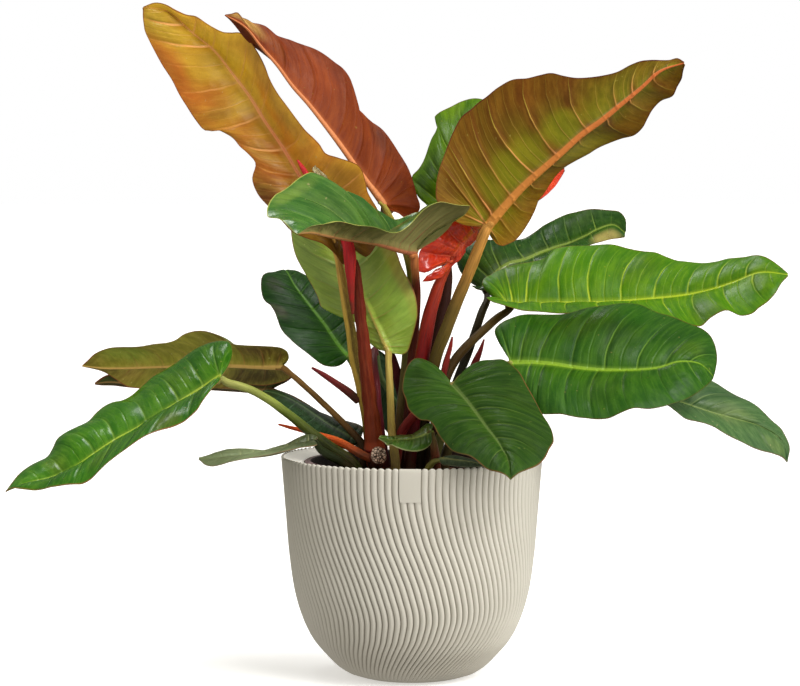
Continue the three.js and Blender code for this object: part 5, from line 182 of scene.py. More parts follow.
  left=[[25.9,-80.0,213.8],[26.3,-81.9,213.4],[26.8,-83.9,213.0],[27.3,-85.9,212.6],[27.9,-88.0,212.3],[28.5,-90.2,212.1],[29.3,-92.3,212.1],[30.1,-94.6,212.3],[30.9,-96.8,212.6],[31.8,-99.1,212.9],[32.8,-101.3,213.2],[33.9,-103.7,213.4],[35.4,-106.1,213.6],[37.2,-108.3,213.5],[39.2,-110.4,213.5],[41.2,-112.4,213.4],[43.1,-114.2,213.4],[44.8,-115.9,213.4],[46.5,-117.4,213.4],[48.4,-118.6,213.4],[50.3,-119.5,213.4],[52.3,-119.9,213.4],[54.3,-120.1,213.4],[56.3,-120.0,213.5],[58.3,-119.8,213.5],[60.1,-119.3,213.6],[61.9,-118.6,213.6],[63.4,-117.5,213.6],[64.5,-116.1,213.5],[65.3,-114.5,213.4],[66.1,-113.0,213.3],[66.9,-111.4,213.2],[67.6,-110.0,213.0]],
  right=[[25.9,-74.0,216.0],[26.4,-73.3,216.2],[26.8,-72.5,216.6],[27.3,-71.5,216.9],[27.9,-70.5,217.3],[28.5,-69.4,217.7],[29.4,-68.3,218.1],[30.6,-67.4,218.4],[32.0,-66.7,218.6],[33.6,-66.2,218.8],[35.2,-66.0,218.9],[37.0,-66.1,218.9],[38.9,-66.7,218.8],[40.9,-67.5,218.7],[42.9,-68.6,218.6],[44.9,-70.0,218.4],[46.9,-71.6,218.1],[48.9,-73.6,217.9],[50.9,-76.1,217.7],[53.0,-78.9,217.4],[54.9,-82.0,217.2],[56.7,-85.0,216.9],[58.4,-87.9,216.6],[59.8,-90.6,216.2],[61.1,-93.0,215.9],[62.2,-95.4,215.6],[63.3,-97.7,215.3],[64.3,-100.0,215.0],[65.1,-102.2,214.8],[65.8,-104.3,214.7],[66.5,-106.3,214.5],[67.1,-108.2,214.4],[67.6,-110.0,214.2]],
  wl=[0.00,0.07,0.14,0.22,0.31,0.41,0.52,0.63,0.74,0.86,0.99,1.12,1.28,1.44,1.62,1.79,1.95,2.11,2.27,2.42,2.57,2.72,2.86,3.00,3.12,3.25,3.37,3.49,3.60,3.71,3.81,3.91,4.00],
  wr=[0.00,0.07,0.14,0.22,0.31,0.41,0.52,0.63,0.74,0.86,0.99,1.12,1.28,1.44,1.62,1.79,1.95,2.11,2.27,2.42,2.57,2.72,2.86,3.00,3.12,3.25,3.37,3.49,3.60,3.71,3.81,3.91,4.00]),
}
# stalks and shoots: x, y, z, radius from the crown outwards
PATHS = {
 'leaf_01_petiole': [[-36.4,14.0,190.3,6.2],[-38.8,13.0,213.6,6.0],[-42.6,11.0,244.7,5.6],[-47.8,9.0,273.8,5.4],[-54.6,6.0,302.9,5.2],[-58.2,3.0,330.0,5.0],[-63.3,-1.0,360.8,4.6],[-67.5,-4.0,384.8,4.0],[-70.8,-5.0,402.9,3.4],[-76.1,-2.0,420.0,3.0],[-78.6,3.0,429.4,2.6]],
 'leaf_02_petiole': [[-16.1,26.0,190.9,4.8],[-13.7,15.0,220.2,4.8],[-10.8,15.0,252.1,4.6],[-7.0,20.0,282.6,4.6],[-4.3,25.0,313.2,4.5],[-2.1,27.0,342.1,4.2],[-0.4,24.0,367.4,4.0],[-1.4,20.0,388.7,3.8],[-7.5,14.0,411.0,3.4],[-18.0,8.0,434.1,3.0],[-24.2,4.0,445.6,2.8],[-27.1,5.0,450.4,2.4]],
 'leaf_03_petiole': [[-10.3,6.0,191.1,5.0],[-5.5,3.0,226.2,4.8],[-2.2,7.0,264.4,4.6],[0.2,11.0,302.6,4.5],[2.1,12.0,326.6,4.4],[3.6,9.0,346.0,4.3],[4.3,6.0,365.3,4.2],[3.9,-8.0,379.2,4.0],[2.4,-27.0,395.1,3.6],[0.5,-32.0,403.8,3.2]],
 'leaf_04_petiole': [[-2.7,-8.0,192.7,5.4],[0.2,-9.0,227.4,5.4],[3.0,-8.0,256.0,5.4],[6.8,-6.0,289.4,5.4],[11.6,-4.0,318.0,5.2],[15.9,0.0,341.6,5.0],[21.2,5.0,360.5,4.6],[28.0,10.0,379.5,4.0],[33.7,10.5,391.0,3.4],[37.0,8.0,396.8,2.8]],
 'leaf_05_petiole': [[6.0,4.0,191.4,6.2],[9.3,4.0,226.1,6.0],[14.1,1.0,260.1,5.8],[18.7,-8.0,289.5,5.8],[24.8,-17.0,314.0,5.9],[34.1,-25.0,338.2,6.0],[43.0,-29.0,362.1,5.8],[52.8,-32.0,385.8,5.6],[61.2,-34.0,407.6,5.2],[68.7,-35.0,426.4,4.6],[71.5,-35.0,431.1,4.0]],
 'leaf_06_petiole': [[-3.6,20.0,189.6,5.0],[2.2,21.0,224.4,5.0],[9.0,23.0,258.2,5.1],[15.8,26.0,291.9,5.1],[21.6,29.0,315.9,5.0],[27.4,32.0,339.9,4.8],[32.8,37.0,363.9,4.6],[34.3,43.0,387.9,4.2],[31.5,49.0,412.0,3.6],[27.6,53.0,430.4,3.0],[25.2,55.0,440.1,2.6]],
 'leaf_07_petiole': [[19.6,16.0,192.0,4.8],[27.4,26.0,223.9,4.6],[36.3,38.0,256.9,4.5],[45.2,49.0,282.4,4.4],[54.3,60.0,304.1,4.3],[62.4,72.0,326.0,4.2],[69.6,84.0,345.0,4.0],[74.8,94.0,356.4,3.4],[74.6,103.0,363.0,2.8]],
 'leaf_08_petiole': [[17.4,-6.0,192.5,5.2],[19.8,-4.0,226.9,5.0],[26.5,0.0,260.1,5.0],[32.8,7.0,285.5,4.8],[42.6,15.0,303.3,4.6],[56.2,24.0,318.1,4.4],[71.0,34.0,331.1,4.2],[83.9,44.0,341.7,3.9],[92.9,51.0,347.2,3.4],[97.0,56.0,350.4,2.8]],
 'leaf_09_petiole': [[18.2,-20.0,194.1,5.0],[26.7,-22.0,228.6,4.9],[39.0,-25.0,257.5,4.7],[54.9,-30.0,278.8,4.5],[70.8,-35.0,291.5,4.2],[82.8,-41.0,298.6,3.8],[92.0,-46.0,302.2,3.2]],
 'leaf_10_petiole': [[-18.0,-17.0,193.7,4.8],[-14.2,-20.0,214.1,4.8],[-9.4,-27.0,236.8,4.7],[0.0,-36.0,250.9,4.6],[11.3,-48.0,263.3,4.4],[24.2,-62.0,275.7,4.0],[34.3,-71.0,283.0,3.4]],
 'leaf_11_petiole': [[29.1,6.0,191.1,4.9],[35.7,4.0,220.3,4.8],[49.9,-2.0,247.8,4.6],[74.5,-10.0,269.6,4.4],[102.8,-17.0,283.5,4.0],[129.1,-22.0,290.6,3.6],[142.3,-24.0,291.2,3.0]],
 'leaf_12_petiole': [[-49.4,-18.0,191.9,6.0],[-56.9,-21.0,206.6,6.0],[-70.2,-24.0,216.4,5.8],[-85.3,-27.0,228.2,5.2],[-100.3,-29.0,240.3,4.6],[-118.1,-33.0,255.4,4.2],[-135.8,-39.0,268.7,3.9],[-150.5,-44.0,277.6,3.8],[-163.5,-48.0,282.6,3.8],[-173.7,-50.0,285.6,3.4],[-179.6,-52.0,289.0,2.8]],
 'leaf_13_petiole': [[-48.7,-2.0,194.0,4.4],[-46.7,-1.0,219.9,4.0],[-62.2,8.0,238.2,3.3],[-80.7,19.0,255.6,3.0],[-100.4,30.0,273.1,2.8],[-116.2,38.0,286.1,2.8],[-125.1,43.0,292.6,2.6]],
 'leaf_14_petiole': [[-44.3,29.0,190.5,3.9],[-46.2,27.0,209.2,3.6],[-49.5,23.0,218.9,3.2],[-51.9,22.0,222.9,2.6]],
 'leaf_15_petiole': [[-51.1,-33.0,191.7,4.6],[-58.5,-41.0,202.1,4.6],[-67.8,-48.0,211.4,4.4],[-78.0,-51.0,217.3,4.2],[-86.4,-53.0,223.2,3.6],[-91.1,-54.0,229.0,2.6]],
 'leaf_16_petiole': [[-33.6,27.0,190.8,4.4],[-36.5,27.0,223.8,4.2],[-41.8,26.0,253.1,4.0],[-49.0,25.0,277.4,3.8],[-55.7,24.0,294.9,3.2],[-59.6,24.0,302.6,2.6]],
 'leaf_17_petiole': [[-15.1,-34.0,193.7,4.6],[-16.0,-33.0,210.7,4.4],[-18.9,-29.0,235.0,3.8],[-20.2,-23.0,264.0,3.5],[-21.3,-15.0,286.7,3.3],[-22.3,-8.0,302.0,3.2],[-22.8,-2.0,310.6,3.0]],
 'leaf_18_petiole': [[-24.8,13.0,190.4,4.8],[-27.2,13.0,210.7,4.8],[-30.6,15.0,234.7,4.6],[-33.0,18.0,258.6,4.4],[-35.0,26.0,282.2,4.2],[-37.0,38.0,298.8,3.8],[-36.6,50.0,307.7,3.0]],
 'leaf_19_petiole': [[-25.9,38.0,189.5,4.2],[-44.4,44.0,212.4,3.8],[-70.0,55.0,230.9,3.4],[-94.9,70.0,247.3,3.0],[-118.0,84.0,259.9,2.8],[-136.2,93.0,266.1,2.6]],
 'leaf_20_petiole': [[24.4,-54.0,196.0,4.2],[22.4,-60.0,211.7,4.1],[20.5,-66.0,226.4,3.9],[18.6,-68.0,236.9,3.0],[18.1,-68.0,240.7,2.4]],
 'leaf_21_petiole': [[11.2,-60.0,196.6,3.4],[14.9,-64.0,206.5,3.2],[20.4,-70.0,213.2,2.8],[25.0,-75.0,215.3,2.2]],
 'shoot_sheath': [[-34.2,-8.0,192.7,9.5],[-35.2,-9.0,213.0,9.0],[-37.5,-11.0,237.1,7.8],[-40.4,-13.0,266.0,6.8],[-43.6,-15.0,294.8,6.2],[-46.5,-16.0,323.5,5.8],[-49.3,-17.0,352.1,5.2],[-51.6,-17.0,375.8,4.6],[-53.5,-17.0,391.9,3.8],[-54.1,-17.0,399.5,2.4]],
 'new_shoot': [[-55.8,-25.0,348.7,1.4],[-56.9,-25.5,361.9,2.6],[-57.8,-26.0,376.2,3.6],[-58.5,-26.0,392.2,5.2],[-59.0,-25.0,401.7,6.0],[-60.4,-24.0,413.0,5.8],[-65.2,-22.0,426.1,5.2],[-73.7,-20.0,441.2,4.6],[-85.1,-18.0,458.2,4.0],[-95.6,-16.0,474.3,3.2],[-104.1,-14.0,487.5,2.2],[-108.4,-13.0,494.1,0.8]],
 'cataphyll_1': [[-51.2,9.0,263.2,3.8],[-62.1,6.0,273.1,3.8],[-74.5,2.0,282.1,3.2],[-85.9,-2.0,290.0,2.4],[-95.3,-6.0,296.1,1.2]],
 'cataphyll_2': [[-38.9,-22.0,210.5,4.0],[-49.3,-22.0,215.8,4.1],[-61.7,-19.0,222.6,3.9],[-74.2,-16.0,228.1,3.3],[-89.4,-15.0,233.2,2.9],[-108.3,-18.0,238.3,2.2],[-126.7,-21.0,243.3,0.9]],
 'cataphyll_3': [[20.7,-5.0,234.7,4.0],[23.5,-11.0,248.6,4.3],[26.8,-14.0,266.1,4.2],[29.1,-14.0,285.2,3.8],[32.5,-14.0,302.4,3.3],[36.3,-14.0,315.7,2.4],[38.4,-14.0,326.2,1.0]],
 'cataphyll_4': [[37.6,2.0,228.2,4.2],[42.4,5.0,247.2,4.2],[47.2,6.0,264.4,4.1],[53.9,7.0,282.6,4.0],[60.7,9.0,299.8,3.5],[66.0,11.0,312.2,2.6],[69.4,13.0,322.2,1.0]],
 'cataphyll_5': [[-9.4,36.0,189.8,4.6],[-8.4,31.0,223.4,4.8],[-7.4,30.0,247.9,5.0],[-9.8,31.0,270.1,5.2],[-16.1,30.0,294.5,4.8],[-22.9,29.0,315.9,3.6],[-28.7,27.0,334.4,1.2]],
 'cut_stub': [[-34.7,-12.0,206.6,7.6],[-33.7,-18.0,209.1,7.8],[-32.4,-25.0,212.3,7.9],[-31.4,-30.0,214.4,7.7]],
}

# ------------------------------------------------------------------ small maths
def cr(T, x):
    T = np.asarray(T, float); n = len(T) - 1
    x = np.clip(np.asarray(x, float), 0, 1) * n
    i = np.minimum(x.astype(int), n - 1); f = x - i
    def g(k):
        kk = np.clip(k, 0, n); v = T[kk].astype(float).copy()
        lo, hi = k < 0, k > n
        if T.ndim == 1:
            v = np.where(lo, 2 * T[0] - T[1], v); v = np.where(hi, 2 * T[n] - T[n - 1], v)
        else:
            v[lo] = 2 * T[0] - T[1]; v[hi] = 2 * T[n] - T[n - 1]
        return v
    p0, p1, p2, p3 = g(i - 1), g(i), g(i + 1), g(i + 2)
    if T.ndim > 1: f = f[..., None]
    return 0.5 * (2 * p1 + (p2 - p0) * f + (2 * p0 - 5 * p1 + 4 * p2 - p3) * f * f + (3 * p1 - p0 - 3 * p2 + p3) * f ** 3)

def unit(v): return v / np.maximum(np.linalg.norm(v, axis=-1, keepdims=True), 1e-12)
def smooth(a, b, x):
    t = np.clip((x - a) / (b - a), 0, 1); return t * t * (3 - 2 * t)

class Waves:
    """smooth seeded noise in 1 to 3 dimensions from a few sine waves"""
    def __init__(self, seed, dim, n=7, lo=0.6, hi=2.2):
        r = np.random.RandomState(seed)
        self.k = r.normal(size=(n, dim)); self.k *= (r.uniform(lo, hi, n) / np.linalg.norm(self.k, axis=1))[:, None]
        self.p = r.uniform(0, 2 * np.pi, n); self.a = r.uniform(.5, 1, n); self.a /= self.a.sum() * .55
    def __call__(self, x):
        x = np.asarray(x, float)
        if x.ndim == 0 or (self.k.shape[1] == 1 and x.shape[-1:] != (1,)): x = x[..., None]
        return (np.sin(x @ self.k.T * 2 * np.pi + self.p) * self.a).sum(-1)

def srgb(c):
    c = np.array(c[:3], float) / 255.0
    return tuple(np.where(c <= 0.04045, c / 12.92, ((c + 0.055) / 1.055) ** 2.4)) + (1.0,)

# ------------------------------------------------------------------ node helper
class NT:
    def __init__(self, name):
        self.mat = bpy.data.materials.new(name); self.mat.use_nodes = True
        self.t = self.mat.node_tree; self.n = self.t.nodes; self.l = self.t.links
        for x in list(self.n): self.n.remove(x)
        self.out = self.n.new("ShaderNodeOutputMaterial")
        self.bsdf = self.n.new("ShaderNodeBsdfPrincipled")
        self.l.new(self.bsdf.outputs[0], self.out.inputs[0])
    def put(self, sock, val):
        if isinstance(val, bpy.types.NodeSocket): self.l.new(val, sock)
        elif val is not None:
            if sock.type == "RGBA" and len(val) == 3: val = tuple(val) + (1.0,)
            sock.default_value = val
    def m(self, op, a, b=None, c=None, clamp=False):
        n = self.n.new("ShaderNodeMath"); n.operation = op; n.use_clamp = clamp
        for i, v in enumerate((a, b, c)):
            if v is not None: self.put(n.inputs[i], v)
        return n.outputs[0]
    def vm(self, op, a, b=None, scale=None):
        n = self.n.new("ShaderNodeVectorMath"); n.operation = op
        self.put(n.inputs[0], a)
        if b is not None: self.put(n.inputs[1], b)
        if scale is not None: self.put(n.inputs["Scale"], scale)
        return n.outputs["Value"] if op in ("LENGTH", "DISTANCE", "DOT_PRODUCT") else n.outputs[0]
    def xyz(self, x, y=0.0, z=0.0):
        n = self.n.new("ShaderNodeCombineXYZ")
        for i, v in enumerate((x, y, z)): self.put(n.inputs[i], v)
        return n.outputs[0]
    def sep(self, v):
        n = self.n.new("ShaderNodeSeparateXYZ"); self.put(n.inputs[0], v); return n.outputs
    def attr(self, name):
        n = self.n.new("ShaderNodeAttribute"); n.attribute_name = name; return n.outputs["Vector"]
    def step(self, x, a, b, lo=0.0, hi=1.0, kind="SMOOTHSTEP"):
        n = self.n.new("ShaderNodeMapRange"); n.interpolation_type = kind; n.clamp = True
        self.put(n.inputs["Value"], x)
        if a > b: a, b, lo, hi = b, a, hi, lo
        for k, v in (("From Min", a), ("From Max", b), ("To Min", lo), ("To Max", hi)): n.inputs[k].default_value = v
        return n.outputs["Result"]
    def mix(self, f, a, b, blend="MIX"):
        n = self.n.new("ShaderNodeMix"); n.data_type = "RGBA"; n.blend_type = blend; n.clamp_factor = True
        self.put(n.inputs[0], f); self.put(n.inputs[6], a); self.put(n.inputs[7], b)
        return n.outputs[2]
    def mixf(self, f, a, b):
        n = self.n.new("ShaderNodeMix"); n.data_type = "FLOAT"; self.put(n.inputs[0], f); self.put(n.inputs[2], a); self.put(n.inputs[3], b)
        return n.outputs[0]
    def noise(self, vec, scale, detail=3.0, rough=0.55, dist=0.0):
        n = self.n.new("ShaderNodeTexNoise"); self.put(n.inputs["Vector"], vec)
        n.inputs["Scale"].default_value = scale; n.inputs["Detail"].default_value = detail
        n.inputs["Roughness"].default_value = rough; n.inputs["Distortion"].default_value = dist
        return n.outputs["Fac"]
    def voronoi(self, vec, scale, feature="F1"):
        n = self.n.new("ShaderNodeTexVoronoi"); n.feature = feature; self.put(n.inputs["Vector"], vec)
        n.inputs["Scale"].default_value = scale; return n.outputs["Distance"]
    def ramp(self, f, stops):
        n = self.n.new("ShaderNodeValToRGB"); self.put(n.inputs[0], f); e = n.color_ramp.elements
        while len(e) > 1: e.remove(e[-1])
        e[0].position, e[0].color = stops[0][0], srgb(stops[0][1])
        for p, c in stops[1:]:
            x = e.new(p); x.color = srgb(c)
        return n.outputs[0]
    def obj(self):
        n = self.n.new("ShaderNodeTexCoord"); return n.outputs["Object"]
    def bump(self, height, dist, strength=1.0, normal=None):
        n = self.n.new("ShaderNodeBump"); self.put(n.inputs["Height"], height)
        n.inputs["Distance"].default_value = dist; n.inputs["Strength"].default_value = strength
        if normal is not None: self.put(n.inputs["Normal"], normal)
        return n.outputs[0]
    def set(self, **kw):
        names = dict(color="Base Color", rough="Roughness", normal="Normal", spec="Specular IOR Level", coat="Coat Weight",
                     coat_rough="Coat Roughness", glow="Emission Color", glow_k="Emission Strength", sss="Subsurface Weight", ior="IOR", sheen="Sheen Weight")
        for k, v in kw.items(): self.put(self.bsdf.inputs[names[k]], v)
        return self.mat

# ------------------------------------------------------------------ leaf blades
def surface(T, r, v):
    r0 = T["share"]; m = np.clip((r - r0) / (1 - r0), 0, 1)
    M, L, R = cr(T["mid"], m), cr(T["left"], r), cr(T["right"], r)
    e = 0.02
    f = unit(cr(T["mid"], np.clip(m + e, 0, 1)) - cr(T["mid"], np.clip(m - e, 0, 1)))
    rw = np.clip(r, r0 + 0.06, 0.97)
    n = unit(np.cross(f, cr(T["left"], rw) - cr(T["right"], rw)))
    P = np.zeros((len(r), len(v), 3)); H = np.zeros((len(r), len(v)))
    for j, vv in enumerate(v):
        E = L if vv < 0 else R
        a = abs(vv); h = np.linalg.norm(E - M, axis=1, keepdims=True)
        back = -f * (0.10 * h * 4 * a * (1 - a)) * np.clip(m * 4, 0, 1)[:, None]
        P[:, j] = M + (E - M) * a + n * (T["bulge"] * h * 4 * a * (1 - a) * 0.9) + back
        H[:, j] = h[:, 0]
    return P, H, m

def blade(name, nr, nc, seed=1, thick=0.75, quilt=1.1, wave=1.0, ridge=None, crumple=1.0, gr=1.0):
    T = LEAVES[name]; nc += nc % 2
    r = np.linspace(0, 1, nr); k = np.linspace(-1, 1, nc + 1); v = np.sign(k) * np.abs(k) ** 1.45
    P, H, m = surface(T, r, v); mid = nc // 2
    wl, wr = cr(T["wl"], r), cr(T["wr"], r)
    W = np.where(v[None, :] < 0, wl[:, None], wr[:, None])
    dPr, dPv = np.gradient(P, r, axis=0), np.gradient(P, v, axis=1)
    N = np.cross(dPv, dPr); area = np.linalg.norm(N, axis=-1)
    dw = np.gradient(np.stack([wl, wr]), r, axis=1)
    DW = np.where(v[None, :] < 0, dw[0][:, None], dw[1][:, None])
    S = area / np.maximum(np.linalg.norm(dPv, axis=-1), 1e-6) / np.maximum(DW, 1e-3)
    first = np.argmax(r >= T["share"] + 0.03)
    N = unit(N); fan = r < T["share"] + 0.02
    N[fan, mid] = unit(N[first, mid - 1] + N[first, mid + 1])
    # round the normals off a little so that the two skins stay apart smoothly
    for _ in range(3):
        Q = N.copy(); Q[1:-1] += N[2:] + N[:-2]; Q[:, 1:-1] += N[:, 2:] + N[:, :-2]; N = unit(Q)
        N[fan, mid] = unit(N[first, mid - 1] + N[first, mid + 1])
    a = np.abs(v)[None, :] * np.ones((nr, 1)); hm = a * H
    env = np.clip(a / 0.25, 0, 1) ** 1.2 * np.clip((1 - a) / 0.2, 0, 1) ** 0.8
    tipf = smooth(1.0, 0.9, r)[:, None] * smooth(0, 0.06, r)[:, None]
    q = quilt * (np.abs(np.sin(np.pi * W)) ** 0.7 - 0.35) * env * tipf * np.clip(S / 14, 0.15, 1.3)
    und = Waves(seed, 2, 6, 0.5, 1.6)(np.stack([W * 0.55 + (v[None, :] > 0) * 7.3, a * 0.7], -1))
    q += wave * und * a ** 1.6 * np.clip((1 - r) / 0.12, 0, 1)[:, None] * 1.3
    fine = Waves(seed + 50, 2, 8, 2.0, 5.0)(np.stack([W * 0.8, v[None, :] * 1.5 + 0 * W], -1))
    q += fine * 0.16 * crumple * env
    rr = T["ridge"] if ridge is None else ridge        # radius of the midrib where it leaves the stalk
    rad = (rr * (1 - m) ** 0.75 + 0.45)[:, None] * np.where(fan, smooth(-0.02, T["share"], r) * 0.6 + 0.4, 1)[:, None]
    x = hm / np.maximum(rad * 1.25, 1e-3)
    rib = rad * 0.95 * np.sqrt(np.clip(1 - x * x, 0, 1)) * smooth(0.995, 0.9, r)[:, None]
    groove = (0.55 * np.exp(-(hm / (0.5 * rad + 0.35)) ** 2) - 0.65 * np.exp(-(hm / (1.2 * rad + 0.8)) ** 2)) * smooth(1.0, 0.85, r)[:, None] * smooth(T["share"] * 0.6, T["share"] + .05, r)[:, None]
    groove = groove * gr
    th = thick * (0.6 + 0.4 * np.clip((1 - a) / 0.15, 0, 1))
    up = P + N * (q + groove + th / 2)[..., None]
    lo = P + N * (q - th / 2 - rib)[..., None]
    nv = nc + 1
    idx = np.arange(nr * nv).reshape(nr, nv)
    nf = int(fan.sum())
    idx[1:nf, mid] = idx[0, mid]                      # the fan turns about one point
    for layer in (up, lo): layer[1:nf, mid] = layer[0, mid]
    off = nr * nv
    V = np.concatenate([up.reshape(-1, 3), lo.reshape(-1, 3)])
    faces, corner, kind = [], [], []
    def quad(ids, ij, k):
        keep = [t for t in range(4) if ids[t] != ids[t - 1]]
        if len(keep) < 3: return
        faces.append([ids[t] for t in keep]); corner.extend(ij[t] for t in keep); kind.append(k)
    for i in range(nr - 1):
        for j in range(nv - 1):
            s = 0 if j < mid else 1
            ij = [(i, j, s), (i, j + 1, s), (i + 1, j + 1, s), (i + 1, j, s)]
            ids = [int(idx[b[0], b[1]]) for b in ij]
            quad(ids, ij, 0)
            quad([t + off for t in reversed(ids)], ij[::-1], 1)
    loop = [(0, j) for j in range(nv)] + [(i, nv - 1) for i in range(1, nr)] + [(nr - 1, j) for j in range(nv - 2, -1, -1)] + [(i, 0) for i in range(nr - 2, 0, -1)]
    for c, d in zip(loop, loop[1:] + loop[:1]):
        s = 0 if (c[1] + d[1]) / 2 < mid else 1
        p, q2 = int(idx[c]), int(idx[d])
        quad([q2, p, p + off, q2 + off], [(*d, s), (*c, s), (*c, s), (*d, s)], 2)
    me = bpy.data.meshes.new(name + "_blade_look")
    used = np.unique(np.concatenate([np.array(f) for f in faces])); remap = -np.ones(len(V), int); remap[used] = np.arange(len(used))
    me.from_pydata((V[used] * 0.001).tolist(), [], [[int(remap[t]) for t in f] for f in faces])
    me.polygons.foreach_set("use_smooth", [True] * len(faces))
    me.polygons.foreach_set("material_index", [0 if t == 0 else 1 if t == 1 else 0 for t in kind])
    C = np.array(corner)
    w = np.where(C[:, 2] == 0, wl[C[:, 0]], wr[C[:, 0]])
    ca = np.stack([w, v[C[:, 1]], r[C[:, 0]]], -1)
    cb = np.stack([S[C[:, 0], C[:, 1]], H[C[:, 0], C[:, 1]], m[C[:, 0]]], -1)
    for nm, A in (("ca", ca), ("cb", cb)):
        at = me.attributes.new(nm, "FLOAT_VECTOR", "CORNER"); at.data.foreach_set("vector", A.astype(np.float32).ravel())
    kind = np.array(kind)
    bm = bmesh.new(); bm.from_mesh(me); bm.faces.ensure_lookup_table()
    for e in bm.edges:
        if len(e.link_faces) == 2 and (kind[e.link_faces[0].index] == 2) != (kind[e.link_faces[1].index] == 2): e.smooth = False
    bm.to_mesh(me); bm.free(); me.update()
    ob = bpy.data.objects.new(name + "_blade_look", me); scene.collection.objects.link(ob)
    me.materials.append(leaf_material(name, "upper", seed)); me.materials.append(leaf_material(name, "under", seed + 1))
    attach(ob, "root"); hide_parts(name + "_blade")
    return ob

# colours are 0 to 255. patches: (v, r, half width in v, half length in r, colour, strength)
DEFAULT = dict(base=(70, 130, 45), base2=(52, 108, 38), patches=[], inter=(110, 160, 50), inter_k=0.35, streak=0.35, dark=(30, 62, 24),
               light=(120, 165, 70), speck=0.25, vein=(150, 185, 80), vein2=(110, 150, 60), vein_w=0.8, vein_k=0.62, sec_k=0.13, ter_k=0.08,
               mid=(165, 190, 85), mid2=(140, 170, 70), mid_w=2.4, halo=0.22, rim=(120, 60, 40), rim_w=0.7, rim_k=0.8, bump=0.9,
               rough=0.32, spec=0.42, bias=None, vein_lo=0.4, _share=0.22)
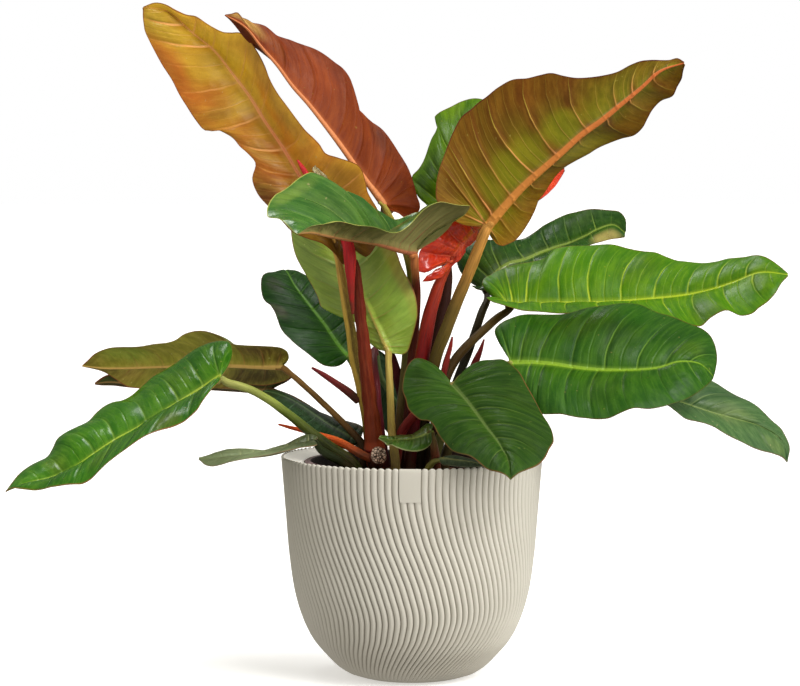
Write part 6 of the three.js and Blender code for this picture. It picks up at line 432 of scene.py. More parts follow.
# patches: centre v, centre r, half-width v, half-length r, colour, strength
LOOKS = {
 # leaf_01's bias lightens the half that its fold shades and darkens the other: painted light and shade
 "leaf_01": dict(upper=dict(base=(210, 170, 50), base2=(190, 110, 38), inter=(204, 184, 62), dark=(120, 96, 30), light=(224, 196, 84), vein=(255, 190, 124), vein2=(244, 168, 92),
     mid=(255, 178, 140), mid2=(255, 206, 120), mid_w=3.4, vein_w=1.5, halo=0.3, rim=(122, 52, 30), rim_w=0.8, vein_k=1.0, vein_lo=0.3, streak=0.26, bias=((0.84, 0.72, 0.55), (1.5, 1.55, 1.4)), spec=0.3,
     patches=[(0.5, 0.62, 0.5, 0.30, (178, 138, 48), 0.8), (0.45, 0.40, 0.5, 0.16, (176, 116, 44), 0.85), (0.55, 0.16, 0.6, 0.12, (140, 74, 34), 0.9),
              (-0.5, 0.12, 0.6, 0.14, (150, 78, 36), 0.8), (-0.95, 0.55, 0.16, 0.5, (206, 128, 50), 0.9), (0.95, 0.6, 0.14, 0.4, (168, 100, 44), 0.8), (0.1, 0.8, 0.5, 0.2, (206, 172, 60), 0.5)]),
   under=dict(base=(150, 112, 60), base2=(128, 92, 50), inter=(150, 120, 64), dark=(90, 60, 34), light=(180, 140, 86), vein=(196, 140, 96), vein2=(180, 128, 80), mid=(214, 150, 104), mid2=(190, 160, 90), rim=(120, 56, 34), mid_w=3.0, rough=0.42)),
 "leaf_02": dict(upper=dict(base=(140, 92, 44), base2=(118, 78, 38), inter=(150, 120, 54), dark=(84, 44, 26), light=(180, 140, 80), vein=(206, 140, 90), vein2=(180, 110, 70), mid=(222, 150, 110), mid2=(204, 140, 96), rim=(116, 40, 28)),
   under=dict(base=(156, 70, 38), base2=(130, 56, 34), inter=(166, 84, 44), inter_k=0.3, dark=(92, 36, 24), light=(176, 100, 62), vein=(132, 56, 40), vein2=(96, 34, 24), vein_w=0.65, vein_lo=0.2, mid=(226, 150, 118), mid2=(206, 128, 100), spec=0.24, mid_w=3.0, halo=0.2,
     rim=(112, 40, 30), rough=0.38, patches=[(-0.85, 0.86, 0.25, 0.2, (150, 136, 116), 0.7), (0.6, 0.3, 0.5, 0.3, (112, 50, 36), 0.6), (-0.5, 0.16, 0.5, 0.14, (176, 104, 60), 0.6)])),
 "leaf_03": dict(upper=dict(base=(52, 116, 38), base2=(40, 92, 32), inter=(72, 132, 42), dark=(28, 74, 28), light=(120, 180, 80), vein=(170, 196, 96), vein2=(120, 170, 70), mid=(176, 140, 96), mid2=(150, 150, 84), rim=(166, 176, 84), rough=0.24, patches=[(-0.5, 0.1, 0.5, 0.12, (90, 150, 110), 0.6)]),
   under=dict(base=(128, 144, 86), base2=(112, 128, 74), inter=(146, 158, 94), dark=(50, 68, 34), light=(140, 156, 96), vein=(150, 92, 70), vein2=(120, 84, 56), vein_w=0.6, mid=(176, 112, 78), mid2=(140, 112, 64), mid_w=2.0, rim=(160, 110, 80), rim_w=0.7, rough=0.40)),
 "leaf_04": dict(both=dict(base=(196, 52, 26), base2=(172, 40, 24), inter=(214, 82, 34), inter_k=0.4, dark=(112, 22, 18), light=(226, 104, 50), vein=(222, 110, 62), vein2=(206, 80, 44), mid=(222, 96, 72), mid2=(206, 80, 50), rim=(112, 20, 20), rough=0.2, spec=0.6, coat=1.0, bump=2.2, speck=0.1,
     patches=[(0.4, 0.75, 0.5, 0.3, (206, 74, 32), 0.6), (-0.5, 0.2, 0.5, 0.2, (150, 34, 24), 0.6)]), under=dict(spec=0.7, rough=0.16, base=(176, 60, 44), base2=(150, 44, 36), patches=[(-0.3, 0.5, 0.4, 0.3, (172, 84, 92), 0.5)])),
 "leaf_05": dict(upper=dict(base=(150, 130, 50), base2=(130, 110, 44), inter=(164, 152, 66), dark=(90, 66, 30), light=(184, 160, 90), vein=(196, 170, 90), vein2=(176, 150, 70), mid=(200, 150, 80), mid2=(190, 160, 80), rim=(110, 44, 36)),
   under=dict(base=(126, 84, 24), base2=(108, 64, 20), inter=(132, 146, 30), inter_k=0.8, bias=((1.3, 1.5, 1.5), (1.0, 1.12, 0.9)), dark=(88, 52, 28), light=(178, 138, 78), vein=(246, 168, 120), vein2=(186, 176, 74), vein_w=0.9, vein_k=0.85, mid=(196, 132, 72), mid2=(206, 108, 70), mid_w=2.4, halo=0.1, rim=(92, 26, 28), rim_w=1.0, rim_k=0.9, rough=0.38, vein_lo=0.55,
     patches=[(0.5, 0.55, 0.5, 0.5, (150, 150, 76), 0.75), (-0.9, 0.5, 0.25, 0.5, (146, 88, 42), 0.7), (-0.4, 0.9, 0.6, 0.12, (134, 84, 42), 0.6)])),
 "leaf_06": dict(both=dict(base=(104, 150, 30), base2=(72, 112, 24), inter=(112, 176, 54), inter_k=0.4, dark=(30, 90, 26), light=(130, 190, 80), vein=(164, 196, 84), vein2=(120, 176, 66), mid=(150, 160, 72), mid2=(150, 180, 76), mid_w=2.4, rim=(100, 76, 44), rim_w=0.6, rough=0.3, patches=[(-0.5, 0.2, 0.6, 0.22, (50, 84, 22), 0.85)]),
     under=dict(base=(92, 132, 62), base2=(80, 118, 54), rough=0.42)),
 "leaf_07": dict(upper=dict(base=(46, 96, 44), base2=(36, 82, 40), inter=(72, 122, 52), inter_k=0.45, dark=(22, 52, 28), light=(100, 146, 84), vein=(146, 176, 82), vein2=(110, 150, 66), vein_w=1.1, mid=(132, 156, 74), mid2=(126, 152, 72), rim=(96, 60, 46), rough=0.26),
   under=dict(base=(120, 112, 92), base2=(106, 96, 78), inter=(130, 128, 96), dark=(82, 66, 56), light=(166, 156, 134), vein=(162, 140, 110), vein2=(140, 120, 96), mid=(170, 140, 104), mid2=(160, 134, 100), rim=(110, 60, 50), rough=0.42)),
 "leaf_08": dict(upper=dict(base=(88, 160, 34), base2=(72, 142, 32), inter=(120, 184, 48), inter_k=0.55, dark=(42, 100, 22), light=(150, 200, 80), vein=(200, 222, 84), vein2=(164, 200, 66), vein_k=0.8, vein_lo=0.5, vein_w=1.1, mid=(176, 200, 70), mid2=(166, 196, 60), mid_w=2.6, halo=0.4, rim=(112, 84, 42), rim_w=0.8, rough=0.34, spec=0.28,
     patches=[(-0.9, 0.5, 0.2, 0.5, (104, 140, 44), 0.5), (-0.5, 0.1, 0.5, 0.1, (70, 120, 40), 0.5)]),
   under=dict(base=(112, 146, 66), base2=(98, 130, 60), inter=(134, 164, 84), dark=(66, 92, 42), light=(156, 180, 110), vein=(176, 190, 104), vein2=(150, 170, 90), mid=(186, 190, 110), mid2=(176, 186, 100), rough=0.42)),
 "leaf_09": dict(upper=dict(base=(46, 112, 28), base2=(38, 98, 28), inter=(76, 144, 34), inter_k=0.55, dark=(22, 66, 18), light=(104, 164, 66), vein=(126, 172, 58), vein2=(92, 146, 46), vein_w=0.9, vein_k=0.5, mid=(134, 176, 56), mid2=(128, 172, 52), mid_w=2.4, halo=0.35, rim=(96, 62, 34), rim_w=0.6, rough=0.32, spec=0.3, sec_k=0.06,
     patches=[(0.5, 0.45, 0.5, 0.35, (86, 150, 36), 0.6)]),
   under=dict(base=(98, 128, 64), base2=(84, 112, 56), inter=(118, 144, 78), dark=(60, 80, 42), light=(140, 160, 100), vein=(156, 170, 96), vein2=(130, 150, 84), mid=(170, 176, 104), mid2=(160, 170, 96), rough=0.42)),
 "leaf_10": dict(upper=dict(base=(56, 98, 34), base2=(46, 82, 30), inter=(84, 128, 50), inter_k=0.4, dark=(32, 62, 26), light=(112, 146, 76), vein=(118, 146, 66), vein2=(96, 124, 56), mid=(96, 118, 66), mid2=(92, 116, 60), halo=0.12, rim=(140, 80, 56), rim_w=0.7, vein_k=0.42, vein_lo=0.25, rough=0.38, spec=0.26, patches=[(-0.7, 0.4, 0.4, 0.4, (76, 84, 38), 0.35)]),
   under=dict(base=(112, 120, 76), base2=(98, 106, 66), inter=(124, 132, 84), dark=(72, 70, 44), light=(150, 152, 110), vein=(156, 140, 100), vein2=(140, 124, 90), mid=(170, 150, 110), mid2=(160, 144, 100), rim=(140, 80, 60), rough=0.42)),
 "leaf_11": dict(upper=dict(base=(62, 104, 56), base2=(50, 88, 50), inter=(78, 118, 60), inter_k=0.4, dark=(30, 58, 34), light=(110, 140, 90), vein=(116, 142, 84), vein2=(90, 120, 66), mid=(124, 146, 84), mid2=(110, 136, 74), rim=(104, 74, 56), rough=0.3),
   under=dict(base=(76, 114, 66), base2=(66, 100, 58), inter=(92, 126, 72), dark=(44, 66, 40), light=(124, 150, 104), vein=(130, 146, 92), vein2=(110, 130, 80), mid=(146, 150, 96), mid2=(130, 142, 88), rim=(110, 80, 60), rough=0.40)),
 "leaf_12": dict(upper=dict(base=(52, 132, 28), base2=(42, 114, 28), inter=(82, 158, 36), inter_k=0.45, dark=(22, 80, 18), light=(120, 180, 80), vein=(140, 184, 64), vein2=(100, 160, 46), vein_w=1.1, mid=(160, 192, 72), mid2=(146, 184, 64), mid_w=2.4, halo=0.22, rim=(140, 84, 66), rim_w=0.9, rough=0.22, spec=0.34, bias=((0.74, 0.8, 0.7), (1.14, 1.0, 1.05))),
   under=dict(base=(104, 140, 70), base2=(92, 126, 62), inter=(124, 156, 84), dark=(60, 88, 44), light=(150, 172, 110), vein=(166, 180, 104), vein2=(140, 160, 90), mid=(176, 184, 110), mid2=(166, 176, 100), rim=(150, 90, 70), rough=0.42)),
 "leaf_13": dict(upper=dict(base=(74, 92, 40), base2=(62, 80, 36), inter=(92, 108, 48), dark=(40, 46, 24), light=(120, 128, 72), vein=(140, 130, 72), vein2=(116, 106, 60), mid=(160, 140, 84), mid2=(140, 124, 72), rim=(96, 44, 34)),
   under=dict(base=(108, 112, 42), base2=(88, 78, 34), inter=(118, 128, 46), dark=(60, 44, 26), light=(150, 140, 88), vein=(150, 108, 62), vein2=(130, 92, 52), vein_w=0.7, mid=(190, 158, 96), mid2=(180, 150, 88), mid_w=2.6, rim=(130, 52, 40), rough=0.36)),
 "leaf_14": dict(both=dict(base=(46, 74, 46), base2=(36, 60, 38), inter=(58, 88, 50), inter_k=0.3, dark=(20, 42, 38), light=(84, 120, 104), vein=(92, 124, 90), vein2=(70, 104, 78), mid=(110, 134, 90), mid2=(96, 124, 84), rim=(90, 56, 46), rough=0.28, patches=[(0.85, 0.5, 0.25, 0.6, (110, 84, 60), 0.7)]), under=dict(rough=0.42, base=(76, 96, 74), base2=(66, 84, 66))),
 "leaf_15": dict(both=dict(patches=[(0.0, 0.12, 1.9, 0.42, (34, 44, 18), 0.97)], spec=0.14, streak=0.12, halo=0.05, base=(104, 118, 86), base2=(90, 104, 74), inter=(116, 130, 88), inter_k=0.06, dark=(56, 66, 46), light=(146, 154, 120), vein=(150, 152, 110), vein2=(124, 130, 92), mid=(72, 82, 44), mid2=(104, 112, 72), rim=(116, 90, 70), rough=0.34)),
 "leaf_16": dict(upper=dict(base=(42, 94, 42), base2=(34, 80, 38), inter=(62, 116, 46), inter_k=0.45, dark=(20, 50, 24), light=(92, 140, 78), vein=(102, 148, 62), vein2=(78, 124, 54), mid=(104, 152, 62), mid2=(100, 146, 58), rim=(86, 50, 42), rim_w=0.8, vein_k=0.4, rough=0.42, spec=0.1, patches=[(-0.75, 0.35, 0.35, 0.3, (88, 58, 48), 0.7), (-0.6, 0.75, 0.35, 0.16, (84, 62, 46), 0.5)]),
   under=dict(base=(92, 116, 72), base2=(80, 102, 64), dark=(54, 70, 44), light=(130, 150, 104), vein=(140, 150, 96), vein2=(120, 134, 84), mid=(150, 156, 100), mid2=(140, 150, 90), rough=0.42)),
 "leaf_17": dict(upper=dict(base=(84, 124, 44), base2=(72, 108, 40), inter=(104, 142, 54), dark=(44, 70, 28), light=(130, 160, 84), vein=(160, 170, 84), vein2=(130, 146, 70), mid=(176, 166, 90), mid2=(160, 160, 84), rim=(130, 56, 40)),
   under=dict(base=(122, 146, 64), base2=(106, 130, 58), inter=(138, 160, 78), inter_k=0.4, dark=(74, 86, 42), light=(168, 182, 110), vein=(166, 110, 74), vein2=(146, 120, 72), vein_w=0.6, mid=(170, 156, 80), mid2=(160, 156, 80), mid_w=2.0, rim=(140, 56, 40), rim_w=1.0, vein_k=0.4, streak=0.18, spec=0.9, rough=0.33)),
 "leaf_18": dict(both=dict(base=(34, 78, 44), base2=(26, 64, 38), inter=(46, 92, 50), inter_k=0.3, dark=(14, 38, 32), light=(80, 124, 100), vein=(80, 122, 84), vein2=(62, 100, 72), mid=(110, 130, 84), mid2=(90, 120, 76), rim=(80, 44, 40), rough=0.25), under=dict(rough=0.4, base=(66, 96, 70), base2=(56, 84, 62))),
 "leaf_19": dict(both=dict(base=(78, 88, 44), base2=(64, 74, 40), inter=(92, 100, 48), inter_k=0.4, dark=(44, 38, 24), light=(120, 120, 76), vein=(150, 124, 74), vein2=(120, 96, 60), mid=(164, 130, 80), mid2=(140, 110, 66), rim=(140, 48, 38), rim_w=1.2, rough=0.32, patches=[(0.6, 0.5, 0.4, 0.5, (104, 64, 40), 0.55)])),
 "leaf_20": dict(both=dict(base=(62, 108, 30), base2=(50, 90, 28), inter=(84, 128, 40), inter_k=0.3, dark=(30, 56, 18), light=(120, 152, 76), vein=(130, 156, 70), vein2=(104, 130, 56), mid=(140, 160, 76), mid2=(120, 146, 66), rim=(150, 150, 110), rim_w=0.9, rough=0.28, patches=[(0.4, 0.5, 0.4, 0.3, (110, 110, 44), 0.6)])),
 "leaf_21": dict(both=dict(base=(90, 112, 98), base2=(78, 100, 88), inter=(100, 122, 100), inter_k=0.3, dark=(50, 66, 58), light=(130, 150, 132), vein=(134, 150, 120), vein2=(110, 130, 104), mid=(150, 156, 110), mid2=(130, 144, 104), rim=(120, 104, 80), rough=0.32)),
}
# where a leaf changes colour: broad soft-edged areas laid over its ground; a few of them are painted shade or painted
# highlight, as noted below
PATCHES = {
 # leaf_01: the near-black brown patches at its base, (66, 26, 4) and (84, 26, 4), are painted shade where leaf_03 hangs
 # over its lobes
 "leaf_01": [(-0.47, 0.638, 0.28, 0.05, (184, 98, 22), 0.75), (0.0, 0.05, 2.6, 0.15, (66, 26, 4), 0.93), (-0.7, 0.88, 0.45, 0.11, (196, 176, 58), 0.8), (-0.95, 0.68, 0.4, 0.13, (214, 118, 48), 0.9), (-0.6, 0.6, 0.3, 0.02, (140, 96, 28), 0.6), (0.1, 0.58, 0.35, 0.10, (208, 168, 68), 0.7), (0.88, 0.55, 0.32, 0.16, (160, 114, 42), 0.75),
             (-0.57, 0.43, 0.3, 0.05, (178, 142, 80), 0.7), (0.72, 0.26, 0.3, 0.08, (144, 92, 30), 0.8), (-0.85, 0.27, 0.6, 0.10, (84, 26, 4), 0.97), (0.0, 0.37, 0.28, 0.05, (178, 140, 68), 0.6)],
 # leaf_02: the pale patch at its tip, (255, 220, 200), is a painted highlight that lifts the strip its fold shades
 "leaf_02": [(-0.8, 0.90, 0.55, 0.10, (255, 220, 200), 0.95), (-0.7, 0.59, 0.32, 0.08, (168, 78, 42), 0.7), (-0.8, 0.30, 0.3, 0.05, (106, 48, 32), 0.8), (-0.52, 0.78, 0.4, 0.06, (156, 86, 56), 0.6), (-0.4, 0.48, 0.26, 0.06, (138, 62, 32), 0.6), (-0.5, 0.21, 0.35, 0.05, (120, 52, 34), 0.7)],
 "leaf_05": [(0.86, 0.33, 0.22, 0.08, (116, 66, 22), 0.85), (0.88, 0.54, 0.26, 0.11, (122, 66, 20), 0.85), (0.22, 0.40, 0.22, 0.14, (138, 140, 30), 0.8), (0.24, 0.60, 0.22, 0.09, (130, 136, 32), 0.75), (0.5, 0.75, 0.55, 0.10, (122, 120, 36), 0.75), (0.75, 0.89, 0.6, 0.06, (140, 122, 54), 0.7),
             (-0.7, 0.60, 0.36, 0.09, (160, 146, 78), 0.8), (-0.55, 0.82, 0.4, 0.06, (140, 110, 60), 0.8), (-0.6, 0.28, 0.4, 0.08, (124, 92, 38), 0.8)],
 "leaf_03": [(0.9, 0.60, 0.10, 0.12, (104, 150, 56), 0.8), (0.5, 0.54, 0.28, 0.10, (56, 100, 38), 0.7), (-0.4, 0.4, 0.4, 0.16, (48, 88, 34), 0.6)],
 "leaf_16": [(-0.68, 0.70, 0.24, 0.08, (66, 68, 40), 0.7), (-0.88, 0.50, 0.17, 0.06, (88, 66, 46), 0.8), (-0.1, 0.31, 0.26, 0.06, (60, 94, 36), 0.6)],
 "leaf_13": [(-0.65, 0.80, 0.45, 0.10, (98, 124, 48), 0.8), (-0.85, 0.6, 0.4, 0.08, (114, 120, 44), 0.7), (-0.55, 0.30, 0.5, 0.10, (66, 46, 22), 0.85), (0.62, 0.33, 0.5, 0.10, (50, 44, 18), 0.9), (0.5, 0.78, 0.6, 0.06, (126, 110, 60), 0.7)],
 "leaf_09": [(-0.45, 0.588, 0.30, 0.09, (34, 78, 18), 0.8), (-0.3, 0.28, 0.25, 0.06, (70, 108, 40), 0.5), (0.48, 0.58, 0.42, 0.07, (50, 96, 22), 0.6), (-0.47, 0.84, 0.35, 0.06, (84, 126, 44), 0.6), (-0.6, 0.44, 0.28, 0.12, (52, 86, 28), 0.6)],
 "leaf_08": [(-0.7, 0.24, 0.38, 0.04, (76, 120, 30), 0.6), (-0.58, 0.56, 0.34, 0.06, (92, 136, 28), 0.5), (0.78, 0.74, 0.34, 0.05, (92, 134, 40), 0.5), (0.1, 0.93, 0.7, 0.05, (106, 158, 42), 0.6)],
 "leaf_10": [(0.68, 0.26, 0.28, 0.09, (56, 80, 34), 0.6), (-0.78, 0.34, 0.22, 0.08, (56, 84, 32), 0.6), (-0.72, 0.64, 0.2, 0.08, (66, 98, 38), 0.6)],
 "leaf_17": [(-0.4, 0.40, 0.6, 0.16, (100, 134, 48), 0.8), (-0.5, 0.24, 0.6, 0.05, (96, 124, 46), 0.7), (-0.38, 0.66, 0.6, 0.12, (62, 84, 36), 0.85), (0.5, 0.62, 0.6, 0.25, (76, 100, 40), 0.8), (-0.9, 0.5, 0.16, 0.2, (120, 96, 50), 0.6)],
 "leaf_06": [(-0.9, 0.68, 0.3, 0.08, (122, 158, 38), 0.7), (-0.52, 0.36, 0.42, 0.11, (54, 86, 22), 0.85), (0.23, 0.73, 0.4, 0.09, (96, 132, 34), 0.5)],
 "leaf_07": [(0.82, 0.87, 0.55, 0.12, (206, 190, 164), 0.98), (-0.35, 0.32, 0.4, 0.06, (72, 94, 38), 0.6), (-0.7, 0.76, 0.5, 0.10, (58, 94, 32), 0.6), (-0.12, 0.54, 0.42, 0.06, (48, 76, 26), 0.7)],
 "leaf_12": [(0.25, 0.81, 0.48, 0.05, (76, 120, 32), 0.6), (0.35, 0.34, 0.4, 0.06, (64, 112, 32), 0.6), (-0.62, 0.64, 0.24, 0.05, (84, 124, 44), 0.6), (-0.85, 0.37, 0.2, 0.05, (80, 100, 48), 0.8)],
 "leaf_11": [(-0.1, 0.74, 0.6, 0.07, (108, 136, 82), 0.6), (0.68, 0.87, 0.3, 0.06, (96, 130, 64), 0.6)],
 "leaf_04": [(-0.78, 0.29, 0.4, 0.05, (170, 40, 26), 0.7), (-0.45, 0.47, 0.34, 0.06, (214, 70, 30), 0.7), (0.05, 0.86, 0.9, 0.07, (222, 80, 36), 0.7)],
}
for nm, ps in PATCHES.items():
    for key in ("both", "upper", "under"):
        if key in LOOKS[nm] and (key != "both" or nm in ("leaf_04", "leaf_06")): LOOKS[nm][key]["patches"] = ps
LOOKS["leaf_03"]["under"]["patches"] = [(0.0, 0.78, 2.0, 0.26, (74, 86, 34), 0.85), (0.0, 0.2, 2.0, 0.2, (140, 158, 96), 0.6)]
# the pale patch near leaf_02's tip on its upper side is likewise a painted highlight
LOOKS["leaf_02"]["upper"]["patches"] = [(0.0, 0.9, 2.0, 0.22, (255, 214, 186), 0.9)]

for nm, L in LOOKS.items():
    if nm not in LEAVES: continue
    L.setdefault("both", {})["_share"] = LEAVES[nm]["share"]
QUILT = dict(leaf_10=0.45, leaf_09=0.8, leaf_16=0.4, leaf_04=3.4, leaf_07=0.5, leaf_17=0.5, leaf_03=2.4, leaf_01=1.4, leaf_12=0.8)
CRUMPLE = dict(leaf_04=6.0, leaf_12=1.5, leaf_03=1.6, leaf_01=1.6)
GROOVE = dict(leaf_01=0.2)
BUILD = {}
for nm in LEAVES:
    big = nm[5:] in ("01", "02", "03", "05", "08", "09", "10", "12", "17"); small = nm[5:] in ("14", "15", "18", "19", "20", "21")
    BUILD[nm] = ((128, 46) if big else (60, 30) if small else (96, 38)) + (dict(quilt=QUILT.get(nm, 1.0 if big else 0.5 if small else 0.8), wave=1.2 if big else 0.4 if small else 0.8, crumple=CRUMPLE.get(nm, 1.0), gr=GROOVE.get(nm, 1.0)),)
STALK_LOOKS = {
 "leaf_01_petiole": dict(low=(60, 50, 22), mid=(206, 172, 74), top=(214, 166, 82), side_tint_and_highlight=(204, 172, 74), streak=(104, 80, 34), edge=(50, 42, 20), spec=0.18),
 "leaf_02_petiole": dict(low=(96, 72, 42), mid=(112, 108, 52), top=(176, 160, 66), streak=(74, 56, 32)),
 "leaf_03_petiole": dict(low=(60, 24, 18), mid=(96, 40, 28), top=(190, 116, 64), streak=(50, 20, 16), spec=0.16, hi=(0.8, 1.0)),
 # the fourth leaf's stalk: its side colour is a painted highlight down its centre
 "leaf_04_petiole": dict(low=(70, 10, 14), mid=(116, 16, 18), top=(176, 60, 34), streak=(44, 8, 12), side_tint_and_highlight=(132, 62, 34), rough=0.3, spec=0.22, lo=(0.2, 0.6)),
 "leaf_05_petiole": dict(low=(34, 30, 12), mid=(96, 80, 34), top=(196, 138, 64), streak=(66, 50, 22), spec=0.18, lo=(0.25, 0.62), hi=(0.6, 0.95)),
 "leaf_06_petiole": dict(low=(34, 26, 14), mid=(48, 26, 20), top=(70, 34, 24), streak=(30, 14, 14), spec=0.12),
 "leaf_07_petiole": dict(low=(24, 22, 10), mid=(30, 26, 12), top=(56, 46, 20), streak=(18, 14, 8), spec=0.1),
 "leaf_08_petiole": dict(low=(36, 28, 12), mid=(66, 48, 20), top=(92, 74, 30), streak=(40, 26, 12), spec=0.12),
 "leaf_09_petiole": dict(low=(90, 84, 46), mid=(100, 116, 52), top=(120, 144, 58), streak=(70, 62, 34)),
 "leaf_10_petiole": dict(low=(96, 40, 32), mid=(124, 36, 34), top=(104, 64, 42), streak=(80, 22, 22), side_tint_and_highlight=(140, 50, 40)),
 "leaf_11_petiole": dict(low=(84, 74, 42), mid=(88, 98, 50), top=(98, 116, 60), streak=(58, 50, 34)),
 "leaf_12_petiole": dict(low=(30, 36, 14), mid=(116, 134, 48), top=(168, 168, 94), streak=(78, 82, 36), side_tint_and_highlight=(140, 156, 66), spec=0.16, lo=(0.32, 0.72)),
 "leaf_13_petiole": dict(low=(60, 44, 22), mid=(120, 88, 44), top=(156, 116, 62), streak=(70, 46, 26), spec=0.16, lo=(0.2, 0.6)),
 "leaf_14_petiole": dict(low=(78, 72, 50), mid=(84, 82, 58), top=(92, 96, 66), streak=(54, 42, 34)),
 "leaf_15_petiole": dict(low=(20, 24, 10), mid=(26, 32, 14), top=(36, 44, 20), streak=(14, 16, 8), spec=0.1),
 "leaf_16_petiole": dict(low=(84, 84, 46), mid=(84, 100, 48), top=(96, 124, 54), streak=(56, 54, 32)),
 "leaf_17_petiole": dict(low=(140, 120, 60), mid=(176, 154, 74), top=(186, 168, 84), streak=(120, 84, 48)),
 "leaf_18_petiole": dict(low=(92, 34, 38), mid=(116, 34, 44), top=(108, 46, 46), streak=(70, 20, 30), side_tint_and_highlight=(136, 56, 62)),
 "leaf_19_petiole": dict(low=(96, 76, 46), mid=(108, 92, 54), top=(124, 88, 56), streak=(72, 48, 34)),
 "leaf_20_petiole": dict(low=(110, 64, 44), mid=(126, 70, 48), top=(110, 104, 50), streak=(80, 36, 30)),
 "leaf_21_petiole": dict(low=(150, 146, 72), mid=(178, 168, 80), top=(160, 160, 90), streak=(112, 96, 52)),
}

GAIN = {}
for nm in LEAVES: GAIN[nm] = (0.78, 0.78, 0.55)
GAIN.update(leaf_01=(0.92, 0.86, 0.70), leaf_02=(0.64, 0.53, 0.17), leaf_03=(0.96, 0.69, 0.69), leaf_04=(1.42, 0.92, 0.55), leaf_05=(0.82, 0.75, 0.26), leaf_06=(0.62, 0.60, 0.02), leaf_07=(0.55, 0.52, 0.2), leaf_08=(0.58, 0.52, 0.045),
    leaf_09=(0.66, 0.55, 0.25), leaf_10=(0.46, 0.53, 0.2), leaf_11=(1.12, 0.94, 0.87), leaf_12=(0.95, 0.73, 0.37), leaf_13=(1.95, 1.8, 1.08), leaf_15=(1.6, 1.52, 1.5), leaf_16=(0.43, 0.53, 0.14), leaf_17=(1.85, 1.82, 0.98))


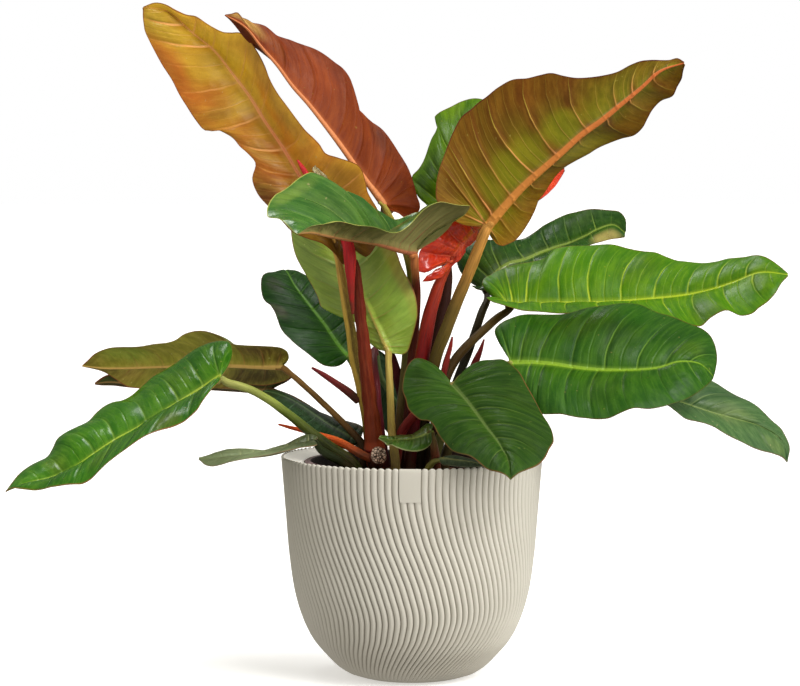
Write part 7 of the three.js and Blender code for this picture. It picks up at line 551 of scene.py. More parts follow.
def leaf_material(name, side, seed):
    gain = GAIN.get(name, (1, 1, 1))
    def soft(c):
        c = srgb(c); return tuple(min(1.0, a * g ** 0.4) for a, g in zip(c[:3], gain)) + (1.0,)
    def tint(c):
        c = srgb(c); return tuple(min(1.0, a * b) for a, b in zip(c[:3], gain)) + (1.0,)
    sp = dict(DEFAULT); sp.update(LOOKS[name].get("both", {})); sp.update(LOOKS[name].get(side, {}))
    if side == "under" and "spec" not in LOOKS[name].get(side, {}): sp["spec"] = min(sp["spec"], 0.16); sp["rough"] = max(sp["rough"], 0.46)
    n = NT(name + "_" + side)
    ca, cb = n.sep(n.attr("ca")), n.sep(n.attr("cb"))
    w, v, r = ca; s, h, m = cb
    a = n.m("ABSOLUTE", v)
    dmid = n.m("MULTIPLY", a, h)
    ob = n.obj()
    # wobble so that no line is ruled
    wob = n.m("SUBTRACT", n.noise(ob, 28.0, 2.0), 0.5)
    w2 = n.m("ADD", w, n.m("MULTIPLY", wob, 0.16))
    def line(mult, half0, half1, odd=False):
        x = n.m("MULTIPLY", w2, mult)
        if odd: x = n.m("ADD", x, 0.5)
        d = n.m("ABSOLUTE", n.m("SUBTRACT", x, n.m("ROUND", x)))
        mm = n.m("MULTIPLY", n.m("DIVIDE", d, mult), s)
        half = n.step(a, 0.0, 1.0, half0, half1, "LINEAR")
        t = n.m("DIVIDE", mm, half)
        return n.step(t, 0.45, 1.35, 1.0, 0.0), mm
    prim, pd = line(1.0, sp["vein_w"], sp["vein_w"] * 0.4)
    sec, sd = line(1.0, sp["vein_w"] * 0.45, sp["vein_w"] * 0.25, odd=True)
    ter, td = line(4.0, 0.35, 0.3)
    fade = n.step(a, 0.55, 1.0, 1.0, 0.15)
    # broad colour
    big = n.noise(ob, 9.0 + seed % 3, 3.0, 0.5)
    col = n.mix(n.step(big, 0.36, 0.64), tint(sp["base"]), tint(sp["base2"]))
    vr = n.xyz(v, r, 0.0)
    pwob = n.m("MULTIPLY", n.m("SUBTRACT", n.noise(ob, 22.0, 3.0, 0.6), 0.5), 1.1)
    for (pv, pr, dv, dr, c, kst) in sp["patches"]:
        d = n.vm("LENGTH", n.vm("MULTIPLY", n.vm("SUBTRACT", vr, (pv, pr, 0.0)), (1.0 / dv, 1.0 / dr, 0.0)))
        f = n.step(n.m("ADD", d, pwob), 0.35, 1.25, kst, 0.0)
        col = n.mix(f, col, tint(c))
    if sp["bias"]:                                     # one half is made warmer, paler or darker than the other; on leaf_01 this lightens the half its fold shades and darkens the other: painted light and shade
        lg, rg = sp["bias"]; col = n.mix(1.0, col, n.mix(n.step(v, -0.12, 0.12), tuple(lg) + (1.0,), tuple(rg) + (1.0,)), "MULTIPLY")
    # lighter between the veins and darker beside them: partly the blade's own colour, partly a painted glow of light
    # shining through the blade
    if sp["inter_k"]:
        st = n.m("ABSOLUTE", n.m("SINE", n.m("MULTIPLY", w2, math.pi)))
        f = n.m("MULTIPLY", n.step(st, 0.15, 0.9), n.step(a, 0.03, 0.75, sp["inter_k"], sp["inter_k"] * 0.12))
        col = n.mix(f, col, tint(sp["inter"]))
    # streaks that run with the veins
    streak = n.noise(n.xyz(n.m("MULTIPLY", w2, 5.5), n.m("MULTIPLY", v, 2.2), 0.0), 1.0, 4.0, 0.62)
    col = n.mix(n.step(streak, 0.3, 0.75, 0.0, sp["streak"]), col, tint(sp["dark"]))
    col = n.mix(n.step(streak, 0.62, 0.3, 0.0, sp["streak"] * 0.7), col, tint(sp["light"]))
    # fine cells and specks
    cell = n.noise(ob, 900.0, 2.0, 0.6)
    col = n.mix(n.step(cell, 0.35, 0.7, 0.0, 0.10), col, tint(sp["dark"]))
    speck = n.noise(ob, 260.0, 1.0, 0.5)
    col = n.mix(n.step(speck, 0.745, 0.79, 0.0, sp["speck"]), col, tint((196, 190, 150)))
    vc = n.mix(n.step(a, 0.05, 0.9), soft(sp["vein"]), soft(sp["vein2"]))
    col = n.mix(n.m("MULTIPLY", ter, sp["ter_k"]), col, vc)
    col = n.mix(n.m("MULTIPLY", n.m("MULTIPLY", sec, fade), sp["sec_k"]), col, vc)
    patchy = n.step(n.noise(ob, 34.0, 2.0), 0.3, 0.65, 0.35, 1.0)
    # each side vein has its own strength
    wn = n.n.new("ShaderNodeTexWhiteNoise"); wn.noise_dimensions = "1D"
    n.put(wn.inputs["W"], n.m("ADD", n.m("ROUND", w2), n.m("MULTIPLY", n.m("SIGN", v), 31.3 + seed)))
    own = n.step(wn.outputs["Value"], 0.1, 0.8, sp["vein_lo"], 1.0)
    col = n.mix(n.m("MULTIPLY", n.m("MULTIPLY", n.m("MULTIPLY", n.m("MULTIPLY", prim, fade), patchy), own), sp["vein_k"]), col, vc)
    # midrib
    mw = n.m("MULTIPLY_ADD", n.m("POWER", n.m("SUBTRACT", 1.0, m, clamp=True), 0.8), sp["mid_w"] - 0.5, 0.5)
    md = n.m("DIVIDE", dmid, mw)
    midc = n.mix(m, soft(sp["mid"]), soft(sp["mid2"]))
    midf = n.m("MULTIPLY", n.step(md, 0.75, 1.25, 1.0, 0.0), n.step(r, sp["_share"] * 0.2, sp["_share"] * 0.95))
    halo = n.m("MULTIPLY", n.step(md, 1.0, 3.2, sp["halo"], 0.0), n.step(r, sp["_share"] * 0.4, sp["_share"]))
    col = n.mix(halo, col, soft(sp["mid2"]))
    col = n.mix(midf, col, midc)
    hub = n.step(dmid, 4.0, 1.0, 0.0, 0.7)
    hubf = n.m("MULTIPLY", hub, n.step(r, sp["_share"] * 1.3, sp["_share"] * 1.05))
    col = n.mix(hubf, col, soft(sp["mid"]))
    # rim
    de = n.m("MULTIPLY", n.m("SUBTRACT", 1.0, a), h)
    rim = n.m("MULTIPLY", n.step(n.m("ADD", de, n.m("MULTIPLY", wob, 0.9)), sp["rim_w"] * 1.7, sp["rim_w"] * 0.5, 0.0, sp["rim_k"]), n.step(n.noise(ob, 16.0, 2.0), 0.35, 0.6, 0.45, 1.0))
    col = n.mix(rim, col, soft(sp["rim"]))
    # relief: veins stand out below and are sunk above
    sign = 1.0 if side == "under" else -1.0
    groove = n.m("MULTIPLY", n.step(n.m("DIVIDE", pd, 2.6), 0.0, 1.0, 1.0, 0.0), n.m("MULTIPLY", fade, sign * 0.55))
    g2 = n.m("MULTIPLY", n.step(n.m("DIVIDE", sd, 1.6), 0.0, 1.0, 1.0, 0.0), n.m("MULTIPLY", fade, sign * 0.2))
    g3 = n.m("MULTIPLY", ter, sign * 0.06)
    hgt = n.m("ADD", n.m("ADD", groove, g2), n.m("ADD", g3, n.m("MULTIPLY", n.noise(ob, 330.0, 3.0, 0.6), 0.12)))
    hgt = n.m("ADD", hgt, n.m("MULTIPLY", n.noise(ob, 60.0, 2.0, 0.5), 0.9))
    nor = n.bump(hgt, 0.001, sp["bump"])
    rough = n.step(n.noise(ob, 40.0, 3.0, 0.6), 0.3, 0.7, sp["rough"] - 0.05, sp["rough"] + 0.10)
    rough = n.mixf(n.m("MULTIPLY", prim, 0.5), rough, 0.5)
    n.set(color=col, rough=rough, normal=nor, spec=sp["spec"])
    if sp.get("coat"): n.set(coat=sp["coat"], coat_rough=0.09)
    return n.mat

# ------------------------------------------------------------------ stalks and shoots
def through(P, step=0.35):
    """dense centripetal curve through points of any dimension; returns points and share of length"""
    P = np.asarray(P, float); out = []; n = len(P)
    for i in range(n - 1):
        p1, p2 = P[i], P[i + 1]
        p0 = P[i - 1] if i else 2 * p1 - p2; p3 = P[i + 2] if i + 2 < n else 2 * p2 - p1
        g = lambda a, b: max(np.linalg.norm((a - b)[:3]) ** 0.5, 1e-4)
        t0 = 0; t1 = g(p0, p1); t2 = t1 + g(p1, p2); t3 = t2 + g(p2, p3)
        for t in np.linspace(t1, t2, 24, endpoint=False):
            A1 = (t1 - t) / t1 * p0 + t / t1 * p1
            A2 = (t2 - t) / (t2 - t1) * p1 + (t - t1) / (t2 - t1) * p2
            A3 = (t3 - t) / (t3 - t2) * p2 + (t - t2) / (t3 - t2) * p3
            B1 = (t2 - t) / t2 * A1 + t / t2 * A2
            B2 = (t3 - t) / (t3 - t1) * A2 + (t - t1) / (t3 - t1) * A3
            out.append((t2 - t) / (t2 - t1) * B1 + (t - t1) / (t2 - t1) * B2)
    out.append(P[-1]); out = np.array(out)
    d = np.linalg.norm(np.diff(out[:, :3], axis=0), axis=1); L = np.r_[0, np.cumsum(d)]
    return out, L

def frames(C, up):
    T = unit(np.gradient(C, axis=0)); A = np.zeros_like(C)
    a = np.array(up, float); a -= T[0] * (a @ T[0]); A[0] = a / np.linalg.norm(a)
    for i in range(1, len(C)):
        a = A[i - 1] - T[i] * (A[i - 1] @ T[i]); A[i] = a / np.linalg.norm(a)
    return T, A, np.cross(T, A)

def make(name, V, F, mats, attrs=(), smooth_faces=True, idx=None):
    me = bpy.data.meshes.new(name); me.from_pydata((np.asarray(V, float) * 0.001).tolist(), [], [list(map(int, f)) for f in F])
    me.polygons.foreach_set("use_smooth", [smooth_faces] * len(F))
    if idx is not None: me.polygons.foreach_set("material_index", idx)
    for nm, A in attrs:
        at = me.attributes.new(nm, "FLOAT_VECTOR", "CORNER"); at.data.foreach_set("vector", np.asarray(A, np.float32).ravel())
    for m in mats: me.materials.append(m)
    me.update()
    ob = bpy.data.objects.new(name, me); scene.collection.objects.link(ob); return ob

def sweep(name, node, path, mat, sides=18, step=3.2, up=(0, 0.4, 1), shape=None, cap=None, seed=0, wob=0.12, blunt=False):
    """closed tube along path (x, y, z, radius, mm); shape(t, angle, radius) gives the radius at an angle"""
    D, L = through(path); n = max(12, int(L[-1] / step)); s = np.linspace(0, L[-1], n)
    C = np.stack([np.interp(s, L, D[:, k]) for k in range(3)], -1); R = np.interp(s, L, D[:, 3])
    T, A, B = frames(C, up); th = np.linspace(0, 2 * np.pi, sides, endpoint=False)
    nz = Waves(seed + 11, 2, 6, 0.4, 1.3)(np.stack([s[:, None] / 22 + 0 * th, np.cos(th)[None] + 0 * s[:, None]], -1))
    t = s / L[-1]
    RR = np.stack([shape(t, a, R) if shape else R for a in th], 1) * (1 + wob * 0.35 * nz)
    V = C[:, None] + RR[..., None] * (np.cos(th)[None, :, None] * A[:, None] + np.sin(th)[None, :, None] * B[:, None])
    V = V.reshape(-1, 3); F, K = [], []
    ang = np.arange(sides + 1) / sides
    for i in range(n - 1):
        for j in range(sides):
            k = (j + 1) % sides
            F.append([i * sides + j, (i + 1) * sides + j, (i + 1) * sides + k, i * sides + k][::-1])
            K += [(s[i] , ang[j + 1], R[i]), (s[i + 1], ang[j + 1], R[i + 1]), (s[i + 1], ang[j], R[i + 1]), (s[i], ang[j], R[i])]
    base, tip = len(V), len(V) + 1
    end = C[-1] + (T[-1] * R[-1] * (0.05 if blunt else 0.55)); V = np.concatenate([V, [C[0] - T[0] * R[0] * 0.4], [end]])
    idx = [0] * len(F)
    for j in range(sides):
        k = (j + 1) % sides
        F.append([base, j, k]); K += [(0, ang[j], 0)] * 3; idx.append(0)
        o = (n - 1) * sides
        F.append([tip, o + k, o + j]); K += [(s[-1], 0.5, 0), (s[-1], ang[j + 1], R[-1]), (s[-1], ang[j], R[-1])]; idx.append(1 if cap else 0)
    ob = make(name, V, F, [mat] + ([cap] if cap else []), [("ta", K)], True, idx)
    bm = bmesh.new(); bm.from_mesh(ob.data)
    bmesh.ops.recalc_face_normals(bm, faces=bm.faces)
    if cap:
        for e in bm.edges:
            if len(e.link_faces) == 2 and e.link_faces[0].material_index != e.link_faces[1].material_index: e.smooth = False
    bm.to_mesh(ob.data); bm.free()
    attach(ob, "root"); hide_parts(node)
    return ob

def stalk_material(name, low, mid, top, streak=(90, 60, 30), side_tint_and_highlight=None, rough=0.36, speck=0.35, rib=0.5, edge=None, spec=0.2, lo=(0.05, 0.5), hi=(0.5, 0.98), band=()):
    """low, mid, top are the colours along the length; the side colour tints the upper side, and on the new shoot and
    the fourth leaf's stalk it is a painted highlight
    """
    n = NT(name); s, an, R = n.sep(n.attr("ta")); ob = n.obj()
    length = max(STALK_LEN.get(name, 200.0), 1.0)
    t = n.m("DIVIDE", s, length)
    t2 = n.m("ADD", t, n.m("MULTIPLY", n.m("SUBTRACT", n.noise(ob, 18.0, 3.0), 0.5), 0.35))
    up_ = n.step(t2, lo[0], lo[1]); col = n.mix(up_, srgb(low), srgb(mid)); col = n.mix(n.step(t2, hi[0], hi[1]), col, srgb(top)); part = n.m("MULTIPLY_ADD", up_, 0.8, 0.2)
    th = n.m("MULTIPLY", an, 2 * math.pi)
    cx, cy = n.m("COSINE", th), n.m("SINE", th)
    # side colour: a tint of one side of the stalk; on the new shoot and the fourth leaf's stalk it is a painted
    # highlight
    if side_tint_and_highlight is not None:
        f = n.m("MULTIPLY", n.step(n.m("ADD", cx, n.m("MULTIPLY", n.m("SUBTRACT", n.noise(ob, 30.0, 2.0), 0.5), 1.6)), -0.3, 0.9), 0.7)
        col = n.mix(n.m("MULTIPLY", f, part), col, srgb(side_tint_and_highlight))
    if edge is not None:                                # the side in the shade of its neighbours stays dark
        f = n.step(n.m("ADD", cy, n.m("MULTIPLY", n.m("SUBTRACT", n.noise(ob, 26.0, 2.0), 0.5), 0.8)), -0.35, 0.15, 0.85, 0.0)
        col = n.mix(n.m("MULTIPLY", f, n.step(t, 0.95, 0.6)), col, srgb(edge))
    v = n.xyz(n.m("MULTIPLY", cx, 4.0), n.m("MULTIPLY", cy, 4.0), n.m("MULTIPLY", s, 0.05))
    st = n.noise(v, 1.0, 4.0, 0.65)
    col = n.mix(n.step(st, 0.35, 0.75, 0.0, 0.55), col, srgb(streak))
    fine = n.noise(n.xyz(n.m("MULTIPLY", cx, 14.0), n.m("MULTIPLY", cy, 14.0), n.m("MULTIPLY", s, 0.12)), 1.0, 3.0, 0.6)
    light = tuple(min(255, int(c * 1.3 + 10)) for c in mid)
    col = n.mix(n.m("MULTIPLY", n.step(fine, 0.55, 0.8, 0.0, 0.5), part), col, srgb(light))
    sp = n.noise(n.xyz(n.m("MULTIPLY", cx, 5.0), n.m("MULTIPLY", cy, 5.0), n.m("MULTIPLY", s, 0.55)), 1.6, 1.0)
    col = n.mix(n.m("MULTIPLY", n.step(sp, 0.66, 0.74, 0.0, speck), part), col, srgb(light))
    for (bt, bw, bc) in band:
        col = n.mix(n.step(n.m("DIVIDE", n.m("ABSOLUTE", n.m("SUBTRACT", t, bt)), bw), 0.5, 1.3, 0.8, 0.0), col, srgb(bc))
    dirt = n.m("MULTIPLY", n.step(s, 45.0, 0.0), n.step(n.noise(ob, 90.0, 3.0), 0.35, 0.7, 0.1, 0.8))
    col = n.mix(dirt, col, srgb((70, 50, 34)))
    h = n.m("ADD", n.m("MULTIPLY", st, rib), n.m("MULTIPLY", fine, 0.35 * rib))
    nor = n.bump(h, 0.0012, 0.6)
    r = n.step(st, 0.3, 0.7, rough - 0.05, rough + 0.14)
    n.set(color=col, rough=r, normal=nor, spec=spec)
    return n.mat

def stalk_shape(t, a, R):
    # a shallow channel along the upper side, a slightly swollen neck under the blade
    g = np.exp(-((np.minimum(a, 2 * np.pi - a)) / 0.42) ** 2)
    return R * (1 - 0.16 * g * smooth(0.05, 0.3, t)) * (1 + 0.10 * np.exp(-((t - 0.95) / 0.05) ** 2)) * (1 + 0.12 * np.exp(-(t / 0.07) ** 2))

STALK_LEN = {}
for nm, path in PATHS.items(): STALK_LEN[nm] = float(through(path)[1][-1])
for nm, look in STALK_LOOKS.items():
    fat = {"leaf_04_petiole": 0.35, "leaf_06_petiole": 0.25}.get(nm, 0.0); q = len(PATHS[nm]) - 1
    path = [list(p[:3]) + [p[3] * (1 + fat * math.sin(math.pi * k / q))] for k, p in enumerate(PATHS[nm])]
    leaf = nm[:7]
    if nm.endswith("_petiole"):
        T = LEAVES[leaf]; M = np.array(T["mid"]); a = M[0]; d = unit(M[1] - M[0])
        last = path[-1]
        if leaf in ("leaf_03", "leaf_08", "leaf_09", "leaf_10", "leaf_11", "leaf_12", "leaf_16"): a = a - T["_n"] * T["ridge"] * 0.7
        if np.linalg.norm(a - np.array(last[:3])) > 2.5: path.append(list(a) + [T["ridge"] * 1.05])
        else: path[-1] = list(a) + [last[3]]
        b = a + d * 5.0; path.append(list(b - T["_n"] * T["ridge"] * 0.8) + [T["ridge"] * 0.72])
    sweep(nm + "_look", nm, path, stalk_material(nm, **look), shape=stalk_shape, seed=len(nm) + int(leaf[5:7] if leaf[5:7].isdigit() else 3), sides=18, step=3.4)

# the sheath: a folded leaf base, with a lapping edge along its front
def sheath_shape(t, a, R):
    lap = np.where(a < 3.3, 1.06, 0.97) * (1 + 0.05 * np.cos(a * 9) * (1 - t))
    # its foot flares into a collar just above the cut stub
    foot = np.where(t > 0.125, 0.20 * np.exp(-((t - 0.125) / 0.024) ** 2), 0.20 * np.exp(-((t - 0.125) / 0.009) ** 2) - 0.10 * smooth(0.125, 0.112, t))
    return R * lap * (1 + foot)
sweep("shoot_sheath_look", "shoot_sheath", PATHS["shoot_sheath"], stalk_material("shoot_sheath", (140, 58, 30), (112, 38, 16), (96, 14, 18), streak=(126, 62, 28), side_tint_and_highlight=(92, 24, 12), rough=0.4, rib=1.1, band=((0.145, 0.020, (158, 66, 34)), (0.120, 0.009, (126, 18, 36)))), sides=44, step=1.3, shape=sheath_shape, seed=61, up=(0.3, -1, 0), wob=0.3)

def shoot_shape(t, a, R):
    # a rolled leaf: the free edge makes one turn on its way up
    e = (a - 5.0 * t - 0.8) % (2 * np.pi)
    return R * (0.90 + 0.16 * e / (2 * np.pi)) 
# the new shoot's bright crimson side colour is a painted highlight
sweep("new_shoot_look", "new_shoot", PATHS["new_shoot"], stalk_material("new_shoot", (150, 34, 28), (190, 28, 34), (168, 22, 28), streak=(92, 8, 16), side_tint_and_highlight=(222, 62, 66), rough=0.22, rib=0.6), sides=56, step=1.9, shape=shoot_shape, seed=62, up=(0.2, -1, 0), wob=0.12)

def husk_shape(t, a, R):
    # a dry bud scale: hollow towards the stalk it came from, with a keel
    hollow = np.exp(-((np.abs((a - np.pi + np.pi) % (2 * np.pi) - np.pi)) / 0.75) ** 2)
    return R * (1 + 0.12 * np.cos(2 * a)) * (1 - 0.30 * hollow * smooth(0.1, 0.5, t)) * (1 + 0.05 * np.cos(a * 7))
for i, (lo, mi, to, bl) in enumerate([((104, 52, 40), (128, 44, 44), (110, 30, 34), (140, 62, 60)), ((150, 66, 28), (206, 84, 28), (210, 74, 26), (220, 112, 52)),
                                      ((84, 26, 18), (112, 28, 24), (140, 40, 34), (122, 46, 34)), ((80, 30, 22), (96, 26, 28), (116, 28, 26), (110, 46, 38)),
                                      ((60, 18, 20), (78, 18, 24), (96, 26, 28), (92, 36, 32))]):
    nm = "cataphyll_%d" % (i + 1)
    sweep(nm + "_look", nm, PATHS[nm], stalk_material(nm, lo, mi, to, streak=tuple(int(c * 0.6) for c in mi), side_tint_and_highlight=bl, rough=0.42, rib=0.9), sides=36, step=2.2, shape=husk_shape, seed=70 + i, up=(0.2, 0.9, 0.4), wob=0.35)

def cut_material():
    n = NT("cut_stub_face"); ob = n.obj()
    d = n.voronoi(ob, 360.0, "DISTANCE_TO_EDGE")
    base = n.mix(n.step(n.noise(ob, 120.0, 3.0), 0.35, 0.65), srgb((250, 220, 196)), srgb((214, 168, 140)))
    col = n.mix(n.step(d, 0.17, 0.04, 0.0, 0.97), base, srgb((40, 22, 16)))
    col = n.mix(n.step(n.noise(ob, 260.0, 3.0), 0.52, 0.62, 0.0, 0.7), col, srgb((84, 52, 40)))
    n.set(color=col, rough=0.85, normal=n.bump(n.m("ADD", d, n.noise(ob, 500.0, 3.0)), 0.0015, 0.8), spec=0.2); return n.mat
stub = [list(p) for p in PATHS["cut_stub"]]
sweep("cut_stub_look", "cut_stub", stub, stalk_material("cut_stub", (84, 52, 36), (128, 60, 42), (140, 70, 50), streak=(60, 36, 26), rough=0.6, rib=1.2), sides=40, step=1.2, cap=cut_material(), seed=81, wob=0.5, blunt=True)

# ------------------------------------------------------------------ planter
PROFILE = [(54.9, 0), (61.6, 4.2), (71.3, 10.6), (82, 21.2), (94.4, 36), (104, 55), (111.8, 80.5), (117.2, 116.6), (120.7, 159), (125, 212)]
SHIFT_Z = [0, 15, 29, 46, 65, 77, 102, 125, 141, 157, 172, 188, 211]
SHIFT_A = [-3, 2.5, 8.2, 13.5, 15.8, 15.3, 11.8, 7.5, 4.4, 2.2, 0.5, -0.2, 0]
RIBS = 115
def turned_rows(prof, n):
    D, L = through([(r, z, 0.0) for r, z in prof]); s = np.linspace(0, L[-1], n)
    return np.interp(s, L, D[:, 0]), np.interp(s, L, D[:, 1])

def planter():
    R0, Z0 = turned_rows(PROFILE, 76)
    u = np.array([0, .045, .14, .30, .5, .70, .86, .955]); cols = len(u) * RIBS
    first = -5.6                                        # degrees from -Y towards +X of one groove at the rim
    base = first + (np.repeat(np.arange(RIBS), len(u)) + np.tile(u, RIBS)) * 360.0 / RIBS
    U = np.tile(u, RIBS); ribno = np.repeat(np.arange(RIBS), len(u))
    zs = np.linspace(0, 212, 400); sh = np.interp(zs, SHIFT_Z, SHIFT_A)
    k = np.exp(-np.linspace(-2, 2, 41) ** 2); sh = np.convolve(np.pad(sh, 20, "edge"), k / k.sum(), "valid")
    rows, depth = [], []
    def ring(r, z, ang, dep): rows.append(np.stack([r * np.sin(np.radians(ang)), -r * np.cos(np.radians(ang)), z + 0 * ang], -1)); depth.append(dep)
    amp = 2.5
    rib = (1 - np.abs(2 * U - 1) ** 2.4) ** 0.8
    Rr, Zr = list(R0[:-1]), list(Z0[:-1])
    for zz in (180.3, 180.9, 181.6, 206.0, 208.0):
        rr = float(np.interp(zz, Z0, R0)); Rr.append(rr); Zr.append(zz)
    order = np.argsort(Zr); Rr, Zr = np.array(Rr)[order], np.array(Zr)[order]
    Rr, Zr = Rr[Zr < 208.3], Zr[Zr < 208.3]
    keep = np.r_[True, np.diff(Zr) > 0.18]; Rr, Zr = Rr[keep], Zr[keep]
    for r, z in ((41.0, 0.0), (46.0, 0.25), (50.5, 0.95), (54.5, 2.1)): ring(r, z, base - 3 + 0.4 * z, 0 * base)
    for r, z in zip(Rr, Zr):
        if z < 3.6: continue
        ang = base + np.interp(z, zs, sh)
        a = amp * (0.25 + 0.75 * smooth(2, 24, z)) * (1.0 - 0.15 * smooth(150, 212, z))
        h = rib * 1.0
        inplate = (ribno < 3) & (z > 180.6)
        edge = ((ribno == 0) & (U == 0)) | ((ribno == 3) & (U == 0))
        h = np.where(inplate & ~edge, 1.03, h)
        ring(r + 0.25 - a * (1 - h), z, ang, (1 - h) * (a / amp))
    # the ribs end in a scalloped lip that stands a little above the flat rim
    lip = np.where((ribno < 3) & ~((ribno == 0) & (U < 0.03)), 0.9, rib); rt = 125.25 - amp * 0.85 * (1 - lip)
    for dr, dz in ((0.05, -1.0), (0.25, -0.45), (0.7, -0.08), (1.3, 0.0), (1.9, -0.12), (2.4, -0.5)):
        ring(rt - dr, 209.8 + 2.4 * lip + dz * (0.6 + 0.4 * lip), base, (1 - lip) * 0.8)
    # flat rim, its inner edge, the hidden inside and floor
    for r, z in ((120.4, 209.2), (119.6, 209.0), (113.0, 208.2), (105.6, 207.3), (104.4, 206.9), (103.8, 206.2), (103.6, 205.6), (104.6, 205.2), (120.0, 205.2), (119.8, 200), (116.8, 159), (113.5, 116.6), (108.1, 80.5), (100.3, 55), (88.8, 36), (76.4, 21.2), (65.7, 10.6), (58.6, 4.0), (30, 4.0)):
        ring(r, z, base, 0 * base + 0.0)
    n, V = len(rows), np.concatenate(rows); dep = np.concatenate(depth)
    ids = np.arange(n * cols).reshape(n, cols)
    a, b = ids[:-1], ids[1:]
    F = np.stack([a, np.roll(a, -1, 1), np.roll(b, -1, 1), b], -1).reshape(-1, 4)
    cen_low, cen_up = len(V), len(V) + 1
    V = np.concatenate([V, [[0, 0, 0], [0, 0, 4.0]]]); dep = np.r_[dep, 0, 0]
    F = F.tolist()
    for j in range(cols):
        k2 = (j + 1) % cols
        F.append([cen_low, ids[0, k2], ids[0, j]]); F.append([cen_up, ids[-1, j], ids[-1, k2]])
    K = np.concatenate([np.array(f) for f in F])
    att = np.stack([dep[K], V[K, 2], 0 * K], -1)
    ob = make("planter_look", V, F, [planter_material()], [("pa", att)])
    bm = bmesh.new(); bm.from_mesh(ob.data)
    for e in bm.edges:
        if len(e.link_faces) == 2 and e.calc_face_angle(0) > math.radians(50): e.smooth = False
    bm.to_mesh(ob.data); bm.free()
    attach(ob, "root"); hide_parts("planter")

def planter_material():
    n = NT("planter_plastic"); ob = n.obj(); d, z, _ = n.sep(n.attr("pa"))
    base = n.mix(n.step(n.noise(ob, 6.0, 3.0), 0.3, 0.7), srgb((202, 198, 187)), srgb((195, 191, 179)))
    # painted shade: the grooves between the ribs and the notches of the lip are darkened, less so on the +X side that
    # faces the key light
    col = n.mix(n.m("MULTIPLY", n.step(d, 0.25, 1.0), n.step(n.sep(ob)[0], -0.02, 0.10, 0.66, 0.34)), base, srgb((128, 121, 106)))
    col = n.mix(n.m("MULTIPLY", n.step(z, 70.0, 0.0), 0.25), col, srgb((158, 148, 132)))
    sc = n.noise(n.xyz(n.m("MULTIPLY", n.sep(ob)[0], 900.0), n.m("MULTIPLY", n.sep(ob)[1], 900.0), n.m("MULTIPLY", n.sep(ob)[2], 60.0)), 1.0, 3.0, 0.6)
    col = n.mix(n.step(sc, 0.6, 0.8, 0.0, 0.10), col, srgb((160, 150, 134)))
    ox, oy, oz = n.sep(ob)                               # the flat rim is painted paler than the rest of the pot, and its left part glows faintly: painted light
    rad = n.m("SQRT", n.m("ADD", n.m("MULTIPLY", ox, ox), n.m("MULTIPLY", oy, oy)))
    flat = n.m("MULTIPLY", n.step(rad, 0.1232, 0.1222), n.step(oz, 0.2052, 0.2062))
    col = n.mix(flat, col, srgb((236, 232, 222)))
    grain = n.noise(ob, 1600.0, 2.0, 0.6)
    nor = n.bump(n.m("ADD", grain, n.m("MULTIPLY", n.noise(ob, 120.0, 2.0), 0.7)), 0.0002, 0.55)
    # painted light: a faint glow on the left side of the flat rim
    n.set(color=col, rough=n.step(n.noise(ob, 30.0, 3.0), 0.3, 0.7, 0.46, 0.60), normal=nor, spec=0.4, glow=(0.80, 0.77, 0.70, 1.0), glow_k=n.m("MULTIPLY", flat, n.step(ox, 0.02, -0.09, 0.10, 0.36)))
    return n.mat
planter()

# ------------------------------------------------------------------ nursery pot
def lathe(name, node, prof, segs, mats, idx=None, wob=None):
    n = len(prof); th = np.linspace(0, 2 * np.pi, segs, endpoint=False); rows = []
    for r, z in prof[1:-1]:
        w = wob(r, z, th) if wob is not None else 0 * th
        rows.append(np.stack([(r + w) * np.cos(th), (r + w) * np.sin(th), z + 0 * th], -1))
    m = len(rows); ids = np.arange(m * segs).reshape(m, segs); a, b = ids[:-1], ids[1:]
    F = np.stack([a, np.roll(a, -1, 1), np.roll(b, -1, 1), b], -1).reshape(-1, 4).tolist()
    mi = np.repeat(np.array([0] * (m - 1)) if idx is None else np.array(idx[1:m]), segs).tolist()
    V = np.concatenate(rows + [np.array([[0, 0, prof[0][1]], [0, 0, prof[-1][1]]])]); p, q = len(V) - 2, len(V) - 1
    for j in range(segs):
        k = (j + 1) % segs
        F.append([p, ids[0, k], ids[0, j]]); F.append([q, ids[-1, j], ids[-1, k]]); mi += [mi[0], 0 if idx is None else idx[-1]]
    ob = make(name, V, F, mats, idx=mi)
    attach(ob, "root"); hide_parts(node)
    return ob

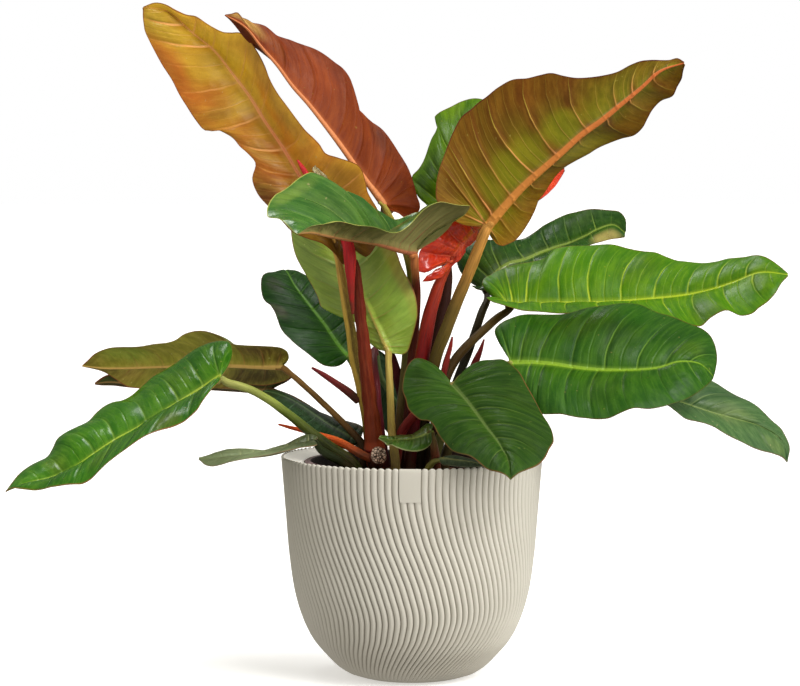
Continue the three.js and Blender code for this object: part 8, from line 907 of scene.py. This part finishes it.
nr = lambda z: 58 + 40 * (z - 4.35) / 205.15
def nursery():
    arc = lambda cx, cz, r, a0, a1, k: [(cx + r * math.cos(math.radians(t)), cz + r * math.sin(math.radians(t))) for t in np.linspace(a0, a1, k)]
    prof = [(0, 4.35), (30, 4.35), (56.5, 4.35)] + arc(56.7, 5.85, 1.5, -75, -10, 4) + [(nr(40), 40), (nr(90), 90), (nr(150), 150), (nr(195), 195), (nr(201), 201), (99.2, 202.4), (100.4, 201.2), (100.4, 197.0)]
    prof += arc(101.2, 197.0, 0.7, 200, 340, 4) + [(102.3, 203.0)] + arc(101.2, 206.0, 1.4, 0, 90, 6) + [(99.3, 207.4)] + arc(97.3, 206.1, 1.3, 90, 180, 6) + [(95.9, 203), (nr(190) - 2, 190), (nr(120) - 2, 120), (nr(40) - 2, 40), (nr(7) - 2, 6.95), (30, 6.95), (0, 6.95)]
    def mat(name, c1, c2, dust):
        n = NT(name); ob = n.obj(); z = n.sep(ob)[2]
        col = n.mix(n.step(n.noise(ob, 14.0, 4.0), 0.3, 0.7), srgb(c1), srgb(c2))
        scr = n.noise(n.vm("MULTIPLY", ob, (300.0, 300.0, 1500.0)), 1.0, 3.0, 0.65)
        col = n.mix(n.step(scr, 0.6, 0.78, 0.0, 0.3), col, srgb(dust))
        col = n.mix(n.step(n.noise(ob, 70.0, 4.0, 0.7), 0.52, 0.7, 0.0, 0.5), col, srgb(dust))
        n.set(color=col, rough=n.step(scr, 0.3, 0.7, 0.38, 0.6), normal=n.bump(n.m("ADD", scr, n.noise(ob, 200.0, 3.0)), 0.0004, 0.6), spec=0.45); return n.mat
    # the inside skin is painted far darker than the outside: painted shade inside the pot
    outer, inner = mat("nursery_outer", (186, 156, 158), (150, 124, 126), (204, 182, 180)), mat("nursery_inner_painted_shade", (56, 30, 30), (38, 22, 22), (78, 54, 48))
    idx = [0 if z < 197.5 or r > 98.6 else 1 for r, z in prof]
    seen = False
    for i, (r, z) in enumerate(prof):
        if i > 20 and r < 99: seen = True
        idx[i] = 1 if seen else 0
    w = Waves(5, 2, 5, 0.3, 0.8)
    wob = lambda r, z, th: 0.35 * (z / 209) * w(np.stack([np.cos(th) * 1.4, np.sin(th) * 1.4], -1)) * (r > 60)
    ob = lathe("nursery_pot_look", "nursery_pot", prof, 120, [outer, inner], idx, wob)
    bm = bmesh.new()
    for k in range(4):
        a = math.radians(45 + 90 * k)
        bmesh.ops.create_cone(bm, cap_ends=True, segments=28, radius1=0.006, radius2=0.006, depth=0.012, matrix=Matrix.Translation((0.034 * math.cos(a), 0.034 * math.sin(a), 0.0055)))
    me = bpy.data.meshes.new("drill"); bm.to_mesh(me); bm.free(); cut = bpy.data.objects.new("drill", me); scene.collection.objects.link(cut)
    md = ob.modifiers.new("holes", "BOOLEAN"); md.object = cut; md.operation = "DIFFERENCE"; md.solver = "EXACT"
    dg = bpy.context.evaluated_depsgraph_get(); new = bpy.data.meshes.new_from_object(ob.evaluated_get(dg)); ob.modifiers.clear()
    old = ob.data; ob.data = new; bpy.data.meshes.remove(old); bpy.data.objects.remove(cut); bpy.data.meshes.remove(me)
    bm = bmesh.new(); bm.from_mesh(ob.data)
    for e in bm.edges:
        if len(e.link_faces) == 2 and e.calc_face_angle(0) > math.radians(42): e.smooth = False
    bm.to_mesh(ob.data); bm.free()
nursery()

# ------------------------------------------------------------------ soil and crown
def soil():
    segs = 200; th = np.linspace(0, 2 * np.pi, segs, endpoint=False)
    w1, w2, w3 = Waves(21, 2, 9, 0.02, 0.06), Waves(22, 2, 12, 0.08, 0.2), Waves(23, 2, 14, 0.25, 0.5)
    rows = []
    for r, z in [(2, 7.35), (30, 7.35), (nr(7.35) - 3.4, 7.35)] + [(nr(z) - 3.15, z) for z in (30, 60, 100, 140, 170, 183)]:
        rows.append(np.stack([r * np.cos(th), r * np.sin(th), z + 0 * th], -1))
    edge = nr(187) - 3.15
    for r in edge * np.linspace(1, 0.01, 96) ** 0.9:
        p = np.stack([r * np.cos(th), r * np.sin(th)], -1)
        z = 189.3 + 2.0 * (1 - (r / edge) ** 2) - 3.0 * smooth(edge - 6, edge, r)
        z = z + 0.8 * w1(p) + 0.75 * w2(p) + 0.5 * np.abs(w3(p))
        rows.append(np.concatenate([p, z[:, None]], 1))
    m = len(rows); ids = np.arange(m * segs).reshape(m, segs); a, b = ids[:-1], ids[1:]
    F = np.stack([a, np.roll(a, -1, 1), np.roll(b, -1, 1), b], -1).reshape(-1, 4).tolist()
    V = np.concatenate(rows + [np.array([[0, 0, 7.35], [0, 0, rows[-1][:, 2].mean()]])]); p, q = len(V) - 2, len(V) - 1
    for j in range(segs):
        k = (j + 1) % segs; F.append([p, ids[0, k], ids[0, j]]); F.append([q, ids[-1, j], ids[-1, k]])
    n = NT("soil_earth"); ob_ = n.obj(); g = n.noise(ob_, 220.0, 5.0, 0.7)
    col = n.ramp(g, [(0.3, (18, 14, 11)), (0.5, (44, 33, 25)), (0.66, (74, 56, 42)), (0.8, (104, 82, 62))])
    vd = n.voronoi(ob_, 330.0)
    col = n.mix(n.step(vd, 0.5, 0.9, 0.0, 0.7), col, srgb((16, 12, 10)))
    n.set(color=col, rough=0.92, normal=n.bump(n.m("SUBTRACT", g, n.m("MULTIPLY", vd, 0.8)), 0.003, 0.9), spec=0.25)
    ob = make("soil_look", V, F, [n.mat]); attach(ob, "root"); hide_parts("soil")
    # crumbs of bark, peat and a little grit
    r = np.random.RandomState(3); bm = bmesh.new(); ico = bmesh.new(); bmesh.ops.create_icosphere(ico, subdivisions=2, radius=1.0)
    iv = np.array([v.co[:] for v in ico.verts]); fi = [[v.index for v in f.verts] for f in ico.faces]; ico.free()
    Vs, Fs, mi = [], [], []
    for i in range(330):
        R = edge * math.sqrt(r.uniform(0, 1)) * 0.97; a = r.uniform(0, 2 * np.pi); kind = 2 if r.uniform() < 0.10 else (1 if r.uniform() < 0.45 else 0)
        size = r.uniform(0.9, 2.1) if kind == 2 else r.uniform(1.2, 4.2)
        sc = np.array([1, r.uniform(0.5, 0.9), r.uniform(0.3, 0.55)]) * size * (1.25 if kind == 1 else 1)
        lump = Waves(500 + i, 3, 5, 0.15, 0.4)(iv)[:, None] * 0.28 + 1
        e = Matrix.Rotation(r.uniform(0, 6.28), 3, "Z") @ Matrix.Rotation(r.uniform(-0.5, 0.5), 3, "X")
        P = (iv * lump * sc) @ np.array(e).T; z = 190.3 + 2.0 * (1 - (R / edge) ** 2) - 2.5 * float(smooth(edge - 6, edge, R))
        P += [R * math.cos(a), R * math.sin(a), z + size * 0.12]
        o = len(Vs) * len(iv); Vs.append(P); Fs += [[o + t for t in f] for f in fi]; mi += [kind] * len(fi)
    def cm(name, c1, c2, k):
        n = NT(name); ob_ = n.obj(); g = n.noise(ob_, k, 4.0, 0.65); col = n.mix(n.step(g, 0.35, 0.65), srgb(c1), srgb(c2))
        n.set(color=col, rough=0.88, normal=n.bump(g, 0.0012, 0.9), spec=0.25); return n.mat
    ob = make("soil_crumbs_look", np.concatenate(Vs), Fs, [cm("crumb_peat", (40, 28, 20), (70, 50, 36), 400.0), cm("crumb_bark", (96, 62, 40), (58, 36, 24), 260.0), cm("crumb_grit", (196, 190, 176), (150, 142, 128), 500.0)], idx=mi)
    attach(ob, "root"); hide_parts("soil")
soil()

def crown():
    segs, n_r = 140, 60; th = np.linspace(0, 2 * np.pi, segs, endpoint=False); w = Waves(31, 2, 12, 0.05, 0.14); w2 = Waves(32, 2, 12, 0.2, 0.45)
    rows = [np.stack([-12 + 42 * .9 * np.cos(th), -4 + 40 * .9 * np.sin(th), 188.5 + 0 * th], -1)]
    for t in np.linspace(0, 1, n_r):
        q = math.cos(t * math.pi / 2) ** 0.8; z = 189.2 + 10.4 * math.sin(t * math.pi / 2) ** 1.2
        x, y = -12 + 42 * q * np.cos(th), -4 + 40 * q * np.sin(th); p = np.stack([x, y], -1)
        lump = (1.1 * w(p) + 0.5 * np.abs(w2(p))) * (1 - t) ** 0.2 * (1 if t < 1 else 0)
        rows.append(np.stack([x, y, z + lump * smooth(0, .12, t)], -1))
    rows.append(np.array([[-12, -4, 200.2]])); m = len(rows) - 1
    ids = np.arange(m * segs).reshape(m, segs); a, b = ids[:-1], ids[1:]
    V = np.concatenate(rows + [np.array([[-12, -4, 188.5]])]); top, low = len(V) - 2, len(V) - 1
    F = np.stack([a, np.roll(a, -1, 1), np.roll(b, -1, 1), b], -1).reshape(-1, 4).tolist()
    for j in range(segs):
        k = (j + 1) % segs; F.append([low, ids[0, k], ids[0, j]]); F.append([top, ids[-1, j], ids[-1, k]])
    n = NT("crown_fibre"); ob_ = n.obj(); s = n.sep(ob_)
    g = n.noise(n.vm("MULTIPLY", ob_, (420.0, 420.0, 90.0)), 1.0, 4.0, 0.65); rg = n.noise(ob_, 60.0, 3.0)
    col = n.ramp(g, [(0.3, (34, 22, 16)), (0.5, (86, 60, 40)), (0.68, (132, 96, 62)), (0.82, (164, 126, 86))])
    col = n.mix(n.step(rg, 0.5, 0.7, 0.0, 0.6), col, srgb((70, 66, 34)))
    n.set(color=col, rough=0.8, normal=n.bump(g, 0.003, 0.9), spec=0.3)
    ob = make("stem_crown_look", V, F, [n.mat]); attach(ob, "root"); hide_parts("stem_crown")
crown()

# ------------------------------------------------------------------ build the blades
for nm, (nr_, nc_, kw) in BUILD.items(): blade(nm, nr_, nc_, seed=int(nm[5:7]) * 3, **kw)

# a scrap of dry bud scale that hangs on the first blade
def scrap():
    nu, nv = 40, 18; a, b = np.array([-93.5, -14.0, 487.0]), np.array([-77.5, -18.0, 471.0]); f = unit(b - a); out = unit(np.array([0.25, -1.0, 0.35])); out = unit(out - f * (out @ f)); side = np.cross(f, out)
    u, v = np.meshgrid(np.linspace(0, 1, nu), np.linspace(-1, 1, nv), indexing="ij"); w = Waves(91, 2, 9, 0.5, 1.6); w2 = Waves(92, 2, 9, 2.0, 4.5)
    wide = 4.6 * np.sin(np.pi * np.clip(u * 0.94 + 0.03, 0, 1)) ** 0.5 * (1 + 0.25 * w(np.stack([u * 3, v * 0], -1)))
    q = np.stack([u, v], -1); h = 1.6 + 1.3 * w(q * 1.3) + 0.5 * w2(q)
    C = a + f * (u * np.linalg.norm(b - a))[..., None] + side * (v * wide + 0.8 * w(q + 5))[..., None] + out * h[..., None]
    V = np.concatenate([(C + out * 0.25).reshape(-1, 3), (C - out * 0.25).reshape(-1, 3)]); ids = np.arange(nu * nv).reshape(nu, nv); o = nu * nv; F = []
    for i in range(nu - 1):
        for j in range(nv - 1):
            F.append([ids[i, j], ids[i + 1, j], ids[i + 1, j + 1], ids[i, j + 1]]); F.append([o + ids[i, j], o + ids[i, j + 1], o + ids[i + 1, j + 1], o + ids[i + 1, j]])
    ring = list(ids[:, 0]) + list(ids[-1, 1:]) + list(ids[-2::-1, -1]) + list(ids[0, -2:0:-1])
    for p, q2 in zip(ring, ring[1:] + ring[:1]): F.append([p, p + o, q2 + o, q2])
    n = NT("dry_scale"); ob = n.obj(); g = n.noise(ob, 420.0, 4.0, 0.65)
    n.set(color=n.mix(n.step(g, 0.35, 0.62), srgb((206, 196, 154)), srgb((150, 132, 88))), rough=0.7, normal=n.bump(g, 0.0008, 0.8), spec=0.25)
    ob = make("leaf_01_scrap_look", V, F, [n.mat]); bm = bmesh.new(); bm.from_mesh(ob.data); bmesh.ops.recalc_face_normals(bm, faces=bm.faces); bm.to_mesh(ob.data); bm.free()
    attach(ob, "root"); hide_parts("leaf_01_blade")
scrap()

# ------------------------------------------------------------------ floor, light, camera
def stage():
    s = 40.0; me = bpy.data.meshes.new("floor"); me.from_pydata([(-s, -s, 0), (s, -s, 0), (s, s, 0), (-s, s, 0)], [], [(0, 1, 2, 3)])
    ob = bpy.data.objects.new("floor", me); scene.collection.objects.link(ob); ob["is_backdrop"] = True
    ob.visible_diffuse = False; ob.visible_glossy = False
    n = NT("floor_paper"); o = n.obj(); n.set(color=n.mix(n.noise(o, 3.0, 2.0), (0.93, 0.93, 0.93, 1), (0.95, 0.95, 0.95, 1)), rough=0.9, spec=0.1)
    n.bsdf.inputs["Emission Color"].default_value = (1, 1, 1, 1); n.bsdf.inputs["Emission Strength"].default_value = 0.36
    me.materials.append(n.mat)
    w = bpy.data.worlds.new("studio"); scene.world = w; w.use_nodes = True; t = w.node_tree; t.nodes.clear()
    out = t.nodes.new("ShaderNodeOutputWorld"); mix = t.nodes.new("ShaderNodeMixShader"); lp = t.nodes.new("ShaderNodeLightPath")
    amb = t.nodes.new("ShaderNodeBackground"); bg = t.nodes.new("ShaderNodeBackground")
    amb.inputs[0].default_value = (1.0, 0.965, 0.89, 1)
    tc = t.nodes.new("ShaderNodeTexCoord"); sp = t.nodes.new("ShaderNodeSeparateXYZ"); mr = t.nodes.new("ShaderNodeMapRange"); mr.interpolation_type = "SMOOTHSTEP"
    t.links.new(tc.outputs["Generated"], sp.inputs[0]); t.links.new(sp.outputs["Z"], mr.inputs["Value"])
    for k, v in (("From Min", -0.5), ("From Max", 0.7), ("To Min", 0.58), ("To Max", 0.72)): mr.inputs[k].default_value = v
    gl = t.nodes.new("ShaderNodeMath"); gl.operation = "MULTIPLY_ADD"; gl.inputs[1].default_value = -0.7; gl.inputs[2].default_value = 1.0
    t.links.new(lp.outputs["Is Glossy Ray"], gl.inputs[0])
    mu = t.nodes.new("ShaderNodeMath"); mu.operation = "MULTIPLY"; t.links.new(mr.outputs["Result"], mu.inputs[0]); t.links.new(gl.outputs[0], mu.inputs[1]); t.links.new(mu.outputs[0], amb.inputs[1])
    bg.inputs[0].default_value = (1, 1, 1, 1); bg.inputs[1].default_value = 1.0
    t.links.new(lp.outputs["Is Camera Ray"], mix.inputs[0]); t.links.new(amb.outputs[0], mix.inputs[1]); t.links.new(bg.outputs[0], mix.inputs[2]); t.links.new(mix.outputs[0], out.inputs[0])
    def area(name, loc, target, size, watts, col=(1, 1, 1)):
        l = bpy.data.lights.new(name, "AREA"); l.shape = "RECTANGLE"; l.size, l.size_y = size; l.energy = watts; l.color = col
        o = bpy.data.objects.new(name, l); scene.collection.objects.link(o); o.location = loc
        o.rotation_euler = (Vector(target) - Vector(loc)).to_track_quat("-Z", "Y").to_euler(); return o
    def sun(name, way, strength, angle, col=(1, 1, 1)):
        l = bpy.data.lights.new(name, "SUN"); l.energy = strength; l.angle = math.radians(angle); l.color = col
        o = bpy.data.objects.new(name, l); scene.collection.objects.link(o); o.rotation_euler = (-Vector(way)).to_track_quat("-Z", "Y").to_euler(); return o
    key = sun("key", (1.0, -0.62, 0.66), 3.25, 62, (1.0, 0.99, 0.965)); key.visible_glossy = False
    area("top", (-0.35, 0.35, 1.7), (0, 0, 0.4), (0.8, 0.42), 9)
    area("front", (1.0, -1.6, 1.9), (0, 0, 0.35), (0.6, 0.6), 9)
    c = bpy.data.cameras.new("camera"); c.sensor_fit = "HORIZONTAL"; c.sensor_width = 36.0; c.lens = 2710.0 / 800.0 * 36.0
    o = bpy.data.objects.new("camera", c); scene.collection.objects.link(o)
    o.location = (-0.0113, -2.586, 0.4805); o.rotation_euler = (math.radians(90 - 3.56), 0, 0); scene.camera = o
    c.clip_end = 50; scene.view_settings.view_transform = "Standard"; scene.view_settings.look = "None"
stage()

bpy.context.view_layer.update()
lo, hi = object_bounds()
tris = {o.name: sum(len(p.vertices) - 2 for p in o.data.polygons) for o in scene.objects if o.type == "MESH" and o.name.endswith("_look")}
print("triangles", sum(tris.values()), "most", max(tris, key=tris.get), max(tris.values()))
